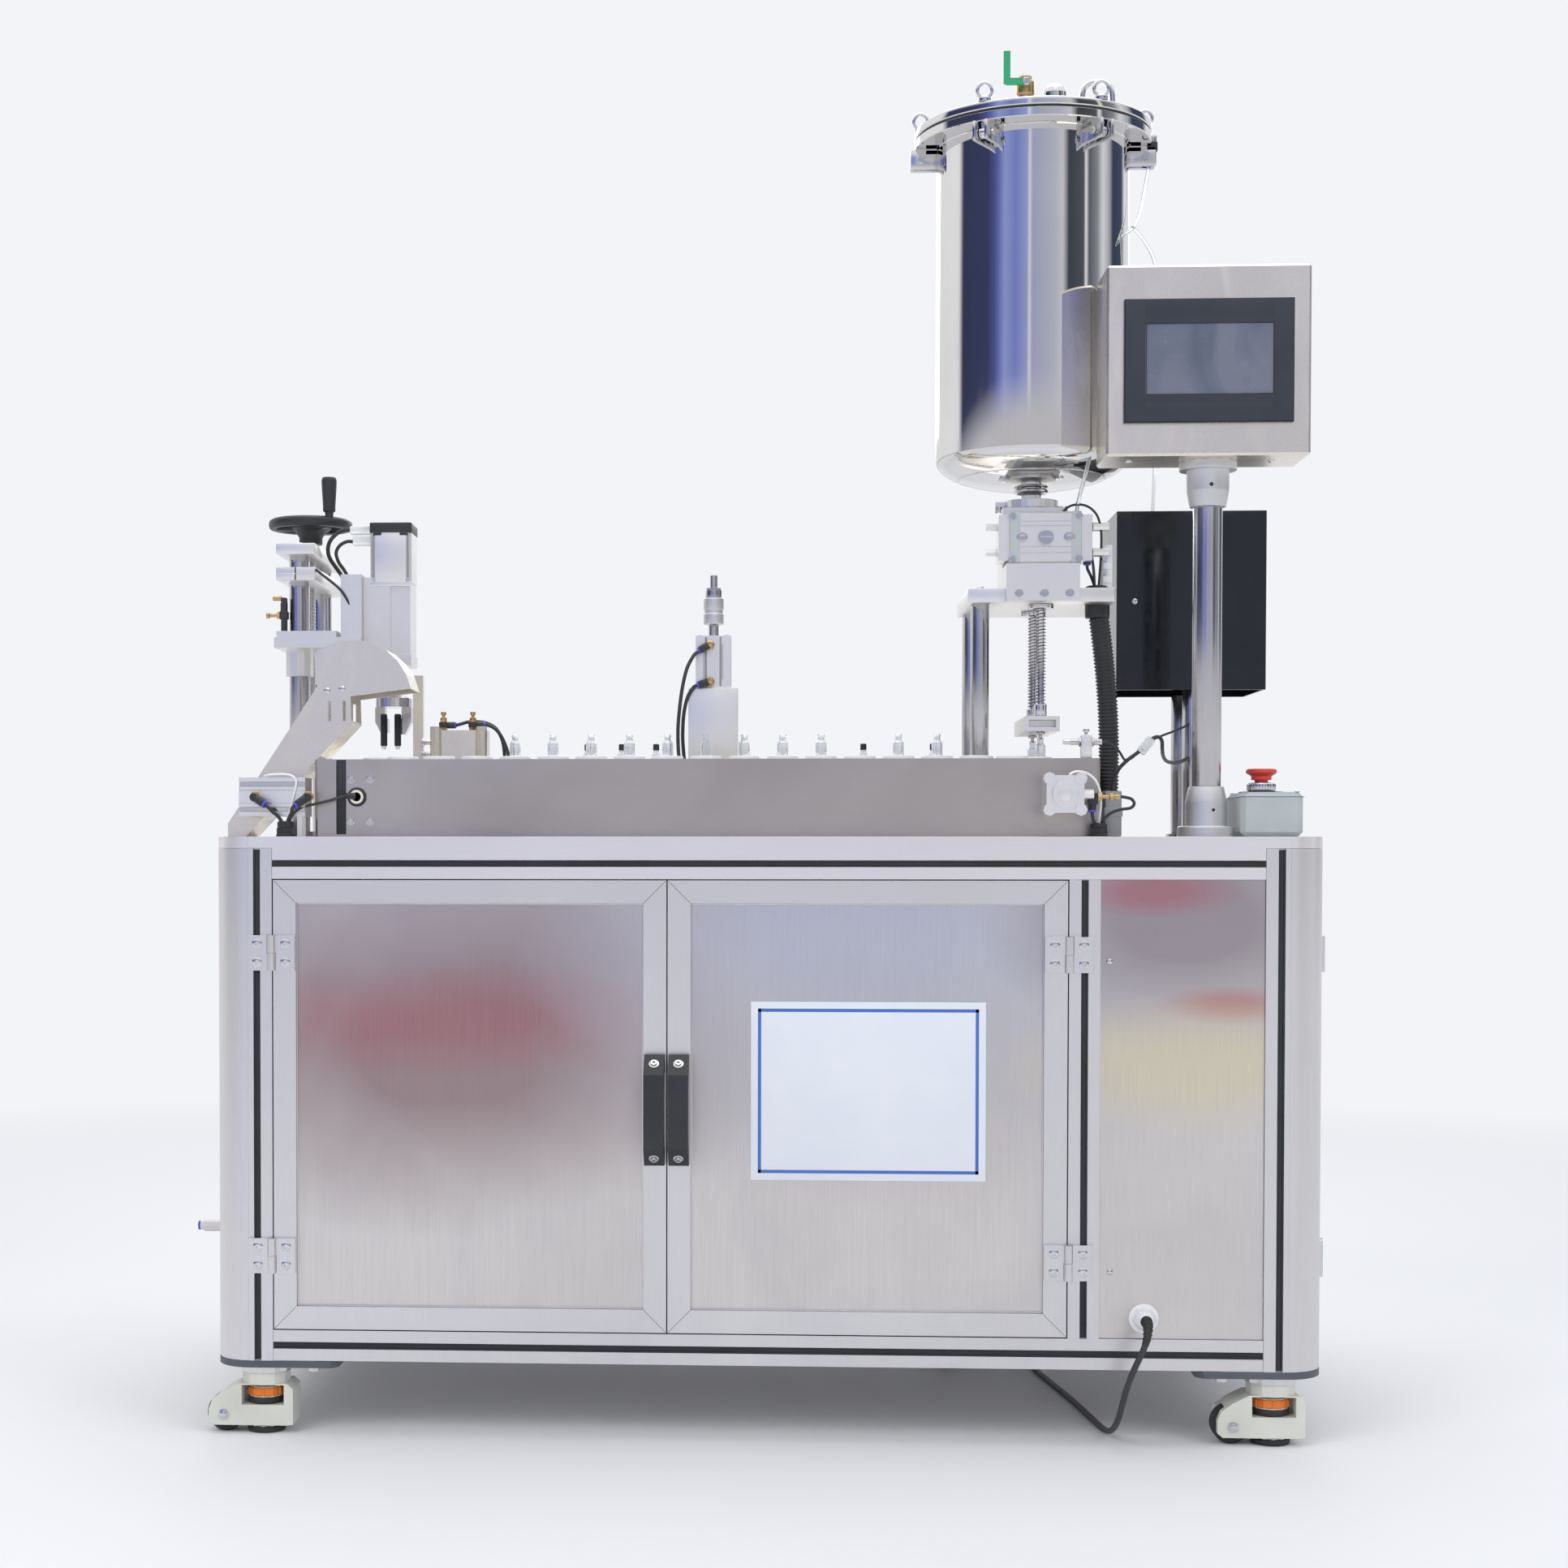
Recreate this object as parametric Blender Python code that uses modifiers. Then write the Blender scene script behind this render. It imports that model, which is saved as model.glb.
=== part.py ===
"""Lip gloss filling machine: a wheeled cabinet with a puck conveyor, a tank-fed filling
station, a press, a height-adjustable cap tightening head and a discharge chute.

Pieces are laid out from the middle of the cabinet's front face at floor level, and all
hang on one empty that puts the origin under the middle of the whole machine.
"""

import math

import bmesh
import bpy
from mathutils import Matrix, Vector

MM = 0.001
X_AXIS = Vector((1, 0, 0))
Y_AXIS = Vector((0, 1, 0))
Z_AXIS = Vector((0, 0, 1))
AXES = {"X": X_AXIS, "Y": Y_AXIS, "Z": Z_AXIS}

# General fits and facets
SEAT_GAP = 0.3 * MM
BITE = 1 * MM
OVERRUN = 3 * MM
WELD_DISTANCE = 0.002 * MM
FLAT_ANGLE = 0.001
CURVE_STEPS = 12
ARC_STEPS = 5
COARSE_SIDES = 8
ROUND_SIDES = 12
FINE_SIDES = 28

# Cabinet frame
OPENING_HALF = 640 * MM
POST_SIZE = 80 * MM
POST_CORNER_RADIUS = 50 * MM
CABINET_DEPTH = 700 * MM
FOOT_Z = 100 * MM
POST_LENGTH = 670 * MM
RAIL_SIZE = 40 * MM
TABLE_THICKNESS = 15 * MM
SLOT_WIDTH = 9 * MM
SLOT_DEPTH = 4 * MM
SLOT_INSET = 20 * MM
FLOOR_SHEET = 3 * MM
FLOOR_DROP = 10 * MM
MULLION_LEFT = OPENING_HALF - 249 * MM
PANEL_THICKNESS = 2 * MM
PANEL_RECESS = 4 * MM
HALF_WIDTH = OPENING_HALF + POST_SIZE
TABLE_UNDERSIDE = FOOT_Z + POST_LENGTH
TABLE_TOP = TABLE_UNDERSIDE + TABLE_THICKNESS
FREE_STRIP_FRONT = 36 * MM
FREE_STRIP_REAR = 535 * MM
STRIP_LINE_WIDTH = 0.8 * MM
STRIP_LINE_DEPTH = 0.4 * MM
SILL_Z = FOOT_Z + RAIL_SIZE
HEAD_Z = TABLE_UNDERSIDE - RAIL_SIZE
MULLION_RIGHT = MULLION_LEFT + RAIL_SIZE

# Foot plates under the posts
FOOT_PLATE = 10 * MM
FOOT_ARM = 65 * MM
FOOT_CHAMFER = 10 * MM
FOOT_BOSS_RADIUS = 33 * MM
FOOT_BOLT_RADIUS = 7.5 * MM
FOOT_BOLT_HEIGHT = 7 * MM
FOOT_BOLT_LINE = 60 * MM
FOOT_BOLT_FAR = 50 * MM
FOOT_BOLT_NEAR = 8 * MM
FOOT_BOLTS_ALONG = (-FOOT_BOLT_FAR, -FOOT_BOLT_NEAR)

# Doors, hinges and pull handles
DOOR_GAP = 1.5 * MM
DOOR_THICKNESS = 20 * MM
DOOR_STILE = 30 * MM
DOOR_LIP = 6 * MM
DOOR_REBATE = 8 * MM
SHEET_THICKNESS = 2 * MM
KNUCKLE_RADIUS = 5.5 * MM
HINGE_HEIGHT = 46 * MM
HINGE_LEAF = 31 * MM
LEAF_THICKNESS = 5 * MM
HINGE_PIN_RADIUS = 2 * MM
HINGE_LOW_Z = SILL_Z + 98 * MM
HINGE_HIGH_Z = HEAD_Z - 96.5 * MM
HINGE_CENTRES = (HINGE_LOW_Z, HINGE_HIGH_Z)
HANDLE_WIDTH = 26 * MM
HANDLE_LENGTH = 143 * MM
HANDLE_STANDOFF = 36 * MM
HANDLE_FOOT = 24 * MM
HANDLE_BASE = 12 * MM
HANDLE_BAR = 12 * MM
HANDLE_SLOPE = 20 * MM
HANDLE_CENTRE_Z = SILL_Z + 292 * MM

# Air inlet on the left side panel
FITTING_PROUD = 44 * MM
FITTING_Y = 110 * MM
FITTING_Z = 260 * MM
FITTING_HEX_RADIUS = 10 * MM
FITTING_HEX_LENGTH = 14 * MM
FITTING_BODY_RADIUS = 8 * MM
FITTING_RING_RADIUS = 6 * MM
FITTING_RING_LENGTH = 8 * MM
FITTING_BORE_RADIUS = 3.2 * MM

# Levelling casters
CASTER_X = OPENING_HALF + 17 * MM
CASTER_Y = 40 * MM
CASTER_TRAIL = 52 * MM
CASTER_HALF_WIDTH = 26 * MM
CASTER_TOP = 80 * MM
CASTER_LEFT = 72 * MM
CASTER_RIGHT = 40 * MM
FOOT_BOSS_HEIGHT = FOOT_Z - FOOT_PLATE - CASTER_TOP - SEAT_GAP
CASTER_FOOT_Z = 11 * MM
CASTER_NECK_RADIUS = 32 * MM
CASTER_NECK_HEIGHT = 14 * MM
CASTER_BROW_Z = 56 * MM
CASTER_BROW_X = 52 * MM
CASTER_SHOULDER_Z = 45 * MM
CASTER_SHOULDER_X = 67 * MM
CASTER_CHEEK_Z = 32.5 * MM
CASTER_HEEL_Z = 16.5 * MM
CASTER_HEEL_X = 65 * MM
WINDOW_HALF = 28 * MM
WINDOW_LOW = 38 * MM
WINDOW_HIGH = 66 * MM
WHEEL_RADIUS = 25 * MM
WHEEL_WIDTH = 27 * MM
WHEEL_CHAMFER = 3 * MM
WHEEL_WELL_GAP = 1.5 * MM
AXLE_RADIUS = 4 * MM
PAD_RADIUS = 24 * MM
PAD_LIFT = 1 * MM
PAD_HEIGHT = 9 * MM
STEM_RADIUS = 7 * MM
RING_RADIUS = 23 * MM
RING_LOW = 47 * MM
RING_HIGH = 61 * MM

# Puck track: a rounded rectangle of pucks at an even pitch
PUCK_PITCH = 50.7 * MM
PUCK_COUNT = 47
PUCK_RADIUS = 21 * MM
PUCK_HEIGHT = 14 * MM
PUCK_BORE_RADIUS = 8.5 * MM
PUCK_BORE_DEPTH = 10 * MM
PUCK_SIDES = 8
PUCK_BORE_SIDES = 6
LINK_HALF_WIDTH = 5 * MM
LINK_THICKNESS = 5 * MM
TRACK_LEFT = 105 * MM - OPENING_HALF
TRACK_RIGHT = OPENING_HALF - 268 * MM
TRACK_FRONT = 85 * MM
TRACK_RADIUS = 90 * MM
NOZZLE_FRONT_Y = 181.4 * MM
PUCK_TOP = TABLE_TOP + 107 * MM
DECK_TOP = PUCK_TOP - PUCK_HEIGHT - SEAT_GAP
TRACK_WIDTH = TRACK_RIGHT - TRACK_LEFT
TRACK_LENGTH = PUCK_COUNT * PUCK_PITCH
STRAIGHT_X = TRACK_WIDTH - 2 * TRACK_RADIUS
STRAIGHT_Y = (TRACK_LENGTH - 2 * math.pi * TRACK_RADIUS - 2 * STRAIGHT_X) / 2
TRACK_DEPTH = STRAIGHT_Y + 2 * TRACK_RADIUS
TRACK_CENTRE = Vector((TRACK_LEFT + TRACK_WIDTH / 2, TRACK_FRONT + TRACK_DEPTH / 2, 0))

# Conveyor deck and its sheet metal skirt
SKIRT_LEFT = TRACK_LEFT - 58 * MM
SKIRT_RIGHT = TRACK_RIGHT + 64 * MM
SKIRT_FRONT = TRACK_FRONT - 35 * MM
SKIRT_REAR = 486 * MM
SKIRT_SHEET = 2 * MM
SKIRT_RADIUS = 4 * MM
SKIRT_HEIGHT = 102 * MM
SKIRT_SLOT_LEFT = TRACK_LEFT - 29 * MM
SKIRT_SLOT_RIGHT = TRACK_LEFT - 16 * MM
SKIRT_SLOT_SILL = 3 * MM
DECK_THICKNESS = 8 * MM
ISLAND_RISE = 9 * MM
ISLAND_GAP = 3 * MM
DECK_LEG_RADIUS = 10 * MM
DECK_LEG_INSET = 40 * MM
ISLAND_TOP = DECK_TOP + ISLAND_RISE
CLAMP_X = TRACK_LEFT + 100 * MM
CLAMP_Y = 300 * MM
CLAMP_LENGTH = 81 * MM
CLAMP_DEPTH = 34 * MM
CLAMP_HEIGHT = 52 * MM
CLAMP_GUIDE_RADIUS = 8 * MM
CLAMP_GUIDE_HEIGHT = 58 * MM
BACKSTOP_X = TRACK_LEFT + 39 * MM
BACKSTOP_Y = 320 * MM
BACKSTOP_WIDTH = 14 * MM
BACKSTOP_DEPTH = 12 * MM
BACKSTOP_HEIGHT = 131 * MM

# Filling station
FILL_COLUMN_X = TRACK_RIGHT - 82 * MM
FILL_COLUMN_FRONT_Y = NOZZLE_FRONT_Y - 1.4 * MM
FILL_COLUMN_PITCH = 150 * MM
FILL_COLUMN_YS = (FILL_COLUMN_FRONT_Y, FILL_COLUMN_FRONT_Y + FILL_COLUMN_PITCH)
FILL_COLUMN_RADIUS = 12.5 * MM
FILL_FOOT_RADIUS = 19 * MM
FILL_FOOT_HEIGHT = 8 * MM
FILL_PLATE_LEFT = TRACK_RIGHT - 100 * MM
FILL_PLATE_RIGHT = TRACK_RIGHT + 95 * MM
FILL_PLATE_FRONT = NOZZLE_FRONT_Y - 31.4 * MM
FILL_PLATE_REAR = NOZZLE_FRONT_Y + 178.6 * MM
FILL_PLATE_Z = TABLE_TOP + 315 * MM
FILL_PLATE_THICKNESS = 19 * MM
VALVE_LEFT = TRACK_RIGHT - 51 * MM
VALVE_RIGHT = TRACK_RIGHT + 46 * MM
VALVE_FRONT = NOZZLE_FRONT_Y - 53.4 * MM
VALVE_REAR = NOZZLE_FRONT_Y + 93.6 * MM
VALVE_HEIGHT = 30 * MM
TOWER_HALF_WIDTH = 42 * MM
TOWER_DEPTH = 80 * MM
FERRULE_Z = TABLE_TOP + 446 * MM
FERRULE_RADIUS = 37 * MM
FERRULE_HEIGHT = 14 * MM
FERRULE_SEAT = 4 * MM
FERRULE_NUT_RADIUS = 8 * MM
FERRULE_NUT_LENGTH = 24 * MM
ACTUATOR_LEFT = TRACK_RIGHT - 46 * MM
ACTUATOR_RIGHT = TRACK_RIGHT + 48 * MM
ACTUATOR_DEPTH = 58 * MM
ACTUATOR_HEIGHT = 69 * MM
ACTUATOR_BEVEL = 3 * MM
ENDCAP_LENGTH = 15 * MM
ENDCAP_INSET = 4 * MM
STOP_SCREW_RADIUS = 5 * MM
STOP_SCREW_LENGTH = 15 * MM
STOP_SCREW_SPREAD = 17 * MM
SPEED_RADIUS = 6 * MM
SPEED_LENGTH = 26 * MM
SPINDLE_X = TRACK_RIGHT + 1 * MM
SPINDLE_RADIUS = 7 * MM
SPINDLE_HEAD_RADIUS = 10 * MM
SPINDLE_HEAD = 5 * MM
SPINDLE_SOCKET = 8 * MM
NOZZLE_RADIUS = 4.5 * MM
NOZZLE_TIP_RADIUS = 2.5 * MM
NOZZLE_TIP_LENGTH = 7 * MM
NOZZLE_COLLAR_RADIUS = 6.5 * MM
NOZZLE_COLLAR = 3 * MM
NOZZLE_FLANGE = 6 * MM
NOZZLE_FLANGE_HALF = 22 * MM
NOZZLE_FLANGE_MARGIN = 17 * MM
GUIDE_HALF_WIDTH = 23 * MM
GUIDE_MARGIN = 27 * MM
GUIDE_Z = TABLE_TOP + 143 * MM
GUIDE_HEIGHT = 20 * MM
GUIDE_WALL = 5 * MM
BUSH_RADIUS = 8.7 * MM
BUSH_HEIGHT = 17 * MM
GUIDE_FIT = 0.4 * MM

# Tank
TANK_X = TRACK_RIGHT - 9 * MM
TANK_Y = NOZZLE_FRONT_Y + 48.6 * MM
TANK_RADIUS = 130 * MM
TANK_WALL = 2.5 * MM
DISH_RIM_Z = TABLE_TOP + 517 * MM
DISH_DEPTH = 40 * MM
DISH_STEPS = 4
OUTLET_RADIUS = 12.5 * MM
OUTLET_WALL = 2 * MM
TANK_FLANGE_RADIUS = 160 * MM
TANK_FLANGE = 12 * MM
TANK_RIM_Z = TABLE_TOP + 950 * MM
GASKET_RADIUS = 140 * MM
GASKET_THICKNESS = 2.2 * MM
LID_THICKNESS = 11 * MM
LID_CHAMFER = 3 * MM
SWING_BOLTS = 6
SWING_RADIUS = 152 * MM
SWING_BOLT_RADIUS = 4.5 * MM
SWING_EYE_RADIUS = 7.5 * MM
SWING_EYE_WIDTH = 9 * MM
SWING_DROP = 26 * MM
EYE_NUT_RADIUS = 12 * MM
EYE_NUT_HOLE = 6.5 * MM
EYE_NUT_WIDTH = 7 * MM
EYE_NUT_RISE = 16 * MM
EYE_NUT_BASE_RADIUS = 8.5 * MM
EYE_NUT_BASE = 6 * MM
CLEVIS_GAP = 12 * MM
CLEVIS_EAR = 5 * MM
CLEVIS_REACH = 36 * MM
CLEVIS_HEIGHT = 26 * MM
FLANGE_SLOT = 13 * MM
FLANGE_SLOT_START = 143 * MM
LID_VALVE_X = TANK_X - 18 * MM
LID_VALVE_Y = TANK_Y - 80 * MM
LID_PIPE_RADIUS = 8 * MM
LID_VALVE_RADIUS = 12 * MM
LID_VALVE_HEIGHT = 49 * MM
LID_VALVE_BODY = 24 * MM
LEVER_DROP = 9 * MM
LEVER_SPINDLE_RADIUS = 3 * MM
LEVER_SPINDLE_LENGTH = 22 * MM
LEVER_THICKNESS = 4 * MM
LEVER_WIDTH = 9 * MM
LEVER_REACH = 26 * MM
LEVER_RISE = 40 * MM
SIGHT_X = TANK_X + 27 * MM
SIGHT_Y = TANK_Y - 25 * MM
SIGHT_RADIUS = 16.5 * MM
SIGHT_HEIGHT = 56 * MM
BAIL_LEFT = TANK_X + 67 * MM
BAIL_RIGHT = TANK_X + 108 * MM
BAIL_HEIGHT = 62 * MM
BAIL_RADIUS = 4 * MM

# Pump cover on its two columns
PUMP_LEFT = TRACK_RIGHT + 116 * MM
PUMP_RIGHT = TRACK_RIGHT + 322 * MM
PUMP_FRONT = 290 * MM
PUMP_REAR = 445 * MM
PUMP_LOW = TABLE_TOP + 207 * MM
PUMP_HIGH = TABLE_TOP + 455 * MM
PUMP_WALL = 3 * MM
PUMP_BASE = 10 * MM
PUMP_COLUMN_X = TRACK_RIGHT + 226 * MM
PUMP_COLUMN_FRONT_Y = PUMP_FRONT + 35 * MM
PUMP_COLUMN_PITCH = 100 * MM
PUMP_COLUMN_YS = (PUMP_COLUMN_FRONT_Y, PUMP_COLUMN_FRONT_Y + PUMP_COLUMN_PITCH)
PUMP_COLUMN_RADIUS = 12.5 * MM
PUMP_FOOT_RADIUS = 19 * MM
PUMP_FOOT_HEIGHT = 8 * MM

# Control screen on its pole
POLE_X = TRACK_RIGHT + 204 * MM
POLE_Y = 75 * MM
POLE_RADIUS = 19 * MM
POLE_TOP = TABLE_TOP + 470 * MM
POLE_FLANGE_RADIUS = 37 * MM
POLE_FLANGE = 14 * MM
POLE_BOSS_RADIUS = 27 * MM
POLE_BOSS_NECK_RADIUS = 22.5 * MM
POLE_BOSS_SHOULDER_Z = TABLE_TOP + 45 * MM
POLE_BOSS_TOP_Z = TABLE_TOP + 66 * MM
HMI_LEFT = TRACK_RIGHT + 65 * MM
HMI_RIGHT = TRACK_RIGHT + 324 * MM
HMI_FRONT = 18 * MM
HMI_REAR = 118 * MM
HMI_LOW = TABLE_TOP + 487 * MM
HMI_HIGH = TABLE_TOP + 730 * MM
HMI_BEVEL = 3 * MM
HMI_FLANGE_RADIUS = 36.5 * MM
HMI_FLANGE = 11 * MM
HMI_BOSS_RADIUS = 27 * MM
HMI_BOSS_NECK_RADIUS = 23 * MM
HMI_BOSS_LOW = TABLE_TOP + 429 * MM
HMI_BOSS_SHOULDER = TABLE_TOP + 449.5 * MM
BEZEL_LEFT = HMI_LEFT + 23 * MM
BEZEL_RIGHT = HMI_LEFT + 235.5 * MM
BEZEL_LOW = TABLE_TOP + 529.5 * MM
BEZEL_HIGH = TABLE_TOP + 684.5 * MM
BEZEL_THICKNESS = 6 * MM
BEZEL_BEVEL = 2 * MM
SCREEN_LEFT = HMI_LEFT + 49.5 * MM
SCREEN_RIGHT = HMI_LEFT + 210.5 * MM
SCREEN_LOW = TABLE_TOP + 564 * MM
SCREEN_HIGH = TABLE_TOP + 654 * MM
SCREEN_RECESS = 1 * MM

# Emergency stop
ESTOP_X = TRACK_RIGHT + 285 * MM
ESTOP_FRONT = 50 * MM
ESTOP_WIDTH = 80 * MM
ESTOP_DEPTH = 110 * MM
ESTOP_HEIGHT = 58 * MM
ESTOP_BEVEL = 6 * MM
ESTOP_BUTTON_X = ESTOP_X - 4 * MM
ESTOP_BUTTON_Y = 105 * MM
ESTOP_RING_RADIUS = 14 * MM
ESTOP_RING_HEIGHT = 12 * MM
ESTOP_STEM_RADIUS = 9 * MM
ESTOP_HEAD_RADIUS = 20 * MM
ESTOP_HEAD_LIFT = 5.5 * MM
ESTOP_HEAD_HEIGHT = 14 * MM
ESTOP_HEAD_EDGE = 5 * MM
ESTOP_CROWN_RADIUS = 16 * MM
ESTOP_STEM_REACH = 6 * MM
ESTOP_BORE_DEPTH = 11 * MM

# Press on the island
PRESS_X = -71 * MM
PRESS_Y = 225 * MM
PRESS_HALF_WIDTH = 33.5 * MM
PRESS_HALF_DEPTH = 32 * MM
PRESS_BASE = 10 * MM
PRESS_CHEEK = 10 * MM
PRESS_BRACKET_TOP = TABLE_TOP + 205 * MM
PRESS_CYLINDER_HALF = 24 * MM
PRESS_CYLINDER_TOP = TABLE_TOP + 277 * MM
PRESS_GROOVE = 3 * MM
PRESS_ROD_RADIUS = 7 * MM
PRESS_ROD_LOW = TABLE_TOP + 147 * MM
PRESS_ROD_TOP = TABLE_TOP + 362 * MM
PRESS_COLLAR_RADIUS = 14 * MM
PRESS_COLLAR_LOW = TABLE_TOP + 294 * MM
PRESS_COLLAR_HIGH = TABLE_TOP + 330 * MM
PRESS_NUT_RADIUS = 11.5 * MM
PRESS_NUT_HIGH = TABLE_TOP + 350 * MM
PRESS_BOLT_RADIUS = 5 * MM
PRESS_FOOT_RADIUS = 12 * MM
PRESS_FOOT_HEIGHT = 10 * MM
SLIDE_FIT = 0.3 * MM

# Capping column, carriage and handwheel
LIFT_X = TRACK_LEFT - 133 * MM
LIFT_FRONT_Y = 330 * MM
LIFT_PITCH = 170 * MM
LIFT_YS = (LIFT_FRONT_Y, LIFT_FRONT_Y + LIFT_PITCH)
LIFT_RADIUS = 14.5 * MM
LIFT_PLATE_LEFT = TRACK_LEFT - 161 * MM
LIFT_PLATE_RIGHT = TRACK_LEFT - 105 * MM
LIFT_PLATE_FRONT = 300 * MM
LIFT_PLATE_REAR = 530 * MM
LIFT_TOP_Z = TABLE_TOP + 420 * MM
LIFT_TOP_THICKNESS = 16 * MM
CLAMP_PLATE_Z = TABLE_TOP + 367 * MM
CLAMP_PLATE_THICKNESS = 19 * MM
LIFT_FOOT_RADIUS = 24 * MM
LIFT_FOOT_HEIGHT = 10 * MM
SCREW_RADIUS = 7 * MM
SCREW_LOW = TABLE_TOP + 175 * MM
CARRIAGE_LEFT = TRACK_LEFT - 164 * MM
CARRIAGE_RIGHT = TRACK_LEFT - 40 * MM
CARRIAGE_Z = TABLE_TOP + 271.5 * MM
CARRIAGE_THICKNESS = 15 * MM
CARRIAGE_SHIM = 9 * MM
CARRIAGE_SHIM_RIGHT = TRACK_LEFT - 75 * MM
LINEAR_BUSH_RADIUS = 20 * MM
LINEAR_BUSH_LENGTH = 40 * MM
SLIDE_PLATE_LEFT = TRACK_LEFT - 69.5 * MM
SLIDE_PLATE_FRONT = 308 * MM
SLIDE_PLATE_REAR = 392 * MM
SLIDE_PLATE_TOP = TABLE_TOP + 376 * MM
WHEEL_RIM_RADIUS = 61 * MM
WHEEL_RIM_WIDTH = 13 * MM
WHEEL_RIM_Z = TABLE_TOP + 453 * MM
WHEEL_RIM_HEIGHT = 15 * MM
WHEEL_HUB_RADIUS = 17 * MM
WHEEL_HUB_Z = TABLE_TOP + 431 * MM
WHEEL_SPOKES = 3
WHEEL_SPOKE_WIDTH = 11 * MM
WHEEL_SPOKE_HEIGHT = 8 * MM
HUB_COLLAR_RADIUS = 12 * MM
GRIP_RADIUS = 11 * MM
GRIP_NECK_RADIUS = 6 * MM
GRIP_NECK = 6 * MM
GRIP_LENGTH = 50 * MM
GRIP_WAIST_RADIUS = 9 * MM
GRIP_CROWN = 7.5 * MM
GRIP_ANGLE = math.radians(-50)

# Cap tightening head
HEAD_X = TRACK_LEFT
HEAD_Y = 350 * MM
HEAD_HALF = 29.5 * MM
HEAD_LOW = TABLE_TOP + 247 * MM
HEAD_BLOCK_TOP = TABLE_TOP + 263.6 * MM
HEAD_HOUSING_TOP = TABLE_TOP + 363.8 * MM
HEAD_MOTOR_TOP = TABLE_TOP + 436 * MM
HEAD_CAP_TOP = TABLE_TOP + 451 * MM
HEAD_HOUSING_INSET = 1.5 * MM
HEAD_MOTOR_BEVEL = 4 * MM
HEAD_SOCKET = 14 * MM
CHUCK_SHAFT_RADIUS = 9 * MM
CHUCK_SHAFT_REACH = 12 * MM
CHUCK_RADIUS = 26 * MM
CHUCK_LOW = TABLE_TOP + 189 * MM
CHUCK_HIGH = TABLE_TOP + 205 * MM
CHUCK_CHAMFER = 3 * MM
JAW_LOW = TABLE_TOP + 150 * MM
JAW_INNER = 12 * MM
JAW_OUTER = 26 * MM
JAW_TIP = 17 * MM
JAW_HALF_DEPTH = 9 * MM
JAW_PAD = 4 * MM
JAW_BEND_DROP = 21 * MM
JAW_PAD_LOW = TABLE_TOP + 153 * MM
JAW_PAD_HIGH = TABLE_TOP + 173 * MM

# Discharge chute with its hood
CHUTE_FRONT = 90 * MM
CHUTE_DEPTH = 80 * MM
CHUTE_SHEET = 2 * MM
CHUTE_ENTRY_X = TRACK_LEFT - 16 * MM
CHUTE_ENTRY_Z = TABLE_TOP + 153 * MM
CHUTE_EXIT_X = TRACK_LEFT - 159 * MM
CHUTE_TOE_X = TRACK_LEFT - 183 * MM
CHUTE_TOE_HEIGHT = 18 * MM
CHUTE_SHOULDER_X = TRACK_LEFT - 62 * MM
CHUTE_SHOULDER_Z = TABLE_TOP + 201 * MM
HOOD_HIGH_X = TRACK_LEFT - 17.8 * MM
HOOD_HIGH_Z = TABLE_TOP + 263.5 * MM
HOOD_TIP_X = TRACK_LEFT + 64 * MM
HOOD_TIP_Z = TABLE_TOP + 198 * MM
HOOD_HEEL_X = TRACK_LEFT - 17 * MM
HOOD_HEEL_Z = TABLE_TOP + 188 * MM
HOOD_BACK_X = TRACK_LEFT - 66 * MM
HOOD_BACK_Z = TABLE_TOP + 245 * MM
CHUTE_ENTRY = Vector((CHUTE_ENTRY_X, CHUTE_ENTRY_Z))
CHUTE_EXIT = Vector((CHUTE_EXIT_X, TABLE_TOP + SEAT_GAP))
CHUTE_TOE = Vector((CHUTE_TOE_X, TABLE_TOP + SEAT_GAP))
CHUTE_SHOULDER = Vector((CHUTE_SHOULDER_X, CHUTE_SHOULDER_Z))
HOOD_HIGH = Vector((HOOD_HIGH_X, HOOD_HIGH_Z))
HOOD_TIP = Vector((HOOD_TIP_X, HOOD_TIP_Z))
HOOD_HEEL = Vector((HOOD_HEEL_X, HOOD_HEEL_Z))
HOOD_BACK = Vector((HOOD_BACK_X, HOOD_BACK_Z))
CHUTE_SLOT_LEFT_X = TRACK_LEFT - 45.3 * MM
CHUTE_SLOT_RIGHT_X = TRACK_LEFT - 25.6 * MM
CHUTE_SLOT_XS = (CHUTE_SLOT_LEFT_X, CHUTE_SLOT_RIGHT_X)
CHUTE_SLOT_LOW = TABLE_TOP + 155 * MM
CHUTE_SLOT_HIGH = TABLE_TOP + 182 * MM
CHUTE_SLOT_WIDTH = 4 * MM

# Pneumatic cylinders beside the skirt
EJECT_LEFT = TRACK_LEFT - 155 * MM
EJECT_RIGHT = TRACK_LEFT - 67 * MM
EJECT_FRONT = 32 * MM
EJECT_DEPTH = 46 * MM
EJECT_LOW = TABLE_TOP + 27 * MM
EJECT_HEIGHT = 51 * MM
EJECT_GROOVE = 6 * MM
EJECT_GROOVE_DEPTH = 3 * MM
EJECT_GROOVE_LOW = 6 * MM
EJECT_GROOVE_HIGH = 39 * MM
EJECT_POST_RADIUS = 12 * MM
EJECT_POST_X = TRACK_LEFT - 80 * MM
TRANSFER_X = TRACK_RIGHT + 12 * MM
TRANSFER_Z = TABLE_TOP + 54 * MM
TRANSFER_HALF = 24 * MM
TRANSFER_LENGTH = 62 * MM
TRANSFER_CAP_RADIUS = 17 * MM
TRANSFER_CAP = 3 * MM
TRANSFER_EAR_RADIUS = 8 * MM
TRANSFER_EAR_SPREAD = 20 * MM
TRANSFER_NOSE_RADIUS = 7 * MM
TRANSFER_NOSE = 14 * MM

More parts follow.
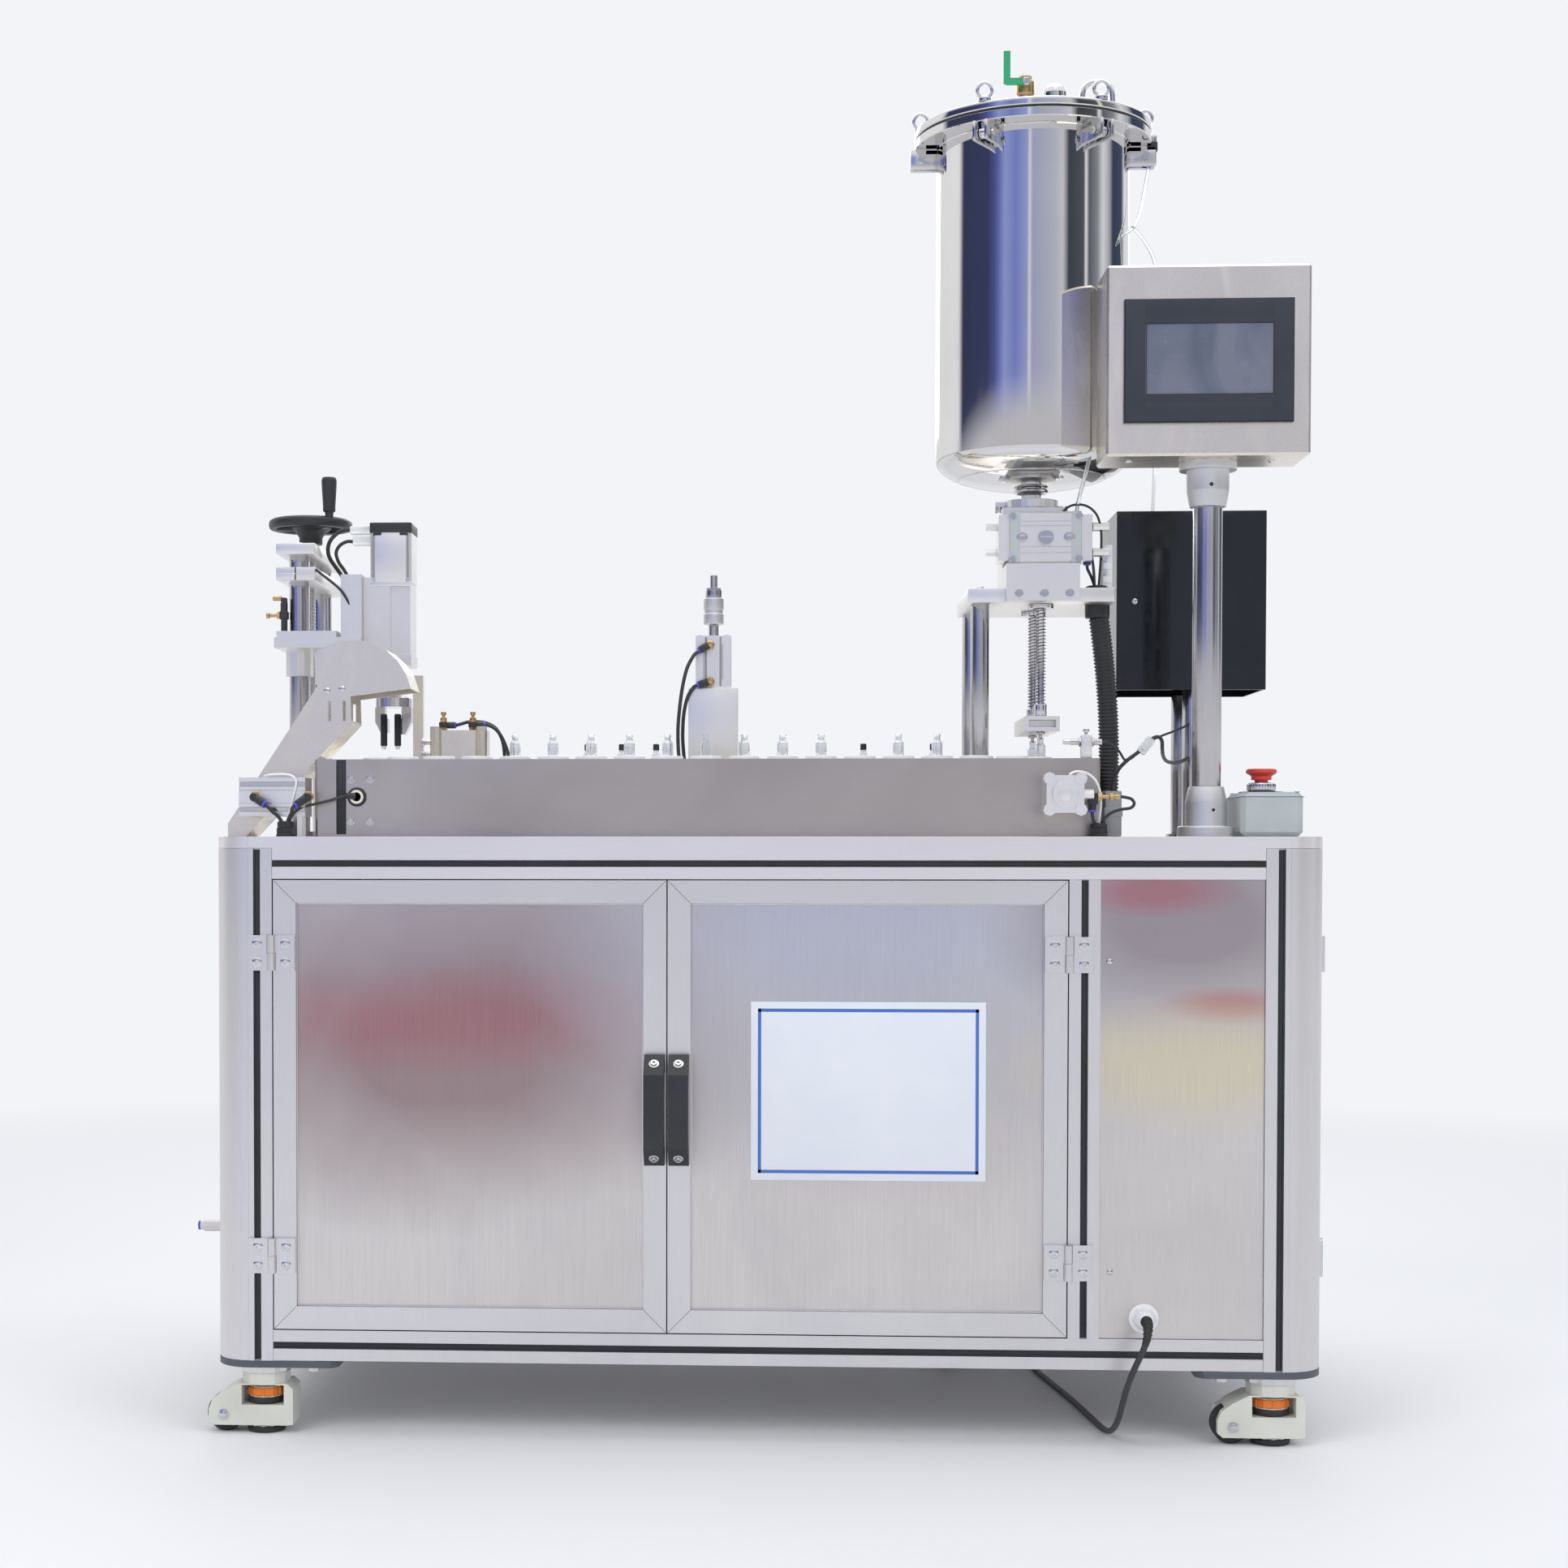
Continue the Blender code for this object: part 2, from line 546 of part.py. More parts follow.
# Corrugated conduit between the table and the filling plate
CONDUIT_RADIUS = 14 * MM
CONDUIT_BASE_X = TRACK_RIGHT + 91 * MM
CONDUIT_TOP_X = TRACK_RIGHT + 78 * MM
CONDUIT_Y = NOZZLE_FRONT_Y + 18.6 * MM
CONDUIT_BASE = Vector((CONDUIT_BASE_X, CONDUIT_Y, 0))
CONDUIT_TOP = Vector((CONDUIT_TOP_X, CONDUIT_Y, 0))
CONDUIT_NUT_RADIUS = 22 * MM
CONDUIT_NUT_HEIGHT = 17 * MM
CONDUIT_CAP_RADIUS = 16 * MM
CONDUIT_CAP_HEIGHT = 17 * MM
CONDUIT_BOW = 9 * MM
CONDUIT_STEPS = 7

# Mains lead
GLAND_X = MULLION_LEFT + 97.5 * MM
GLAND_Z = 166.5 * MM
GLAND_HOLE_RADIUS = 8 * MM
GLAND_FLANGE_RADIUS = 16 * MM
GLAND_FLANGE = 6 * MM
GLAND_DOME_RADIUS = 14 * MM
GLAND_NOSE_RADIUS = 8.5 * MM
GLAND_DOME = 18 * MM
GLAND_NUT_RADIUS = 14 * MM
GLAND_NUT = 5 * MM
CORD_RADIUS = 4 * MM
CORD_SPACING = 28 * MM
COIL_X = 330 * MM
COIL_Y = 575 * MM
COIL_CENTRE = Vector((COIL_X, COIL_Y, 0))
COIL_RADIUS = 47.9 * MM
COIL_HALF_WIDTH = 17.9 * MM
COIL_LANE = 61.6 * MM
COIL_HEIGHT = 17 * MM
PLUG_LENGTH = 38 * MM
PLUG_HALF = 14 * MM
PLUG_HALF_WIDTH = 19.6 * MM
PLUG_PIN_LENGTH = 18 * MM
PLUG_PIN_RADIUS = 2.4 * MM
PLUG_PIN_SPREAD = 9.5 * MM
PLUG_TAIL_RADIUS = 7 * MM
PLUG_TAIL = 18 * MM
CORD_ROUTE = (
    (488.5, -24, 166.5), (488.2, -34, 165), (487.2, -43, 160.2), (485.2, -50, 152.5),
    (482, -54.5, 143), (477.3, -56, 132), (471.7, -55.5, 120), (466.5, -53, 107),
    (462.5, -49, 94), (459.5, -43.5, 81), (457.5, -36, 67.5), (456, -26, 54),
    (455, -13, 41), (454, 3, 29.5), (453, 22, 19.5), (452, 44, 11.5), (450, 69, 6.4),
    (447, 96, 4.4), (442, 140, 4.3), (436, 190, 4.3), (430, 240, 4.3), (423, 290, 4.3),
    (415, 340, 4.3), (407.5, 390, 4.3), (401, 435, 4.3), (396, 475, 4.3), (392.8, 510, 4.3),
)

# Where the machine's own box has its middle
X_CENTRE = (HANDLE_STANDOFF - FITTING_PROUD) / 2
Y_CENTRE = (CABINET_DEPTH - HANDLE_STANDOFF) / 2


def clear_scene():
    for item in list(bpy.data.objects):
        bpy.data.objects.remove(item, do_unlink=True)


def new_collection(name):
    made = bpy.data.collections.new(name)
    bpy.context.scene.collection.children.link(made)
    return made


def new_empty(name, location, parent=None):
    empty = bpy.data.objects.new(name, None)
    empty.location = location
    empty.parent = parent
    PARTS.objects.link(empty)
    return empty


def new_material(name, colour, roughness, metallic=0.0):
    made = bpy.data.materials.new(name)
    made.use_nodes = True
    shader = made.node_tree.nodes["Principled BSDF"]
    shader.inputs["Base Color"].default_value = (*colour, 1)
    shader.inputs["Roughness"].default_value = roughness
    shader.inputs["Metallic"].default_value = metallic
    return made


def tool_object(name, mesh):
    """A shape is a hidden tool until keep() makes it a part."""
    made = bpy.data.objects.new(name, mesh)
    made.parent = BENCH
    made.hide_render = True
    made.display_type = "WIRE"
    TOOLS.objects.link(made)
    return made


def tool_from_bmesh(name, shape):
    bmesh.ops.remove_doubles(shape, verts=shape.verts, dist=WELD_DISTANCE)
    bmesh.ops.recalc_face_normals(shape, faces=shape.faces)
    mesh = bpy.data.meshes.new(name)
    shape.to_mesh(mesh)
    shape.free()
    return tool_object(name, mesh)


def baked(source, name, matrix, flatten=False):
    """The evaluated mesh of a curve or a Screw, welded and put in its place."""
    bpy.context.view_layer.update()
    graph = bpy.context.evaluated_depsgraph_get()
    mesh = bpy.data.meshes.new_from_object(source.evaluated_get(graph))
    shape = bmesh.new()
    shape.from_mesh(mesh)
    bmesh.ops.transform(shape, matrix=matrix, verts=shape.verts)
    bpy.data.objects.remove(source)
    bpy.data.meshes.remove(mesh)
    if flatten:
        bmesh.ops.remove_doubles(shape, verts=shape.verts, dist=WELD_DISTANCE)
        bmesh.ops.dissolve_limit(
            shape, angle_limit=FLAT_ANGLE, verts=shape.verts, edges=shape.edges
        )
    return tool_from_bmesh(name, shape)


def box(low, high, bevel=0.0, name="box"):
    low = Vector(low)
    high = Vector(high)
    corner = Vector(map(min, low, high))
    size = Vector(map(max, low, high)) - corner
    shape = bmesh.new()
    bmesh.ops.create_cube(shape, size=1.0)
    bmesh.ops.scale(shape, vec=size, verts=shape.verts)
    bmesh.ops.translate(shape, vec=corner + size / 2, verts=shape.verts)
    if bevel:
        bmesh.ops.bevel(
            shape, geom=shape.edges[:], offset=bevel, segments=1, affect="EDGES"
        )
    return tool_from_bmesh(name, shape)


def cylinder(start, axis, length, radius, sides=ROUND_SIDES, end_radius=None, name="cylinder"):
    """A cylinder or cone from its start point along +X, +Y or +Z."""
    direction = AXES[axis]
    shape = bmesh.new()
    bmesh.ops.create_cone(
        shape, cap_ends=True, segments=sides, radius1=radius,
        radius2=radius if end_radius is None else end_radius, depth=length,
    )
    turn = Z_AXIS.rotation_difference(direction).to_matrix().to_4x4()
    centre = Vector(start) + direction * length / 2
    bmesh.ops.transform(shape, matrix=Matrix.Translation(centre) @ turn, verts=shape.verts)
    return tool_from_bmesh(name, shape)


def turned(profile, start, axis="Z", steps=ROUND_SIDES, closed=False, name="turned"):
    """A (radius, height) profile turned about an axis; its outer side runs downwards."""
    mesh = bpy.data.meshes.new(name)
    links = [(index, index + 1) for index in range(len(profile) - 1)]
    if closed:
        links.append((len(profile) - 1, 0))
    mesh.from_pydata([(radius, 0, height) for radius, height in profile], links, [])
    source = bpy.data.objects.new(name, mesh)
    TOOLS.objects.link(source)
    screw = source.modifiers.new("turn", "SCREW")
    screw.steps = steps
    screw.render_steps = steps
    screw.use_merge_vertices = True
    screw.merge_threshold = WELD_DISTANCE
    turn = Z_AXIS.rotation_difference(AXES[axis]).to_matrix().to_4x4()
    return baked(source, name, Matrix.Translation(Vector(start)) @ turn)


def prism(outlines, thickness, start, across, up, along, name="prism"):
    """Flat outlines, the later ones holes, drawn in (across, up) and extruded along."""
    curve = bpy.data.curves.new(name, "CURVE")
    curve.dimensions = "2D"
    curve.fill_mode = "BOTH"
    curve.extrude = thickness / 2
    for outline in outlines:
        spline = curve.splines.new("POLY")
        spline.points.add(len(outline) - 1)
        for point, spot in zip(spline.points, outline):
            point.co = (spot[0], spot[1], 0, 1)
        spline.use_cyclic_u = True
    source = bpy.data.objects.new(name, curve)
    TOOLS.objects.link(source)
    turn = Matrix((across, up, along)).transposed().to_4x4()
    middle = Vector(start) + along * thickness / 2
    return baked(source, name, Matrix.Translation(middle) @ turn, flatten=True)


def tube(points, radius, name="tube"):
    curve = bpy.data.curves.new(name, "CURVE")
    curve.dimensions = "3D"
    curve.bevel_depth = radius
    curve.bevel_resolution = 2
    curve.use_fill_caps = True
    spline = curve.splines.new("POLY")
    spline.points.add(len(points) - 1)
    for point, spot in zip(spline.points, points):
        point.co = (*spot, 1)
    source = bpy.data.objects.new(name, curve)
    TOOLS.objects.link(source)
    return baked(source, name, Matrix.Identity(4))


def boolean(base, tools, operation):
    for tool in tools:
        modifier = base.modifiers.new(tool.name, "BOOLEAN")
        modifier.operation = operation
        modifier.solver = "EXACT"
        modifier.object = tool
    return base


def fuse(base, *tools):
    return boolean(base, tools, "UNION")


def carve(base, *tools):
    return boolean(base, tools, "DIFFERENCE")


def merged(tools, name):
    """Shapes that don't touch each other, as one tool."""
    shape = bmesh.new()
    for tool in tools:
        shape.from_mesh(tool.data)
        bpy.data.objects.remove(tool)
    return tool_from_bmesh(name, shape)


def keep(piece, name, material, pivot=(0, 0, 0)):
    """Makes a shape a part, with its origin on its joint's axis."""
    piece.name = name
    piece.data.name = name
    piece.hide_render = False
    piece.display_type = "SOLID"
    TOOLS.objects.unlink(piece)
    PARTS.objects.link(piece)
    piece.data.transform(Matrix.Translation(-Vector(pivot)))
    piece.location = pivot
    piece.data.materials.append(material)
    piece.data.shade_smooth()
    piece.data.set_sharp_from_angle(angle=math.radians(32))
    return piece


def arc(centre, radius, start, end, steps=ARC_STEPS):
    """Points on an arc between two angles in degrees."""
    angles = [math.radians(start + (end - start) * step / steps) for step in range(steps + 1)]
    return [
        (centre[0] + radius * math.cos(angle), centre[1] + radius * math.sin(angle))
        for angle in angles
    ]


def rounded_rectangle(low, high, radius, steps=ARC_STEPS):
    right, top = high[0] - radius, high[1] - radius
    left, bottom = low[0] + radius, low[1] + radius
    return (
        arc((right, top), radius, 0, 90, steps)
        + arc((left, top), radius, 90, 180, steps)
        + arc((left, bottom), radius, 180, 270, steps)
        + arc((right, bottom), radius, 270, 360, steps)
    )


def smooth_through(points, spacing):
    """Evenly spaced points on a Catmull-Rom curve through the given ones."""
    ends = [points[0] * 2 - points[1], *points, points[-1] * 2 - points[-2]]
    dense = []
    steps = CURVE_STEPS
    for index in range(1, len(ends) - 2):
        before, start, end, after = ends[index - 1:index + 3]
        for step in range(steps):
            t = step / steps
            dense.append(
                0.5 * (
                    2 * start + (end - before) * t
                    + (2 * before - 5 * start + 4 * end - after) * t ** 2
                    + (3 * start - before - 3 * end + after) * t ** 3
                )
            )
    dense.append(points[-1])
    total = sum((b - a).length for a, b in zip(dense, dense[1:]))
    count = round(total / spacing)
    picked = [dense[0]]
    walked = 0.0
    for a, b in zip(dense, dense[1:]):
        step_length = (b - a).length
        while len(picked) < count and walked + step_length >= len(picked) * total / count:
            part = (len(picked) * total / count - walked) / step_length
            picked.append(a.lerp(b, part))
        walked += step_length
    picked.append(dense[-1])
    return picked


class Face:
    """A cabinet face seen from its hinge edge: u runs over the door, w points outwards."""

    def __init__(self, origin, u, w):
        self.origin = Vector(origin)
        self.u = u
        self.w = w

    def spot(self, u, w, z):
        return self.origin + self.u * u + self.w * w + Z_AXIS * z

    def box(self, low, high, bevel=0.0):
        return box(self.spot(*low), self.spot(*high), bevel)

    def upright(self, u, w, z, length, radius, sides=COARSE_SIDES):
        return cylinder(self.spot(u, w, z), "Z", length, radius, sides)


LEFT_DOOR_FACE = Face((-OPENING_HALF, 0, 0), X_AXIS, -Y_AXIS)
RIGHT_DOOR_FACE = Face((MULLION_LEFT, 0, 0), -X_AXIS, -Y_AXIS)
SIDE_DOOR_FACE = Face((HALF_WIDTH, POST_SIZE, 0), Y_AXIS, X_AXIS)


def hinge_half(face, centre_z, door_side):
    """One leaf with its half of the knuckle: the fixed lower half carries the pin."""
    way = 1 if door_side else -1
    root = KNUCKLE_RADIUS + SEAT_GAP
    half = HINGE_HEIGHT / 2
    low = centre_z + SEAT_GAP / 2 if door_side else centre_z - half
    length = half - SEAT_GAP / 2
    leaf = face.box(
        (way * root, -BITE, centre_z - half), (way * HINGE_LEAF, LEAF_THICKNESS, centre_z + half)
    )
    web = face.box((0, SEAT_GAP, low), (way * (root + BITE), LEAF_THICKNESS, low + length))
    knuckle = face.upright(0, root, low, length, KNUCKLE_RADIUS)
    return [leaf, web, knuckle]


def hinge_pin(face, centre_z):
    length = HINGE_HEIGHT - 2 * BITE
    return face.upright(
        0, KNUCKLE_RADIUS + SEAT_GAP, centre_z - length / 2, length, HINGE_PIN_RADIUS
    )


def hinge_bore(face, centre_z):
    return face.upright(
        0, KNUCKLE_RADIUS + SEAT_GAP, centre_z - OVERRUN, HINGE_HEIGHT,
        HINGE_PIN_RADIUS + SLIDE_FIT,
    )


def fixed_leaves(face):
    tools = []
    for centre_z in HINGE_CENTRES:
        tools += hinge_half(face, centre_z, door_side=False)
        tools.append(hinge_pin(face, centre_z))
    return tools


def post_outline():
    """Section of a post, measured outwards from its inner corner."""
    bend = POST_SIZE - POST_CORNER_RADIUS
    near = SLOT_INSET - SLOT_WIDTH / 2
    far = SLOT_INSET + SLOT_WIDTH / 2
    depth = POST_SIZE - SLOT_DEPTH
    return [
        (0, 0), (POST_SIZE, 0), (POST_SIZE, near), (depth, near), (depth, far), (POST_SIZE, far),
        *arc((bend, bend), POST_CORNER_RADIUS, 0, 90, ARC_STEPS + 1),
        (far, POST_SIZE), (far, depth), (near, depth), (near, POST_SIZE), (0, POST_SIZE),
    ]


def foot_outline():
    """The foot plate reaches under both rails, with chamfered arm ends."""
    inner = POST_SIZE - RAIL_SIZE
    bend = POST_SIZE - POST_CORNER_RADIUS
    end = POST_SIZE - FOOT_CHAMFER
    return [
        (0, 0), (inner, 0), (inner, -FOOT_ARM), (end, -FOOT_ARM),
        (POST_SIZE, FOOT_CHAMFER - FOOT_ARM),
        *arc((bend, bend), POST_CORNER_RADIUS, 0, 90, ARC_STEPS + 1),
        (FOOT_CHAMFER - FOOT_ARM, POST_SIZE), (-FOOT_ARM, end), (-FOOT_ARM, inner), (0, inner),
    ]


def corner_post(name, side, rear):
    """side is -1 on the left and 1 on the right; the section mirrors to each corner."""
    across = X_AXIS * side
    up = Y_AXIS if rear else -Y_AXIS
    corner_y = CABINET_DEPTH - POST_SIZE if rear else POST_SIZE
    corner = Vector((side * OPENING_HALF, corner_y, 0))
    sole = FOOT_Z - FOOT_PLATE
    post_low = FOOT_Z - FOOT_PLATE / 2
    post_height = TABLE_UNDERSIDE - SEAT_GAP - post_low
    post = prism(
        [post_outline()], post_height, corner + Z_AXIS * post_low, across, up, Z_AXIS
    )
    plate = prism(
        [foot_outline()], FOOT_PLATE - SEAT_GAP, corner + Z_AXIS * sole, across, up, Z_AXIS
    )
    caster_y = CABINET_DEPTH - CASTER_Y if rear else CASTER_Y
    boss = cylinder(
        (side * CASTER_X, caster_y, sole - FOOT_BOSS_HEIGHT), "Z", FOOT_BOSS_HEIGHT + BITE,
        FOOT_BOSS_RADIUS,
    )
    tools = [plate, boss]
    for along in FOOT_BOLTS_ALONG:
        for place in ((along, FOOT_BOLT_LINE), (FOOT_BOLT_LINE, along)):
            spot = corner + across * place[0] + up * place[1]
            spot.z = sole - FOOT_BOLT_HEIGHT
            tools.append(cylinder(spot, "Z", FOOT_BOLT_HEIGHT + BITE, FOOT_BOLT_RADIUS, 6))
    if not rear:
        tools += fixed_leaves(LEFT_DOOR_FACE if side < 0 else SIDE_DOOR_FACE)
    keep(fuse(post, *tools), name, ALUMINIUM)


def rail_boxes(low, high):
    """Front, rear and side rails between the posts, at one height."""
    end = OPENING_HALF - SEAT_GAP
    back = CABINET_DEPTH - RAIL_SIZE
    near = POST_SIZE + SEAT_GAP
    far = CABINET_DEPTH - POST_SIZE - SEAT_GAP
    inner = HALF_WIDTH - RAIL_SIZE
    return [
        box((-end, 0, low), (end, RAIL_SIZE, high)),
        box((-end, back, low), (end, CABINET_DEPTH, high)),
        box((-HALF_WIDTH, near, low), (-inner, far, high)),
        box((inner, near, low), (HALF_WIDTH, far, high)),
    ]


def rail_grooves(centre_z):
    """T-slots in the outer faces of the rails."""
    low = centre_z - SLOT_WIDTH / 2
    high = centre_z + SLOT_WIDTH / 2
    reach = OPENING_HALF
    back = CABINET_DEPTH - SLOT_DEPTH
    near = POST_SIZE
    far = CABINET_DEPTH - POST_SIZE
    inner = HALF_WIDTH - SLOT_DEPTH
    outer = HALF_WIDTH + OVERRUN
    return [
        box((-reach, -OVERRUN, low), (reach, SLOT_DEPTH, high)),
        box((-reach, back, low), (reach, CABINET_DEPTH + OVERRUN, high)),
        box((-outer, near, low), (-inner, far, high)),
        box((inner, near, low), (outer, far, high)),
    ]


def strip_lines():
    """Shallow cuts across the table that part its free front and rear strips from the work area."""
    low = TABLE_TOP - STRIP_LINE_DEPTH
    reach = HALF_WIDTH + OVERRUN
    return [
        box((-reach, start, low), (reach, start + STRIP_LINE_WIDTH, TABLE_TOP + BITE))
        for start in (FREE_STRIP_FRONT - STRIP_LINE_WIDTH, FREE_STRIP_REAR)
    ]


def table_top():
    outline = rounded_rectangle(
        (-HALF_WIDTH, 0), (HALF_WIDTH, CABINET_DEPTH), POST_CORNER_RADIUS, ARC_STEPS + 1
    )
    start = Vector((0, 0, TABLE_UNDERSIDE))
    plate = prism([outline], TABLE_THICKNESS, start, X_AXIS, Y_AXIS, Z_AXIS)
    carve(plate, merged(strip_lines(), "strip_lines"))
    rails = merged(rail_boxes(HEAD_Z, TABLE_UNDERSIDE + BITE), "head_rails")
    fuse(plate, rails)
    carve(plate, merged(rail_grooves(HEAD_Z + RAIL_SIZE / 2), "head_grooves"))
    keep(plate, "table_top", ALUMINIUM)


def lower_frame():
    """Bottom rails, the floor sheet that ties them, and the front mullion."""
    end_x = OPENING_HALF - SEAT_GAP
    near = POST_SIZE + SEAT_GAP
    far = CABINET_DEPTH - near
    outline = [
        (-end_x, 0), (end_x, 0), (end_x, near), (HALF_WIDTH, near), (HALF_WIDTH, far),
        (end_x, far), (end_x, CABINET_DEPTH), (-end_x, CABINET_DEPTH), (-end_x, far),
        (-HALF_WIDTH, far), (-HALF_WIDTH, near), (-end_x, near),
    ]
    start = Vector((0, 0, FOOT_Z))
    frame = prism([outline], RAIL_SIZE, start, X_AXIS, Y_AXIS, Z_AXIS)
    inner_x = HALF_WIDTH - RAIL_SIZE
    inner_y = CABINET_DEPTH - RAIL_SIZE
    sheet_low = SILL_Z - FLOOR_DROP
    over = box(
        (-inner_x, RAIL_SIZE, sheet_low + FLOOR_SHEET), (inner_x, inner_y, SILL_Z + OVERRUN)
    )
    under = box((-inner_x, RAIL_SIZE, FOOT_Z - OVERRUN), (inner_x, inner_y, sheet_low))
    mullion = box(
        (MULLION_LEFT, 0, SILL_Z - BITE), (MULLION_RIGHT, RAIL_SIZE, HEAD_Z - SEAT_GAP)
    )
    middle = (MULLION_LEFT + MULLION_RIGHT) / 2
    groove = box(
        (middle - SLOT_WIDTH / 2, -OVERRUN, SILL_Z),
        (middle + SLOT_WIDTH / 2, SLOT_DEPTH, HEAD_Z),
    )
    carve(frame, over, under)
    fuse(frame, mullion)
    carve(frame, merged(rail_grooves(FOOT_Z + RAIL_SIZE / 2), "sill_grooves"), groove)
    fuse(frame, *fixed_leaves(RIGHT_DOOR_FACE))
    keep(frame, "lower_frame", ALUMINIUM)


def front_panel():
    low = (MULLION_RIGHT + SEAT_GAP, PANEL_RECESS, SILL_Z + SEAT_GAP)
    high = (OPENING_HALF - SEAT_GAP, PANEL_RECESS + PANEL_THICKNESS, HEAD_Z - SEAT_GAP)
    hole = cylinder(
        (GLAND_X, PANEL_RECESS - OVERRUN, GLAND_Z), "Y", PANEL_THICKNESS + 2 * OVERRUN,
        GLAND_HOLE_RADIUS + SEAT_GAP,
    )
    keep(carve(box(low, high), hole), "front_panel", STEEL)


def air_fitting(face_x):
    """Push-in air inlet on the side panel, with an open bore."""
    tip = HALF_WIDTH + FITTING_PROUD
    ring = tip - FITTING_RING_LENGTH
    hexagon = cylinder(
        (-face_x - FITTING_HEX_LENGTH, FITTING_Y, FITTING_Z), "X", FITTING_HEX_LENGTH + BITE,
        FITTING_HEX_RADIUS, 6,
    )
    body = cylinder(
        (-ring, FITTING_Y, FITTING_Z), "X", ring - face_x, FITTING_BODY_RADIUS, COARSE_SIDES
    )
    collar = cylinder(
        (-tip, FITTING_Y, FITTING_Z), "X", FITTING_RING_LENGTH + BITE, FITTING_RING_RADIUS,
        COARSE_SIDES,
    )
    bore = cylinder(
        (-tip - OVERRUN, FITTING_Y, FITTING_Z), "X", FITTING_RING_LENGTH + OVERRUN,
        FITTING_BORE_RADIUS, COARSE_SIDES,
    )
    return [hexagon, body, collar], bore


def left_panel():
    face_x = HALF_WIDTH - PANEL_RECESS
    low = (-face_x, POST_SIZE + SEAT_GAP, SILL_Z + SEAT_GAP)
    high = (
        PANEL_THICKNESS - face_x, CABINET_DEPTH - POST_SIZE - SEAT_GAP, HEAD_Z - SEAT_GAP
    )
    fitting, bore = air_fitting(face_x)
    keep(carve(fuse(box(low, high), *fitting), bore), "left_panel", STEEL)


def rear_panel():
    face_y = CABINET_DEPTH - PANEL_RECESS
    low = (SEAT_GAP - OPENING_HALF, face_y - PANEL_THICKNESS, SILL_Z + SEAT_GAP)
    high = (OPENING_HALF - SEAT_GAP, face_y, HEAD_Z - SEAT_GAP)
    keep(box(low, high), "rear_panel", STEEL)


def handle_outline():
    """Side view of a pull handle: (distance from the door, height from its foot)."""
    length = HANDLE_LENGTH
    inner = HANDLE_STANDOFF - HANDLE_BAR
    shoulder = HANDLE_FOOT + HANDLE_SLOPE
    sole = HANDLE_FOOT - BITE
    return [
        (SEAT_GAP, 0), (HANDLE_BASE, 0), (HANDLE_STANDOFF - BITE, HANDLE_FOOT),
        (HANDLE_STANDOFF, shoulder), (HANDLE_STANDOFF, length - shoulder),
        (HANDLE_STANDOFF - BITE, length - HANDLE_FOOT), (HANDLE_BASE, length),
        (SEAT_GAP, length), (SEAT_GAP, length - sole), (HANDLE_BASE, length - sole),
        (inner, length - shoulder), (inner, shoulder), (HANDLE_BASE, sole), (SEAT_GAP, sole),
    ]


def pull_handle(face, width, name=None):
    """On the free stile; named handles are parts, the other is fused to its door."""
    centre_u = DOOR_GAP + width - DOOR_STILE / 2
    low_z = HANDLE_CENTRE_Z - HANDLE_LENGTH / 2
    start = face.spot(centre_u - HANDLE_WIDTH / 2, 0, low_z)
    outline = handle_outline()
    if name is None:
        outline = [(-BITE if w == SEAT_GAP else w, z) for w, z in outline]
    bow = prism([outline], HANDLE_WIDTH, start, face.w, Z_AXIS, face.u)
    if name is not None:
        keep(bow, name, BLACK_PLASTIC)
    return bow


def door_frame(face, width):
    """A mitred ring of flat profile, rebated behind for its sheet."""
    low_z = SILL_Z + DOOR_GAP
    high_z = HEAD_Z - DOOR_GAP
    end = DOOR_GAP + width
    frame = face.box((DOOR_GAP, 0, low_z), (end, -DOOR_THICKNESS, high_z))
    light = face.box(
        (DOOR_GAP + DOOR_STILE, OVERRUN, low_z + DOOR_STILE),
        (end - DOOR_STILE, -DOOR_THICKNESS - OVERRUN, high_z - DOOR_STILE),
    )
    inset = DOOR_STILE - DOOR_REBATE
    rebate = face.box(
        (DOOR_GAP + inset, -DOOR_LIP, low_z + inset),
        (end - inset, -DOOR_THICKNESS - OVERRUN, high_z - inset),
    )
    carve(frame, light, rebate)
    for centre_z in HINGE_CENTRES:
        fuse(frame, *hinge_half(face, centre_z, door_side=True))
        carve(frame, hinge_bore(face, centre_z))
    return frame


def door_sheet(face, width):
    inset = DOOR_STILE - DOOR_REBATE + SEAT_GAP
    return face.box(
        (DOOR_GAP + inset, -DOOR_LIP - SEAT_GAP, SILL_Z + DOOR_GAP + inset),
        (DOOR_GAP + width - inset, -DOOR_LIP - SEAT_GAP - SHEET_THICKNESS,
         HEAD_Z - DOOR_GAP - inset),
    )


def doors():
    width = (MULLION_LEFT + OPENING_HALF - 3 * DOOR_GAP) / 2
    axis_w = KNUCKLE_RADIUS + SEAT_GAP
    for side, face in (("left", LEFT_DOOR_FACE), ("right", RIGHT_DOOR_FACE)):
        pivot = face.spot(0, axis_w, 0)
        keep(door_frame(face, width), f"door_{side}", ALUMINIUM, pivot)
        keep(door_sheet(face, width), f"door_{side}_sheet", STEEL, pivot)
        pull_handle(face, width, f"door_handle_{side}")
    side_width = CABINET_DEPTH - 2 * POST_SIZE - 2 * DOOR_GAP
    face = SIDE_DOOR_FACE
    side_door = door_frame(face, side_width)
    inset = DOOR_STILE - DOOR_REBATE - BITE
    infill = face.box(
        (DOOR_GAP + inset, BITE - DOOR_LIP, SILL_Z + DOOR_GAP + inset),
        (DOOR_GAP + side_width - inset, -DOOR_LIP - SHEET_THICKNESS, HEAD_Z - DOOR_GAP - inset),
    )
    fuse(side_door, infill, pull_handle(face, side_width))
    keep(side_door, "side_door", ALUMINIUM, face.spot(0, axis_w, 0))


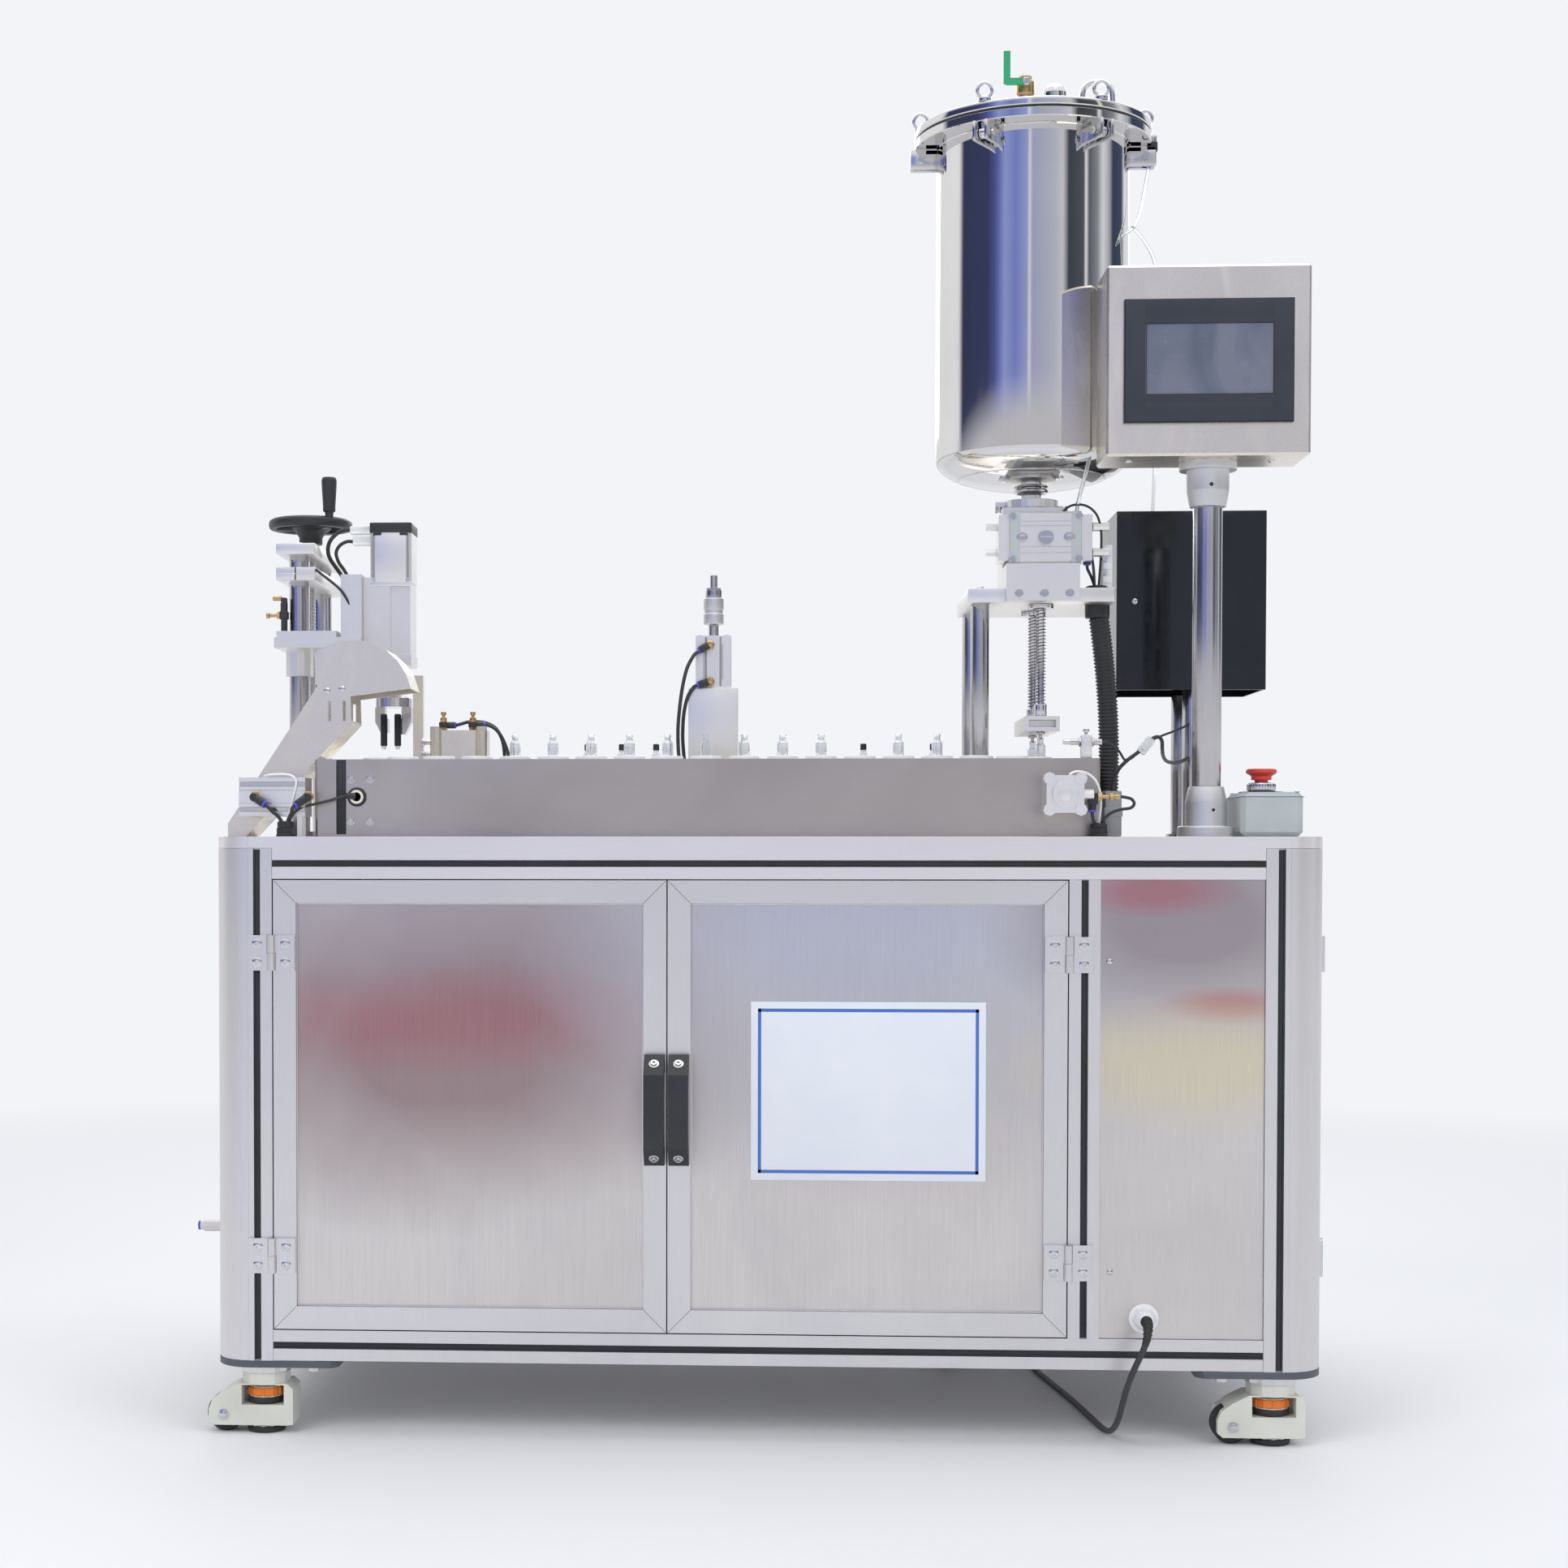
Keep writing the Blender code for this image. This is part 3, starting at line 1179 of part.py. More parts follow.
def caster_outline():
    """Side view of the caster housing about its swivel axis: (along, height)."""
    brow = CASTER_TOP - CASTER_NECK_HEIGHT
    return [
        (-CASTER_LEFT, CASTER_HEEL_Z), (-CASTER_LEFT, CASTER_CHEEK_Z),
        (-CASTER_SHOULDER_X, CASTER_SHOULDER_Z), (-CASTER_BROW_X, CASTER_BROW_Z),
        (-CASTER_NECK_RADIUS, brow), (CASTER_NECK_RADIUS, brow),
        (CASTER_RIGHT, brow - CASTER_NECK_HEIGHT / 2), (CASTER_RIGHT, CASTER_FOOT_Z + BITE),
        (CASTER_NECK_RADIUS, CASTER_FOOT_Z), (-CASTER_HEEL_X, CASTER_FOOT_Z),
    ]


def caster(corner, x, y):
    """Wheel housing that swivels, with its levelling pad and ring, and the wheel."""
    start = Vector((x, y - CASTER_HALF_WIDTH, 0))
    body = prism(
        [caster_outline()], 2 * CASTER_HALF_WIDTH, start, X_AXIS, Z_AXIS, Y_AXIS
    )
    neck_low = WINDOW_HIGH - BITE
    neck = cylinder(
        (x, y, neck_low), "Z", CASTER_TOP - neck_low, CASTER_NECK_RADIUS
    )
    window = box(
        (x - WINDOW_HALF, y - CASTER_HALF_WIDTH - OVERRUN, WINDOW_LOW),
        (x + WINDOW_HALF, y + CASTER_HALF_WIDTH + OVERRUN, WINDOW_HIGH - 2 * BITE),
    )
    axle_x = x - CASTER_TRAIL
    well_half = WHEEL_WIDTH / 2 + WHEEL_WELL_GAP
    well = cylinder(
        (axle_x, y - well_half, WHEEL_RADIUS), "Y", 2 * well_half, WHEEL_RADIUS + WHEEL_WELL_GAP
    )
    axle = cylinder(
        (axle_x, y - CASTER_HALF_WIDTH + BITE, WHEEL_RADIUS), "Y",
        2 * (CASTER_HALF_WIDTH - BITE), AXLE_RADIUS, COARSE_SIDES,
    )
    pad = cylinder((x, y, PAD_LIFT), "Z", PAD_HEIGHT, PAD_RADIUS)
    stem = cylinder(
        (x, y, PAD_LIFT + PAD_HEIGHT / 2), "Z", WINDOW_HIGH - PAD_LIFT - PAD_HEIGHT / 2,
        STEM_RADIUS, COARSE_SIDES,
    )
    ring = cylinder((x, y, RING_LOW), "Z", RING_HIGH - RING_LOW, RING_RADIUS)
    fuse(body, neck)
    carve(body, window, well)
    fuse(body, axle, pad, stem, ring)
    keep(body, f"caster_{corner}", CREAM_PAINT, (x, y, 0))
    half = WHEEL_WIDTH / 2
    edge = WHEEL_RADIUS - WHEEL_CHAMFER
    bore = AXLE_RADIUS + SLIDE_FIT
    profile = [
        (edge, half), (WHEEL_RADIUS, half - WHEEL_CHAMFER), (WHEEL_RADIUS, WHEEL_CHAMFER - half),
        (edge, -half), (bore, -half), (bore, half),
    ]
    wheel = turned(profile, (axle_x, y, WHEEL_RADIUS), "Y", ROUND_SIDES, closed=True)
    keep(wheel, f"caster_wheel_{corner}", BLACK_RUBBER, (axle_x, y, WHEEL_RADIUS))


def track_point(distance):
    """Point on the puck track, measured from the left end of the front straight."""
    corner = math.pi * TRACK_RADIUS / 2
    lengths = [STRAIGHT_X, corner, STRAIGHT_Y, corner] * 2
    distance %= TRACK_LENGTH
    position = Vector((TRACK_LEFT + TRACK_RADIUS, TRACK_FRONT, 0))
    heading = 0.0
    for index, length in enumerate(lengths):
        run = min(distance, length)
        ahead = Vector((math.cos(heading), math.sin(heading), 0))
        left = Vector((-ahead.y, ahead.x, 0))
        if index % 2 == 0:
            position = position + ahead * run
        else:
            angle = run / TRACK_RADIUS
            position = (
                position + ahead * TRACK_RADIUS * math.sin(angle)
                + left * TRACK_RADIUS * (1 - math.cos(angle))
            )
            heading += angle
        distance -= run
        if distance <= 0:
            break
    return position


def puck_places():
    """The first puck stands under the front nozzle."""
    first = STRAIGHT_X + math.pi * TRACK_RADIUS / 2 + NOZZLE_FRONT_Y - TRACK_FRONT - TRACK_RADIUS
    return [track_point(first + index * PUCK_PITCH) for index in range(PUCK_COUNT)]


def track_outline(offset):
    low = (TRACK_LEFT - offset, TRACK_FRONT - offset)
    high = (TRACK_RIGHT + offset, TRACK_FRONT + TRACK_DEPTH + offset)
    return rounded_rectangle(low, high, TRACK_RADIUS + offset, ARC_STEPS + 1)


def puck_chain():
    """Bored pucks on one endless link band."""
    base_z = DECK_TOP + SEAT_GAP
    band = prism(
        [track_outline(LINK_HALF_WIDTH), track_outline(-LINK_HALF_WIDTH)], LINK_THICKNESS,
        Vector((0, 0, base_z + BITE)), X_AXIS, Y_AXIS, Z_AXIS,
    )
    pucks = []
    bores = []
    for place in puck_places():
        foot = place + Z_AXIS * base_z
        pucks.append(cylinder(foot, "Z", PUCK_HEIGHT, PUCK_RADIUS, PUCK_SIDES))
        bores.append(cylinder(
            foot + Z_AXIS * (PUCK_HEIGHT - PUCK_BORE_DEPTH), "Z", PUCK_BORE_DEPTH + OVERRUN,
            PUCK_BORE_RADIUS, PUCK_BORE_SIDES,
        ))
    fuse(band, merged(pucks, "pucks"))
    carve(band, merged(bores, "puck_bores"))
    keep(band, "puck_chain", WHITE_PLASTIC)


def conveyor_skirt():
    low_z = TABLE_TOP + SEAT_GAP
    outer = rounded_rectangle(
        (SKIRT_LEFT, SKIRT_FRONT), (SKIRT_RIGHT, SKIRT_REAR), SKIRT_RADIUS, 2
    )
    inner = rounded_rectangle(
        (SKIRT_LEFT + SKIRT_SHEET, SKIRT_FRONT + SKIRT_SHEET),
        (SKIRT_RIGHT - SKIRT_SHEET, SKIRT_REAR - SKIRT_SHEET), SKIRT_RADIUS - SKIRT_SHEET, 2,
    )
    skirt = prism([outer, inner], SKIRT_HEIGHT, Vector((0, 0, low_z)), X_AXIS, Y_AXIS, Z_AXIS)
    slot = box(
        (SKIRT_SLOT_LEFT, SKIRT_FRONT - OVERRUN, low_z + SKIRT_SLOT_SILL),
        (SKIRT_SLOT_RIGHT, SKIRT_FRONT + SKIRT_SHEET + OVERRUN, low_z + SKIRT_HEIGHT + OVERRUN),
    )
    keep(carve(skirt, slot), "conveyor_skirt", STEEL)


def conveyor_deck():
    """Slide plate for the pucks, the raised island inside their loop, and its legs."""
    inset = SKIRT_SHEET + SEAT_GAP
    low = (SKIRT_LEFT + inset, SKIRT_FRONT + inset)
    high = (SKIRT_RIGHT - inset, SKIRT_REAR - inset)
    plate_z = DECK_TOP - DECK_THICKNESS
    plate = prism(
        [rounded_rectangle(low, high, SKIRT_RADIUS, 2)], DECK_THICKNESS,
        Vector((0, 0, plate_z)), X_AXIS, Y_AXIS, Z_AXIS,
    )
    inner = -(PUCK_RADIUS + ISLAND_GAP)
    island = prism(
        [track_outline(inner)], ISLAND_RISE + BITE, Vector((0, 0, DECK_TOP - BITE)), X_AXIS,
        Y_AXIS, Z_AXIS,
    )
    legs = []
    floor_z = TABLE_TOP + SEAT_GAP
    middle_x = (SKIRT_LEFT + SKIRT_RIGHT) / 2
    for x in (SKIRT_LEFT + DECK_LEG_INSET, middle_x, SKIRT_RIGHT - DECK_LEG_INSET):
        for y in (SKIRT_FRONT + DECK_LEG_INSET, SKIRT_REAR - DECK_LEG_INSET):
            legs.append(cylinder(
                (x, y, floor_z), "Z", plate_z + BITE - floor_z, DECK_LEG_RADIUS, COARSE_SIDES
            ))
    clamp = box(
        (CLAMP_X - CLAMP_LENGTH / 2, CLAMP_Y, ISLAND_TOP - BITE),
        (CLAMP_X + CLAMP_LENGTH / 2, CLAMP_Y + CLAMP_DEPTH, ISLAND_TOP + CLAMP_HEIGHT),
    )
    guides = [
        cylinder(
            (CLAMP_X + way * (CLAMP_LENGTH / 2 - CLAMP_GUIDE_RADIUS), CLAMP_Y,
             ISLAND_TOP - BITE),
            "Z", CLAMP_GUIDE_HEIGHT, CLAMP_GUIDE_RADIUS, COARSE_SIDES,
        )
        for way in (-1, 1)
    ]
    backstop = box(
        (BACKSTOP_X - BACKSTOP_WIDTH / 2, BACKSTOP_Y, ISLAND_TOP - BITE),
        (BACKSTOP_X + BACKSTOP_WIDTH / 2, BACKSTOP_Y + BACKSTOP_DEPTH,
         ISLAND_TOP + BACKSTOP_HEIGHT),
    )
    fuse(plate, island, merged(legs, "deck_legs"), clamp, *guides, backstop)
    keep(plate, "conveyor_deck", ALUMINIUM)


def fill_stand():
    plate = box(
        (FILL_PLATE_LEFT, FILL_PLATE_FRONT, FILL_PLATE_Z),
        (FILL_PLATE_RIGHT, FILL_PLATE_REAR, FILL_PLATE_Z + FILL_PLATE_THICKNESS),
    )
    low_z = ISLAND_TOP + SEAT_GAP
    for y in FILL_COLUMN_YS:
        column = cylinder(
            (FILL_COLUMN_X, y, low_z), "Z", FILL_PLATE_Z + BITE - low_z, FILL_COLUMN_RADIUS
        )
        foot = cylinder((FILL_COLUMN_X, y, low_z), "Z", FILL_FOOT_HEIGHT, FILL_FOOT_RADIUS)
        fuse(plate, column, foot)
    keep(plate, "fill_stand", STEEL)


def valve_block():
    """Front apron, base block, the tower up to the tank and its clamped ferrule."""
    base_z = FILL_PLATE_Z + FILL_PLATE_THICKNESS + SEAT_GAP
    top_z = base_z + VALVE_HEIGHT
    apron_rear = FILL_PLATE_FRONT - SEAT_GAP
    outline = [
        (VALVE_FRONT, FILL_PLATE_Z), (apron_rear, FILL_PLATE_Z), (apron_rear, base_z),
        (VALVE_REAR, base_z), (VALVE_REAR, top_z), (VALVE_FRONT, top_z),
    ]
    start = Vector((VALVE_LEFT, 0, 0))
    block = prism([outline], VALVE_RIGHT - VALVE_LEFT, start, Y_AXIS, Z_AXIS, X_AXIS)
    tower_low = top_z - BITE
    tower = box(
        (TANK_X - TOWER_HALF_WIDTH, TANK_Y - TOWER_DEPTH / 2, tower_low),
        (TANK_X + TOWER_HALF_WIDTH, TANK_Y + TOWER_DEPTH / 2, FERRULE_Z + BITE),
    )
    ferrule = cylinder(
        (TANK_X, TANK_Y, FERRULE_Z), "Z", FERRULE_HEIGHT, FERRULE_RADIUS, FINE_SIDES
    )
    nut_x = TANK_X - FERRULE_RADIUS
    nut = box(
        (nut_x - FERRULE_NUT_LENGTH / 2, TANK_Y - FERRULE_NUT_RADIUS, FERRULE_Z + BITE),
        (nut_x + FERRULE_NUT_LENGTH / 2, TANK_Y + FERRULE_NUT_RADIUS,
         FERRULE_Z + FERRULE_HEIGHT - BITE),
    )
    seat = cylinder(
        (TANK_X, TANK_Y, FERRULE_Z + FERRULE_SEAT), "Z", FERRULE_HEIGHT,
        OUTLET_RADIUS + SEAT_GAP, FINE_SIDES,
    )
    socket = cylinder(
        (SPINDLE_X, TANK_Y - TOWER_DEPTH / 2 - OVERRUN, spindle_z()), "Y",
        SPINDLE_SOCKET + OVERRUN, SPINDLE_RADIUS + SLIDE_FIT,
    )
    fuse(block, tower, ferrule, nut)
    keep(carve(block, seat, socket), "valve_block", ALUMINIUM)


def actuator_low():
    return FILL_PLATE_Z + FILL_PLATE_THICKNESS + VALVE_HEIGHT + 2 * SEAT_GAP


def spindle_z():
    return actuator_low() + ACTUATOR_HEIGHT / 2


def actuator_rear():
    return TANK_Y - TOWER_DEPTH / 2 - SEAT_GAP


def rotary_actuator():
    """Rack and pinion body with end caps, stop screws and speed controllers."""
    low = actuator_low()
    rear = actuator_rear()
    front = rear - ACTUATOR_DEPTH
    body = box(
        (ACTUATOR_LEFT, front, low), (ACTUATOR_RIGHT, rear, low + ACTUATOR_HEIGHT),
        ACTUATOR_BEVEL,
    )
    for x in (ACTUATOR_LEFT - ENDCAP_LENGTH, ACTUATOR_RIGHT - BITE):
        fuse(body, box(
            (x, front + ENDCAP_INSET, low + ENDCAP_INSET),
            (x + ENDCAP_LENGTH + BITE, rear - ENDCAP_INSET, low + ACTUATOR_HEIGHT - ENDCAP_INSET),
        ))
    middle_y = (front + rear) / 2
    for way in (-1, 1):
        z = spindle_z() + way * STOP_SCREW_SPREAD
        left = ACTUATOR_LEFT - ENDCAP_LENGTH - STOP_SCREW_LENGTH
        right = ACTUATOR_RIGHT + ENDCAP_LENGTH - BITE
        fuse(
            body,
            cylinder((left, middle_y, z), "X", STOP_SCREW_LENGTH + BITE, STOP_SCREW_RADIUS, 6),
            cylinder((right, middle_y, z), "X", SPEED_LENGTH, SPEED_RADIUS, COARSE_SIDES),
        )
    bore = cylinder(
        (SPINDLE_X, front - OVERRUN, spindle_z()), "Y", ACTUATOR_DEPTH + 2 * OVERRUN,
        SPINDLE_RADIUS + SLIDE_FIT,
    )
    keep(carve(body, bore), "rotary_actuator", ALUMINIUM)
    head_y = front - SEAT_GAP - SPINDLE_HEAD
    shaft_end = rear + SPINDLE_SOCKET - SEAT_GAP
    spindle = cylinder(
        (SPINDLE_X, head_y, spindle_z()), "Y", SPINDLE_HEAD, SPINDLE_HEAD_RADIUS
    )
    shaft = cylinder(
        (SPINDLE_X, head_y + SPINDLE_HEAD / 2, spindle_z()), "Y",
        shaft_end - head_y - SPINDLE_HEAD / 2, SPINDLE_RADIUS,
    )
    flat = box(
        (SPINDLE_X - SPINDLE_HEAD_RADIUS, head_y - OVERRUN, spindle_z() + SPINDLE_RADIUS),
        (SPINDLE_X + SPINDLE_HEAD_RADIUS, head_y + SPINDLE_HEAD / 2,
         spindle_z() + SPINDLE_HEAD_RADIUS + OVERRUN),
    )
    keep(
        carve(fuse(spindle, shaft), flat), "actuator_spindle", STEEL,
        (SPINDLE_X, front, spindle_z()),
    )


def nozzle_spots():
    return [Vector((TRACK_RIGHT, NOZZLE_FRONT_Y + step * PUCK_PITCH, 0)) for step in (0, 2)]


def filling_nozzles():
    """Two tubes on one flange; their collars keep the bottle guide from dropping."""
    top = FILL_PLATE_Z - SEAT_GAP
    front, rear = nozzle_spots()
    half = NOZZLE_FLANGE_HALF
    flange = box(
        (front.x - half, front.y - NOZZLE_FLANGE_MARGIN, top - NOZZLE_FLANGE),
        (rear.x + half, rear.y + NOZZLE_FLANGE_MARGIN, top),
    )
    collar_top = GUIDE_Z - SEAT_GAP
    collar_low = collar_top - NOZZLE_COLLAR
    tip_low = collar_low - NOZZLE_TIP_LENGTH
    for spot in (front, rear):
        profile = [
            (0, top - BITE), (NOZZLE_RADIUS, top - BITE), (NOZZLE_RADIUS, collar_top),
            (NOZZLE_COLLAR_RADIUS, collar_top), (NOZZLE_COLLAR_RADIUS, collar_low),
            (NOZZLE_TIP_RADIUS, collar_low), (NOZZLE_TIP_RADIUS, tip_low), (0, tip_low),
        ]
        fuse(flange, turned(profile, spot, "Z", COARSE_SIDES))
    keep(flange, "filling_nozzles", STEEL)


def bottle_guide():
    """C-section plate with two bushes that slide on the nozzles."""
    front, rear = nozzle_spots()
    left = front.x - GUIDE_HALF_WIDTH
    right = front.x + GUIDE_HALF_WIDTH
    high_z = GUIDE_Z + GUIDE_HEIGHT
    plate = box((left, front.y - GUIDE_MARGIN, GUIDE_Z), (right, rear.y + GUIDE_MARGIN, high_z))
    pocket = box(
        (left + GUIDE_WALL, front.y - GUIDE_MARGIN - OVERRUN, GUIDE_Z + GUIDE_WALL),
        (right - GUIDE_WALL, front.y - BUSH_RADIUS, high_z - GUIDE_WALL),
    )
    for spot in (front, rear):
        fuse(plate, cylinder(
            (spot.x, spot.y, high_z - BITE), "Z", BUSH_HEIGHT + BITE, BUSH_RADIUS
        ))
    carve(plate, pocket)
    for spot in (front, rear):
        carve(plate, cylinder(
            (spot.x, spot.y, GUIDE_Z - OVERRUN), "Z",
            GUIDE_HEIGHT + BUSH_HEIGHT + 2 * OVERRUN, NOZZLE_RADIUS + GUIDE_FIT,
        ))
    keep(plate, "bottle_guide", STEEL, (front.x, front.y, GUIDE_Z))


def dish(radius, depth, outlet):
    """Half of an elliptical tank end, from its rim down to the outlet."""
    last = math.acos(outlet / radius)
    angles = [last * step / DISH_STEPS for step in range(DISH_STEPS + 1)]
    return [
        (radius * math.cos(angle), DISH_RIM_Z - depth * math.sin(angle)) for angle in angles
    ]


def tank_floor_z():
    return FERRULE_Z + FERRULE_SEAT + SEAT_GAP


def swing_angles():
    return [math.radians(360 * index / SWING_BOLTS - 60) for index in range(SWING_BOLTS)]


def radial_box(angle, reach, half_width, low_z, high_z, offset=0.0):
    """A box that stands along a radius of the tank; reach is its (start, end) radius."""
    tool = box((reach[0], offset - half_width, low_z), (reach[1], offset + half_width, high_z))
    place = Matrix.Translation((TANK_X, TANK_Y, 0)) @ Matrix.Rotation(angle, 4, "Z")
    tool.data.transform(place)
    return tool


def tank_body():
    """Open vessel with a dished bottom, outlet, slotted flange and clevis ears."""
    inner = TANK_RADIUS - TANK_WALL
    bore = OUTLET_RADIUS - OUTLET_WALL
    flange_low = TANK_RIM_Z - TANK_FLANGE
    outer_side = [
        (TANK_FLANGE_RADIUS, TANK_RIM_Z), (TANK_FLANGE_RADIUS, flange_low),
        (TANK_RADIUS, flange_low), *dish(TANK_RADIUS, DISH_DEPTH, OUTLET_RADIUS),
        (OUTLET_RADIUS, tank_floor_z()),
    ]
    inner_side = [(inner, TANK_RIM_Z), *dish(inner, DISH_DEPTH - TANK_WALL, bore)]
    profile = outer_side + [(bore, tank_floor_z())] + inner_side[::-1]
    tank = turned(profile, (TANK_X, TANK_Y, 0), "Z", FINE_SIDES, closed=True)
    ears = []
    slots = []
    offset = (CLEVIS_GAP + CLEVIS_EAR) / 2
    for angle in swing_angles():
        for way in (-1, 1):
            ears.append(radial_box(
                angle, (TANK_RADIUS - BITE, TANK_RADIUS + CLEVIS_REACH), CLEVIS_EAR / 2,
                flange_low - CLEVIS_HEIGHT, flange_low + BITE, way * offset,
            ))
        slots.append(radial_box(
            angle, (FLANGE_SLOT_START, TANK_FLANGE_RADIUS + OVERRUN), FLANGE_SLOT / 2,
            flange_low - OVERRUN, TANK_RIM_Z + OVERRUN,
        ))
    fuse(tank, merged(ears, "clevis_ears"))
    keep(carve(tank, merged(slots, "flange_slots")), "tank_body", POLISHED_STEEL)


def swing_bolt(angle):
    """Eye, shank and eye nut of one clamping bolt."""
    low_z = TANK_RIM_Z - SWING_DROP
    lid_top = TANK_RIM_Z + SEAT_GAP + GASKET_THICKNESS + LID_THICKNESS
    nut_z = lid_top + EYE_NUT_RISE
    shapes = [
        cylinder((SWING_RADIUS, 0, low_z), "Z", nut_z - EYE_NUT_RADIUS - low_z + 2 * BITE,
                 SWING_BOLT_RADIUS, COARSE_SIDES),
        cylinder((SWING_RADIUS, -SWING_EYE_WIDTH / 2, low_z), "Y", SWING_EYE_WIDTH,
                 SWING_EYE_RADIUS, COARSE_SIDES),
        cylinder((SWING_RADIUS, 0, lid_top - BITE), "Z", EYE_NUT_BASE + BITE,
                 EYE_NUT_BASE_RADIUS, 8),
        cylinder((SWING_RADIUS, -EYE_NUT_WIDTH / 2, nut_z), "Y", EYE_NUT_WIDTH,
                 EYE_NUT_RADIUS, COARSE_SIDES),
    ]
    hole = cylinder((SWING_RADIUS, -EYE_NUT_WIDTH, nut_z), "Y", 2 * EYE_NUT_WIDTH,
                    EYE_NUT_HOLE, COARSE_SIDES)
    place = Matrix.Translation((TANK_X, TANK_Y, 0)) @ Matrix.Rotation(angle, 4, "Z")
    for tool in (*shapes, hole):
        tool.data.transform(place)
    return shapes, hole


def lid_fittings(lid_top):
    """Vent valve, sight dome and lifting bail."""
    valve_top = lid_top + LID_VALVE_HEIGHT
    waist = valve_top - LID_VALVE_BODY
    neck = LID_VALVE_BODY / 6
    valve = turned(
        [
            (0, valve_top), (LID_PIPE_RADIUS, valve_top), (LID_PIPE_RADIUS, valve_top - neck),
            (LID_VALVE_RADIUS, valve_top - 2 * neck), (LID_VALVE_RADIUS, waist + neck),
            (LID_PIPE_RADIUS, waist), (LID_PIPE_RADIUS, lid_top - BITE), (0, lid_top - BITE),
        ],
        (LID_VALVE_X, LID_VALVE_Y, 0), "Z", COARSE_SIDES,
    )
    spindle = cylinder(
        (LID_VALVE_X, LID_VALVE_Y - LEVER_SPINDLE_LENGTH, lever_z()), "Y",
        LEVER_SPINDLE_LENGTH, LEVER_SPINDLE_RADIUS, COARSE_SIDES,
    )
    crown = SIGHT_RADIUS / 2
    sight = turned(
        [
            (0, lid_top + SIGHT_HEIGHT), (crown, lid_top + SIGHT_HEIGHT - crown / 4),
            (SIGHT_RADIUS, lid_top + SIGHT_HEIGHT - crown), (SIGHT_RADIUS, lid_top - BITE),
            (0, lid_top - BITE),
        ],
        (SIGHT_X, SIGHT_Y, 0), "Z",
    )
    top = lid_top + BAIL_HEIGHT
    corner = 3 * BAIL_RADIUS
    bail = tube(
        [
            (BAIL_LEFT, TANK_Y, lid_top - BITE), (BAIL_LEFT, TANK_Y, top - corner),
            (BAIL_LEFT + corner / 3, TANK_Y, top - corner / 3), (BAIL_LEFT + corner, TANK_Y, top),
            (BAIL_RIGHT - corner, TANK_Y, top), (BAIL_RIGHT - corner / 3, TANK_Y, top - corner / 3),
            (BAIL_RIGHT, TANK_Y, top - corner), (BAIL_RIGHT, TANK_Y, lid_top - BITE),
        ],
        BAIL_RADIUS,
    )
    return [valve, spindle, sight, bail]


def lid_top_z():
    return TANK_RIM_Z + SEAT_GAP + GASKET_THICKNESS + LID_THICKNESS


def lever_z():
    return lid_top_z() + LID_VALVE_HEIGHT - LID_VALVE_BODY / 2


def tank_lid():
    """Gasketed lid plate with its six clamping bolts."""
    low_z = TANK_RIM_Z + SEAT_GAP
    plate_z = low_z + GASKET_THICKNESS
    top = lid_top_z()
    lid = turned(
        [
            (0, top), (TANK_FLANGE_RADIUS - LID_CHAMFER, top),
            (TANK_FLANGE_RADIUS, top - LID_CHAMFER), (TANK_FLANGE_RADIUS, plate_z),
            (GASKET_RADIUS, plate_z), (GASKET_RADIUS, low_z), (0, low_z),
        ],
        (TANK_X, TANK_Y, 0), "Z", FINE_SIDES,
    )
    holes = []
    for angle in swing_angles():
        shapes, hole = swing_bolt(angle)
        fuse(lid, *shapes)
        holes.append(hole)
    fuse(lid, *lid_fittings(top))
    carve(lid, merged(holes, "eye_nut_holes"))
    keep(lid, "tank_lid", POLISHED_STEEL, (TANK_X, TANK_Y, TANK_RIM_Z))
    half = LEVER_WIDTH / 2
    hub_y = LID_VALVE_Y - LEVER_SPINDLE_LENGTH + BITE
    elbow = -LEVER_REACH
    outline = [
        (half, -half), (half, half), (elbow + half, half), (elbow + half, LEVER_RISE),
        (elbow - half, LEVER_RISE), (elbow - half, -half / 2), (elbow, -half),
    ]
    lever = prism(
        [outline], LEVER_THICKNESS, (LID_VALVE_X, hub_y, lever_z()), X_AXIS, Z_AXIS, Y_AXIS
    )
    bore = cylinder(
        (LID_VALVE_X, hub_y - OVERRUN, lever_z()), "Y", LEVER_THICKNESS + 2 * OVERRUN,
        LEVER_SPINDLE_RADIUS + SLIDE_FIT, COARSE_SIDES,
    )
    keep(
        carve(lever, bore), "lid_valve_lever", GREEN_PLASTIC, (LID_VALVE_X, hub_y, lever_z())
    )


def pump_station():
    """Black cover over the dosing pump's base plate, on two columns."""
    cover = box((PUMP_LEFT, PUMP_FRONT, PUMP_LOW), (PUMP_RIGHT, PUMP_REAR, PUMP_HIGH))
    depth = 2 * PUMP_BASE
    hollow = box(
        (PUMP_LEFT + PUMP_WALL, PUMP_FRONT + PUMP_WALL, PUMP_LOW - OVERRUN),
        (PUMP_RIGHT - PUMP_WALL, PUMP_REAR - PUMP_WALL, PUMP_LOW + depth),
    )
    keep(carve(cover, hollow), "pump_cover", GLOSS_BLACK)
    inset = PUMP_WALL + SEAT_GAP
    plate_high = PUMP_LOW + depth - SEAT_GAP
    stand = box(
        (PUMP_LEFT + inset, PUMP_FRONT + inset, plate_high - PUMP_BASE),
        (PUMP_RIGHT - inset, PUMP_REAR - inset, plate_high),
    )
    low_z = TABLE_TOP + SEAT_GAP
    for y in PUMP_COLUMN_YS:
        fuse(
            stand,
            cylinder((PUMP_COLUMN_X, y, low_z), "Z", plate_high - BITE - low_z,
                     PUMP_COLUMN_RADIUS),
            cylinder((PUMP_COLUMN_X, y, low_z), "Z", PUMP_FOOT_HEIGHT, PUMP_FOOT_RADIUS),
        )
    keep(stand, "pump_stand", STEEL)


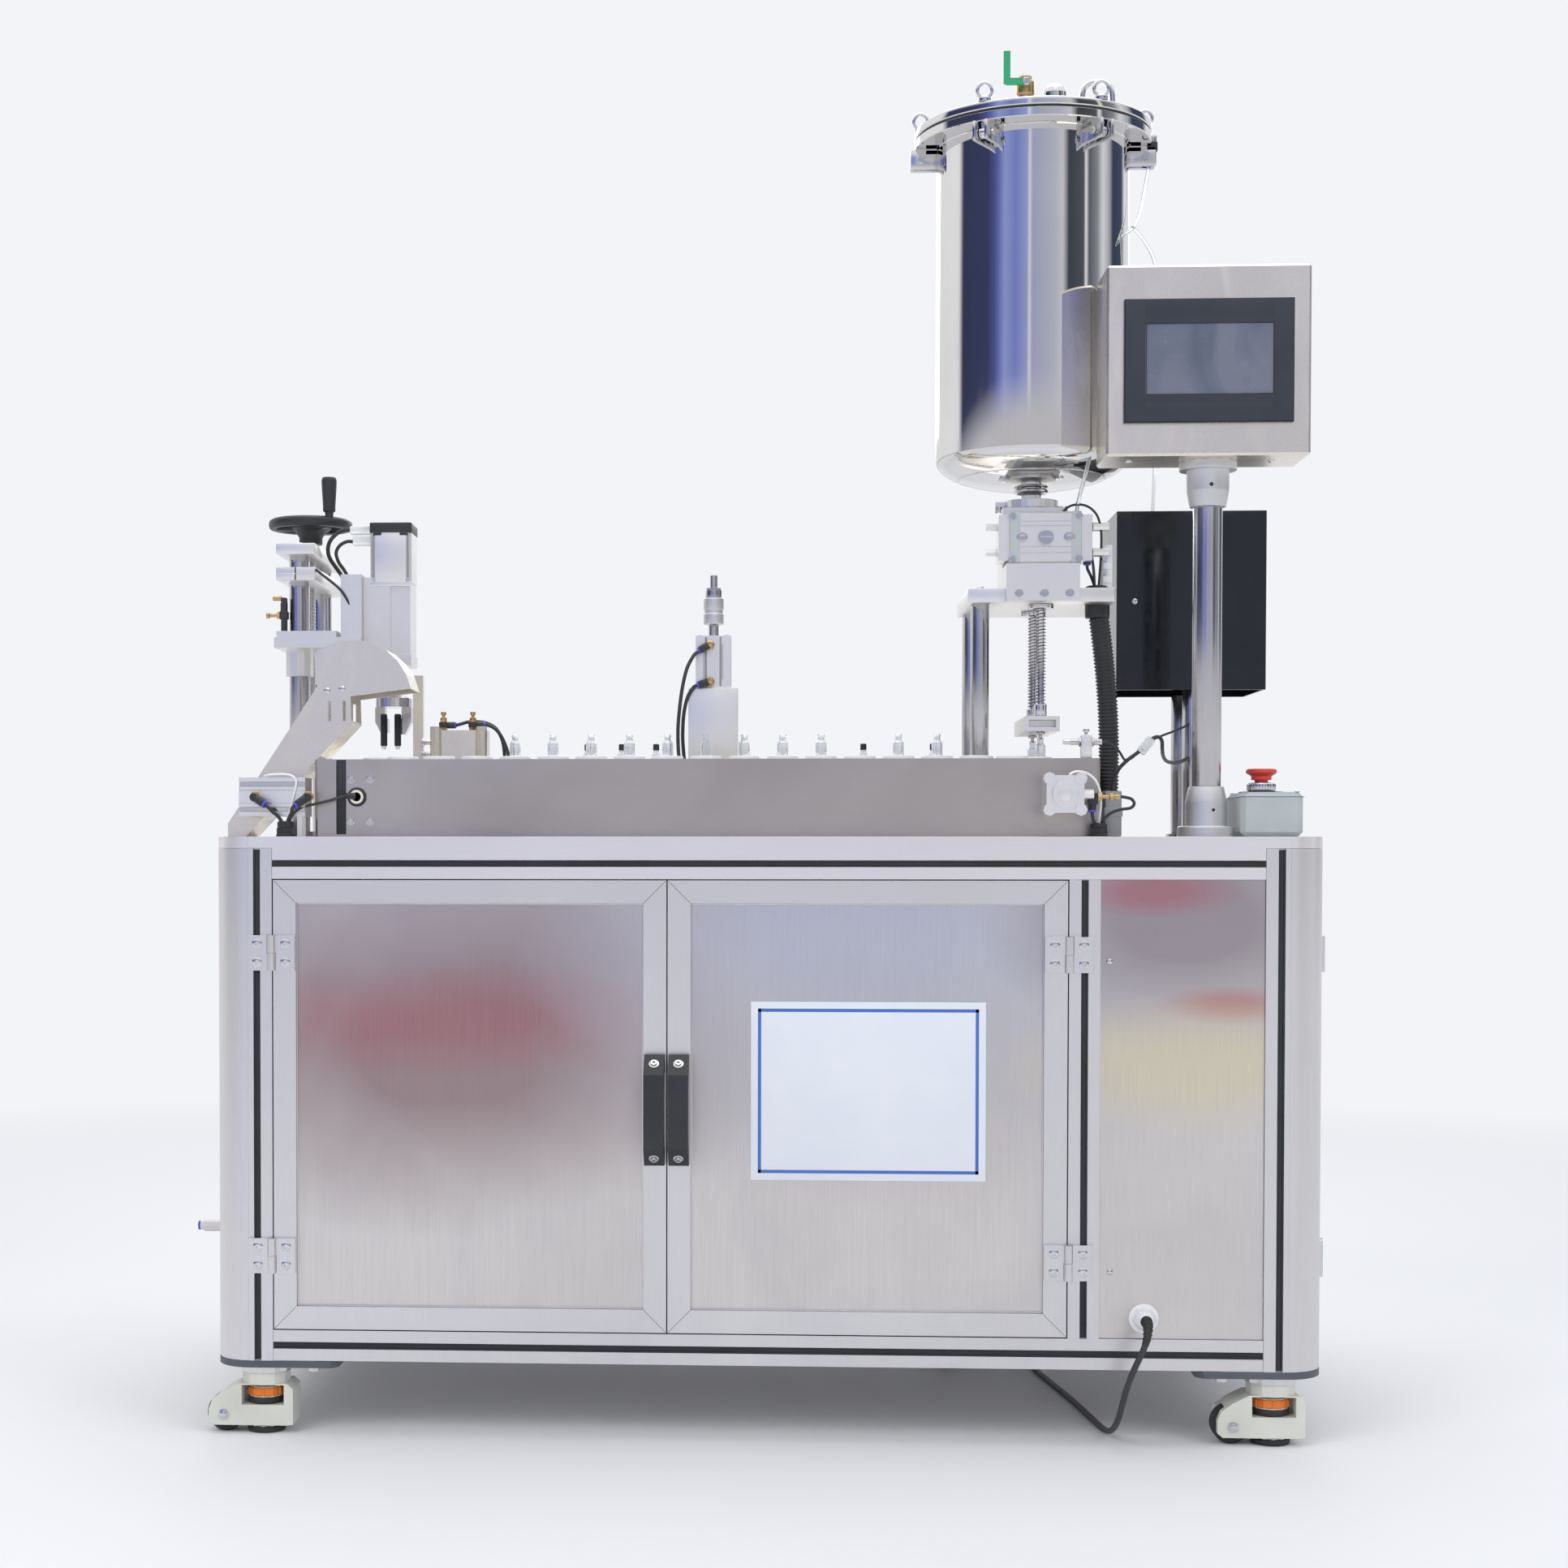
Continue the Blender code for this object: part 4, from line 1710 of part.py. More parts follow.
def control_screen():
    """Screen housing that swivels on its pole."""
    axis = (POLE_X, POLE_Y, 0)
    housing = box((HMI_LEFT, HMI_FRONT, HMI_LOW), (HMI_RIGHT, HMI_REAR, HMI_HIGH), HMI_BEVEL)
    boss = turned(
        [
            (0, HMI_LOW + BITE), (HMI_FLANGE_RADIUS, HMI_LOW + BITE),
            (HMI_FLANGE_RADIUS, HMI_LOW - HMI_FLANGE), (HMI_BOSS_RADIUS, HMI_LOW - HMI_FLANGE),
            (HMI_BOSS_RADIUS, HMI_BOSS_SHOULDER), (HMI_BOSS_NECK_RADIUS, HMI_BOSS_LOW),
            (0, HMI_BOSS_LOW),
        ],
        axis, "Z", ROUND_SIDES,
    )
    bore = cylinder(
        (POLE_X, POLE_Y, HMI_BOSS_LOW - OVERRUN), "Z",
        POLE_TOP + SEAT_GAP + OVERRUN - HMI_BOSS_LOW, POLE_RADIUS + SLIDE_FIT, FINE_SIDES,
    )
    keep(carve(fuse(housing, boss), bore), "hmi_box", STEEL, axis)
    front = HMI_FRONT - SEAT_GAP
    bezel = box(
        (BEZEL_LEFT, front - BEZEL_THICKNESS, BEZEL_LOW), (BEZEL_RIGHT, front, BEZEL_HIGH),
        BEZEL_BEVEL,
    )
    recess = box(
        (SCREEN_LEFT, front - BEZEL_THICKNESS - OVERRUN, SCREEN_LOW),
        (SCREEN_RIGHT, front - BEZEL_THICKNESS + SCREEN_RECESS, SCREEN_HIGH),
    )
    keep(carve(bezel, recess), "hmi_screen", GREY_PLASTIC, axis)
    flange_top = TABLE_TOP + SEAT_GAP + POLE_FLANGE
    pole = turned(
        [
            (0, POLE_TOP), (POLE_RADIUS, POLE_TOP), (POLE_RADIUS, POLE_BOSS_TOP_Z),
            (POLE_BOSS_NECK_RADIUS, POLE_BOSS_TOP_Z), (POLE_BOSS_RADIUS, POLE_BOSS_SHOULDER_Z),
            (POLE_BOSS_RADIUS, flange_top), (POLE_FLANGE_RADIUS, flange_top),
            (POLE_FLANGE_RADIUS, TABLE_TOP + SEAT_GAP), (0, TABLE_TOP + SEAT_GAP),
        ],
        axis, "Z", FINE_SIDES,
    )
    keep(pole, "hmi_pole", STEEL)


def emergency_stop():
    low_z = TABLE_TOP + SEAT_GAP
    top = low_z + ESTOP_HEIGHT
    ring_top = top + ESTOP_RING_HEIGHT
    housing = box(
        (ESTOP_X - ESTOP_WIDTH / 2, ESTOP_FRONT, low_z),
        (ESTOP_X + ESTOP_WIDTH / 2, ESTOP_FRONT + ESTOP_DEPTH, top), ESTOP_BEVEL,
    )
    ring = cylinder(
        (ESTOP_BUTTON_X, ESTOP_BUTTON_Y, top - BITE), "Z", ESTOP_RING_HEIGHT + BITE,
        ESTOP_RING_RADIUS,
    )
    bore = cylinder(
        (ESTOP_BUTTON_X, ESTOP_BUTTON_Y, ring_top - ESTOP_BORE_DEPTH), "Z",
        ESTOP_BORE_DEPTH + OVERRUN, ESTOP_STEM_RADIUS + SLIDE_FIT,
    )
    keep(carve(fuse(housing, ring), bore), "estop_box", GREY_GREEN_PLASTIC)
    head_low = ring_top + ESTOP_HEAD_LIFT
    head_top = head_low + ESTOP_HEAD_HEIGHT
    edge = head_top - ESTOP_HEAD_EDGE
    button = turned(
        [
            (0, head_top), (ESTOP_CROWN_RADIUS, head_top - BITE), (ESTOP_HEAD_RADIUS, edge),
            (ESTOP_HEAD_RADIUS - BITE, edge - ESTOP_HEAD_EDGE),
            (ESTOP_CROWN_RADIUS, head_low), (ESTOP_STEM_RADIUS, head_low),
            (ESTOP_STEM_RADIUS, ring_top - ESTOP_STEM_REACH), (0, ring_top - ESTOP_STEM_REACH),
        ],
        (ESTOP_BUTTON_X, ESTOP_BUTTON_Y, 0), "Z",
    )
    keep(button, "estop_button", RED_PLASTIC, (ESTOP_BUTTON_X, ESTOP_BUTTON_Y, ring_top))


def press_station():
    """Open bracket with a vertical through-rod cylinder on top."""
    low_z = ISLAND_TOP + SEAT_GAP
    front = PRESS_Y - PRESS_HALF_DEPTH
    rear = PRESS_Y + PRESS_HALF_DEPTH
    left = PRESS_X - PRESS_HALF_WIDTH
    right = PRESS_X + PRESS_HALF_WIDTH
    bracket = box((left, front, low_z), (right, rear, PRESS_BRACKET_TOP))
    opening = box(
        (left + PRESS_CHEEK, front - OVERRUN, low_z + PRESS_BASE),
        (right - PRESS_CHEEK, rear + OVERRUN, PRESS_BRACKET_TOP - PRESS_CHEEK),
    )
    half = PRESS_CYLINDER_HALF
    barrel = box(
        (PRESS_X - half, PRESS_Y - half, PRESS_BRACKET_TOP - BITE),
        (PRESS_X + half, PRESS_Y + half, PRESS_CYLINDER_TOP),
    )
    middle = (PRESS_BRACKET_TOP + PRESS_CYLINDER_TOP) / 2
    grooves = [
        box(
            (PRESS_X + offset - PRESS_GROOVE / 2, PRESS_Y - half - OVERRUN, middle - half),
            (PRESS_X + offset + PRESS_GROOVE / 2, PRESS_Y - half + PRESS_GROOVE, middle + half),
        )
        for offset in (-half / 2, half / 2)
    ]
    bore = cylinder(
        (PRESS_X, PRESS_Y, PRESS_ROD_LOW), "Z", PRESS_ROD_TOP - PRESS_ROD_LOW,
        PRESS_ROD_RADIUS + SLIDE_FIT,
    )
    carve(bracket, opening)
    fuse(bracket, barrel)
    carve(bracket, merged(grooves, "press_grooves"), bore)
    keep(bracket, "press_station", ALUMINIUM)
    foot_low = PRESS_ROD_LOW - PRESS_FOOT_HEIGHT
    rod = turned(
        [
            (0, PRESS_ROD_TOP), (PRESS_BOLT_RADIUS, PRESS_ROD_TOP),
            (PRESS_BOLT_RADIUS, PRESS_NUT_HIGH), (PRESS_NUT_RADIUS, PRESS_NUT_HIGH),
            (PRESS_NUT_RADIUS, PRESS_COLLAR_HIGH), (PRESS_COLLAR_RADIUS, PRESS_COLLAR_HIGH),
            (PRESS_COLLAR_RADIUS, PRESS_COLLAR_LOW), (PRESS_ROD_RADIUS, PRESS_COLLAR_LOW),
            (PRESS_ROD_RADIUS, PRESS_ROD_LOW), (PRESS_FOOT_RADIUS, PRESS_ROD_LOW),
            (PRESS_FOOT_RADIUS, foot_low), (0, foot_low),
        ],
        (PRESS_X, PRESS_Y, 0), "Z",
    )
    keep(rod, "press_rod", STEEL, (PRESS_X, PRESS_Y, PRESS_BRACKET_TOP))


def screw_y():
    return (LIFT_YS[0] + LIFT_YS[1]) / 2


def lift_stand():
    """Two columns tied by a clamp plate and a top plate."""
    top_low = LIFT_TOP_Z - LIFT_TOP_THICKNESS
    stand = box(
        (LIFT_PLATE_LEFT, LIFT_PLATE_FRONT, top_low),
        (LIFT_PLATE_RIGHT, LIFT_PLATE_REAR, LIFT_TOP_Z),
    )
    clamp = box(
        (LIFT_PLATE_LEFT, LIFT_PLATE_FRONT, CLAMP_PLATE_Z),
        (LIFT_PLATE_RIGHT, LIFT_PLATE_REAR, CLAMP_PLATE_Z + CLAMP_PLATE_THICKNESS),
    )
    low_z = TABLE_TOP + SEAT_GAP
    shapes = [clamp]
    for y in LIFT_YS:
        shapes.append(cylinder(
            (LIFT_X, y, low_z), "Z", top_low + BITE - low_z, LIFT_RADIUS
        ))
        shapes.append(cylinder((LIFT_X, y, low_z), "Z", LIFT_FOOT_HEIGHT, LIFT_FOOT_RADIUS))
    bore = cylinder(
        (LIFT_X, screw_y(), CLAMP_PLATE_Z - OVERRUN), "Z",
        LIFT_TOP_Z - CLAMP_PLATE_Z + 2 * OVERRUN, SCREW_RADIUS + SLIDE_FIT,
    )
    keep(carve(fuse(stand, *shapes), bore), "lift_stand", STEEL)


def lift_carriage():
    """Plate on two linear bushes that the lead screw raises, with the head's slide plate."""
    front = LIFT_PLATE_FRONT
    rear = LIFT_PLATE_REAR
    high_z = CARRIAGE_Z + CARRIAGE_THICKNESS
    plate = box(
        (CARRIAGE_LEFT, front, CARRIAGE_Z), (CARRIAGE_RIGHT, rear, high_z)
    )
    shim = box(
        (CARRIAGE_LEFT + OVERRUN, front + OVERRUN, high_z - BITE),
        (CARRIAGE_SHIM_RIGHT, rear - OVERRUN, high_z + CARRIAGE_SHIM),
    )
    slide = box(
        (SLIDE_PLATE_LEFT, SLIDE_PLATE_FRONT, CARRIAGE_Z + BITE),
        (CARRIAGE_RIGHT, SLIDE_PLATE_REAR, SLIDE_PLATE_TOP),
    )
    fuse(plate, shim, slide)
    for y in LIFT_YS:
        fuse(plate, cylinder(
            (LIFT_X, y, CARRIAGE_Z + BITE - LINEAR_BUSH_LENGTH), "Z", LINEAR_BUSH_LENGTH,
            LINEAR_BUSH_RADIUS,
        ))
    height = CARRIAGE_SHIM + CARRIAGE_THICKNESS + LINEAR_BUSH_LENGTH + 2 * OVERRUN
    low = CARRIAGE_Z - LINEAR_BUSH_LENGTH - OVERRUN
    for y, radius in ((LIFT_YS[0], LIFT_RADIUS), (LIFT_YS[1], LIFT_RADIUS),
                      (screw_y(), SCREW_RADIUS)):
        carve(plate, cylinder((LIFT_X, y, low), "Z", height, radius + SLIDE_FIT))
    keep(plate, "lift_carriage", ALUMINIUM, (LIFT_X, screw_y(), CARRIAGE_Z))


def handwheel():
    """Rim, spokes, hub, grip and the lead screw that turns with them."""
    y = screw_y()
    axis = (LIFT_X, y, 0)
    high = WHEEL_RIM_Z + WHEEL_RIM_HEIGHT
    inner = WHEEL_RIM_RADIUS - WHEEL_RIM_WIDTH
    lip = WHEEL_RIM_HEIGHT / 4
    middle = WHEEL_RIM_Z + WHEEL_RIM_HEIGHT / 2
    rim = turned(
        [
            (WHEEL_RIM_RADIUS - lip, high), (WHEEL_RIM_RADIUS, middle),
            (WHEEL_RIM_RADIUS - lip, WHEEL_RIM_Z), (inner + lip, WHEEL_RIM_Z), (inner, middle),
            (inner + lip, high),
        ],
        axis, "Z", ROUND_SIDES + COARSE_SIDES, closed=True,
    )
    collar_low = LIFT_TOP_Z + SEAT_GAP
    hub = turned(
        [
            (0, high), (WHEEL_HUB_RADIUS, high), (WHEEL_HUB_RADIUS, WHEEL_HUB_Z),
            (HUB_COLLAR_RADIUS, WHEEL_HUB_Z), (HUB_COLLAR_RADIUS, collar_low),
            (SCREW_RADIUS, collar_low), (SCREW_RADIUS, SCREW_LOW), (0, SCREW_LOW),
        ],
        axis, "Z",
    )
    for index in range(WHEEL_SPOKES):
        spoke = box(
            (WHEEL_HUB_RADIUS - BITE, -WHEEL_SPOKE_WIDTH / 2, middle - WHEEL_SPOKE_HEIGHT / 2),
            (inner + lip, WHEEL_SPOKE_WIDTH / 2, middle + WHEEL_SPOKE_HEIGHT / 2),
        )
        turn = Matrix.Rotation(GRIP_ANGLE + 2 * math.pi * index / WHEEL_SPOKES, 4, "Z")
        spoke.data.transform(Matrix.Translation(axis) @ turn)
        fuse(rim, spoke)
    reach = WHEEL_RIM_RADIUS - WHEEL_RIM_WIDTH / 2
    grip_x = LIFT_X + reach * math.cos(GRIP_ANGLE)
    grip_y = y + reach * math.sin(GRIP_ANGLE)
    grip_low = high + GRIP_NECK
    grip = turned(
        [
            (0, grip_low + GRIP_LENGTH), (GRIP_WAIST_RADIUS, grip_low + GRIP_LENGTH),
            (GRIP_RADIUS, grip_low + GRIP_LENGTH - GRIP_CROWN), (GRIP_WAIST_RADIUS, grip_low),
            (GRIP_NECK_RADIUS, grip_low), (GRIP_NECK_RADIUS, high - BITE), (0, high - BITE),
        ],
        (grip_x, grip_y, 0), "Z",
    )
    keep(fuse(rim, hub, grip), "handwheel", STEEL, (LIFT_X, y, LIFT_TOP_Z))


def cap_head():
    """Servo motor, coupling housing and spindle block that slide on the carriage."""
    housing_half = HEAD_HALF - HEAD_HOUSING_INSET
    slide_x = CARRIAGE_RIGHT + SEAT_GAP
    motor = box(
        (HEAD_X - HEAD_HALF, HEAD_Y - HEAD_HALF, HEAD_HOUSING_TOP - BITE),
        (HEAD_X + HEAD_HALF, HEAD_Y + HEAD_HALF, HEAD_CAP_TOP), HEAD_MOTOR_BEVEL,
    )
    housing = box(
        (HEAD_X - housing_half, HEAD_Y - housing_half, HEAD_BLOCK_TOP - BITE),
        (HEAD_X + housing_half, HEAD_Y + housing_half, HEAD_HOUSING_TOP + BITE),
    )
    block = box(
        (HEAD_X - HEAD_HALF, HEAD_Y - HEAD_HALF, HEAD_LOW),
        (HEAD_X + HEAD_HALF, HEAD_Y + HEAD_HALF, HEAD_BLOCK_TOP),
    )
    back = box(
        (slide_x, HEAD_Y - HEAD_HALF, HEAD_BLOCK_TOP + BITE),
        (HEAD_X, HEAD_Y + HEAD_HALF, SLIDE_PLATE_TOP - OVERRUN),
    )
    socket = cylinder(
        (HEAD_X, HEAD_Y, HEAD_LOW - OVERRUN), "Z", HEAD_SOCKET + OVERRUN,
        CHUCK_SHAFT_RADIUS + SLIDE_FIT, FINE_SIDES,
    )
    fuse(motor, housing, block, back)
    keep(carve(motor, socket), "cap_head", ALUMINIUM, (HEAD_X, HEAD_Y, HEAD_LOW))


def cap_chuck():
    """Turning shaft and chuck body, with two jaws that close on a cap."""
    axis = (HEAD_X, HEAD_Y, 0)
    shaft_top = HEAD_LOW + CHUCK_SHAFT_REACH
    edge = CHUCK_RADIUS - CHUCK_CHAMFER
    chuck = turned(
        [
            (0, shaft_top), (CHUCK_SHAFT_RADIUS, shaft_top), (CHUCK_SHAFT_RADIUS, CHUCK_HIGH),
            (edge, CHUCK_HIGH), (CHUCK_RADIUS, CHUCK_HIGH - CHUCK_CHAMFER),
            (CHUCK_RADIUS, CHUCK_LOW), (0, CHUCK_LOW),
        ],
        axis, "Z", FINE_SIDES,
    )
    keep(chuck, "cap_chuck", STEEL, (HEAD_X, HEAD_Y, CHUCK_LOW))
    top = CHUCK_LOW - SEAT_GAP
    bend = top - JAW_BEND_DROP
    outline = [
        (JAW_INNER, top), (JAW_INNER, JAW_PAD_HIGH), (JAW_INNER - JAW_PAD, JAW_PAD_HIGH),
        (JAW_INNER - JAW_PAD, JAW_PAD_LOW), (JAW_INNER, JAW_LOW), (JAW_TIP, JAW_LOW),
        (JAW_OUTER, bend), (JAW_OUTER, top),
    ]
    for side, way in (("left", -1), ("right", 1)):
        jaw = prism(
            [outline], 2 * JAW_HALF_DEPTH, (HEAD_X, HEAD_Y - JAW_HALF_DEPTH, 0),
            X_AXIS * way, Z_AXIS, Y_AXIS,
        )
        keep(jaw, f"jaw_{side}", STEEL, (HEAD_X + way * JAW_INNER, HEAD_Y, JAW_LOW))


def circle_through(first, second, third):
    """Centre and radius of the circle through three points."""
    chord_a = second - first
    chord_b = third - first
    cross = 2 * (chord_a.x * chord_b.y - chord_a.y * chord_b.x)
    square_a = chord_a.length_squared
    square_b = chord_b.length_squared
    offset = Vector((
        (chord_b.y * square_a - chord_a.y * square_b) / cross,
        (chord_a.x * square_b - chord_b.x * square_a) / cross,
    ))
    return first + offset, offset.length


def hood_arc(inset):
    """The rolled hood from its back over the top to the tip, as (x, z) points."""
    centre, radius = circle_through(HOOD_BACK, HOOD_HIGH, HOOD_TIP)
    start = HOOD_BACK - centre
    end = HOOD_TIP - centre
    return arc(
        centre, radius - inset, math.degrees(math.atan2(start.y, start.x)),
        math.degrees(math.atan2(end.y, end.x)), 8,
    )


def discharge_chute():
    """Sheet metal trough that runs down to the left, with a rolled hood at its mouth."""
    heel_toe = Vector((CHUTE_TOE.x, CHUTE_TOE.y + CHUTE_TOE_HEIGHT))
    outline = [
        *hood_arc(0), HOOD_HEEL, CHUTE_ENTRY, CHUTE_EXIT, CHUTE_TOE, heel_toe, CHUTE_SHOULDER,
    ]
    shell = prism(
        [outline], CHUTE_DEPTH, (0, CHUTE_FRONT, 0), X_AXIS, Z_AXIS, Y_AXIS
    )
    slope = (CHUTE_ENTRY - CHUTE_EXIT).normalized()
    normal = Vector((-slope.y, slope.x))
    run = 10 * OVERRUN
    floor_high = CHUTE_ENTRY + normal * CHUTE_SHEET + slope * run
    floor_low = CHUTE_EXIT + normal * CHUTE_SHEET - slope * run
    far_left = Vector((CHUTE_TOE.x - run, CHUTE_TOE.y - run))
    inner_arc = hood_arc(CHUTE_SHEET)
    hollow_outline = [
        *inner_arc, (inner_arc[-1][0] + CHUTE_SHEET, HOOD_TIP.y - run),
        (floor_high.x + run, floor_high.y), floor_high, floor_low, far_left,
        (CHUTE_TOE.x - run, HOOD_BACK.y),
    ]
    hollow = prism(
        [hollow_outline], CHUTE_DEPTH - 2 * CHUTE_SHEET, (0, CHUTE_FRONT + CHUTE_SHEET, 0),
        X_AXIS, Z_AXIS, Y_AXIS,
    )
    slots = [
        box(
            (x - CHUTE_SLOT_WIDTH / 2, CHUTE_FRONT - OVERRUN, CHUTE_SLOT_LOW),
            (x + CHUTE_SLOT_WIDTH / 2, CHUTE_FRONT + CHUTE_DEPTH + OVERRUN, CHUTE_SLOT_HIGH),
        )
        for x in CHUTE_SLOT_XS
    ]
    keep(carve(shell, hollow, merged(slots, "chute_slots")), "discharge_chute", STEEL)


def eject_cylinder():
    """Grooved cylinder profile on a short post."""
    high = EJECT_LOW + EJECT_HEIGHT
    body = box(
        (EJECT_LEFT, EJECT_FRONT, EJECT_LOW), (EJECT_RIGHT, EJECT_FRONT + EJECT_DEPTH, high)
    )
    grooves = [
        box(
            (EJECT_LEFT - OVERRUN, EJECT_FRONT - OVERRUN, EJECT_LOW + rise),
            (EJECT_RIGHT + OVERRUN, EJECT_FRONT + EJECT_GROOVE_DEPTH,
             EJECT_LOW + rise + EJECT_GROOVE),
        )
        for rise in (EJECT_GROOVE_LOW, EJECT_GROOVE_HIGH)
    ]
    post_low = TABLE_TOP + SEAT_GAP
    post = cylinder(
        (EJECT_POST_X, EJECT_FRONT + EJECT_DEPTH / 2, post_low), "Z",
        EJECT_LOW + BITE - post_low, EJECT_POST_RADIUS,
    )
    carve(body, merged(grooves, "eject_grooves"))
    keep(fuse(body, post), "eject_cylinder", ALUMINIUM)


def transfer_cylinder():
    """Compact square cylinder on the skirt's front, with corner ears and a side nose."""
    rear = SKIRT_FRONT - SEAT_GAP
    front = rear - TRANSFER_LENGTH
    half = TRANSFER_HALF
    body = box(
        (TRANSFER_X - half, front, TRANSFER_Z - half),
        (TRANSFER_X + half, rear, TRANSFER_Z + half),
    )
    cap = cylinder(
        (TRANSFER_X, front - TRANSFER_CAP, TRANSFER_Z), "Y", TRANSFER_CAP + BITE,
        TRANSFER_CAP_RADIUS,
    )
    nose = cylinder(
        (TRANSFER_X + half - BITE, front + TRANSFER_LENGTH / 3, TRANSFER_Z), "X",
        TRANSFER_NOSE + BITE, TRANSFER_NOSE_RADIUS, COARSE_SIDES,
    )
    ears = [
        cylinder(
            (TRANSFER_X + across * TRANSFER_EAR_SPREAD, front - BITE,
             TRANSFER_Z + up * TRANSFER_EAR_SPREAD),
            "Y", TRANSFER_LENGTH / 3, TRANSFER_EAR_RADIUS, COARSE_SIDES,
        )
        for across in (-1, 1) for up in (-1, 1)
    ]
    keep(fuse(body, cap, nose, *ears), "transfer_cylinder", ALUMINIUM)


def cable_conduit():
    """Corrugated hose between its table nut and the cap under the filling plate."""
    low_z = TABLE_TOP + SEAT_GAP
    top_z = FILL_PLATE_Z - SEAT_GAP
    points = []
    for step in range(CONDUIT_STEPS + 1):
        t = step / CONDUIT_STEPS
        spot = CONDUIT_BASE.lerp(CONDUIT_TOP, t)
        bow = CONDUIT_BOW * math.sin(math.pi * t)
        z = low_z + OVERRUN + (top_z - low_z - 2 * OVERRUN) * t
        points.append((spot.x + bow, spot.y, z))
    hose = tube(points, CONDUIT_RADIUS)
    nut = cylinder(CONDUIT_BASE + Z_AXIS * low_z, "Z", CONDUIT_NUT_HEIGHT, CONDUIT_NUT_RADIUS, 8)
    cap = cylinder(
        CONDUIT_TOP + Z_AXIS * (top_z - CONDUIT_CAP_HEIGHT), "Z", CONDUIT_CAP_HEIGHT,
        CONDUIT_CAP_RADIUS,
    )
    keep(fuse(hose, nut, cap), "cable_conduit", BLACK_PLASTIC)


def mains_gland():
    """Domed cable gland through the front panel, with its lock nut behind."""
    face = PANEL_RECESS - SEAT_GAP
    back = PANEL_RECESS + PANEL_THICKNESS + SEAT_GAP
    tip = face - GLAND_FLANGE - GLAND_DOME
    flange = cylinder(
        (GLAND_X, face - GLAND_FLANGE, GLAND_Z), "Y", GLAND_FLANGE, GLAND_FLANGE_RADIUS, 6
    )
    dome = cylinder(
        (GLAND_X, tip, GLAND_Z), "Y", GLAND_DOME + BITE, GLAND_NOSE_RADIUS, ROUND_SIDES,
        GLAND_DOME_RADIUS,
    )
    thread = cylinder(
        (GLAND_X, face - BITE, GLAND_Z), "Y", back - face + GLAND_NUT, GLAND_HOLE_RADIUS
    )
    nut = cylinder((GLAND_X, back, GLAND_Z), "Y", GLAND_NUT, GLAND_NUT_RADIUS, 6)
    keep(fuse(flange, dome, thread, nut), "mains_gland", WHITE_PLASTIC)


def cord_points():
    return [Vector(spot) * MM for spot in CORD_ROUTE]


def mains_lead():
    """The free lead: its visible run, the coil it is wound into, and its plug."""
    route = cord_points()
    start = Vector((GLAND_X, PANEL_RECESS - 2 * SEAT_GAP - GLAND_FLANGE - GLAND_DOME, GLAND_Z))
    outer = COIL_RADIUS + COIL_HALF_WIDTH
    inner = COIL_RADIUS - COIL_HALF_WIDTH
    meeting_y = COIL_Y - math.sqrt(outer ** 2 - (COIL_LANE - CORD_RADIUS) ** 2) - SEAT_GAP
    end = Vector((COIL_X + COIL_LANE, meeting_y, route[-1].z))
    points = [start, *smooth_through(route, CORD_SPACING), end]
    keep(tube(points, CORD_RADIUS), "mains_cord", BLACK_RUBBER)
    low = SEAT_GAP
    high = COIL_HEIGHT
    ease = COIL_HALF_WIDTH / 4
    coil = turned(
        [
            (outer - ease, high), (outer, high - ease), (outer, low + ease), (outer - ease, low),
            (inner + ease, low), (inner, low + ease), (inner, high - ease), (inner + ease, high),
        ],
        COIL_CENTRE, "Z", ROUND_SIDES + COARSE_SIDES, closed=True,
    )
    keep(coil, "mains_coil", BLACK_RUBBER)
    plug_x = COIL_X - COIL_LANE
    centre_z = PLUG_HALF + SEAT_GAP
    body_rear = meeting_y - PLUG_TAIL
    body_front = body_rear - PLUG_LENGTH
    plug = box(
        (plug_x - PLUG_HALF_WIDTH, body_front, SEAT_GAP),
        (plug_x + PLUG_HALF_WIDTH, body_rear, 2 * PLUG_HALF), PLUG_HALF / 4,
    )
    tail = cylinder(
        (plug_x, body_rear - BITE, centre_z), "Y", PLUG_TAIL + BITE, PLUG_TAIL_RADIUS,
        COARSE_SIDES, CORD_RADIUS,
    )
    pins = [
        cylinder(
            (plug_x + way * PLUG_PIN_SPREAD, body_front - PLUG_PIN_LENGTH, centre_z), "Y",
            PLUG_PIN_LENGTH + BITE, PLUG_PIN_RADIUS, COARSE_SIDES,
        )
        for way in (-1, 1)
    ]
    keep(fuse(plug, tail, *pins), "mains_plug", BLACK_RUBBER)


clear_scene()
PARTS = new_collection("lip_gloss_filling_machine")
TOOLS = new_collection("tools")
BENCH = new_empty("bench", (-X_CENTRE, -Y_CENTRE, 0))

ALUMINIUM = new_material("aluminium", (0.72, 0.72, 0.74), 0.4, 0.9)
STEEL = new_material("brushed_steel", (0.62, 0.60, 0.57), 0.35, 1.0)
POLISHED_STEEL = new_material("polished_steel", (0.70, 0.69, 0.68), 0.15, 1.0)
BLACK_PLASTIC = new_material("black_plastic", (0.02, 0.02, 0.022), 0.5)
GLOSS_BLACK = new_material("gloss_black", (0.015, 0.016, 0.02), 0.12)
BLACK_RUBBER = new_material("black_rubber", (0.025, 0.025, 0.025), 0.7)
CREAM_PAINT = new_material("cream_paint", (0.78, 0.76, 0.68), 0.4)
WHITE_PLASTIC = new_material("white_plastic", (0.86, 0.86, 0.84), 0.45)
GREY_PLASTIC = new_material("grey_plastic", (0.08, 0.09, 0.11), 0.4)
GREY_GREEN_PLASTIC = new_material("grey_green_plastic", (0.52, 0.58, 0.55), 0.5)
RED_PLASTIC = new_material("red_plastic", (0.70, 0.06, 0.04), 0.35)
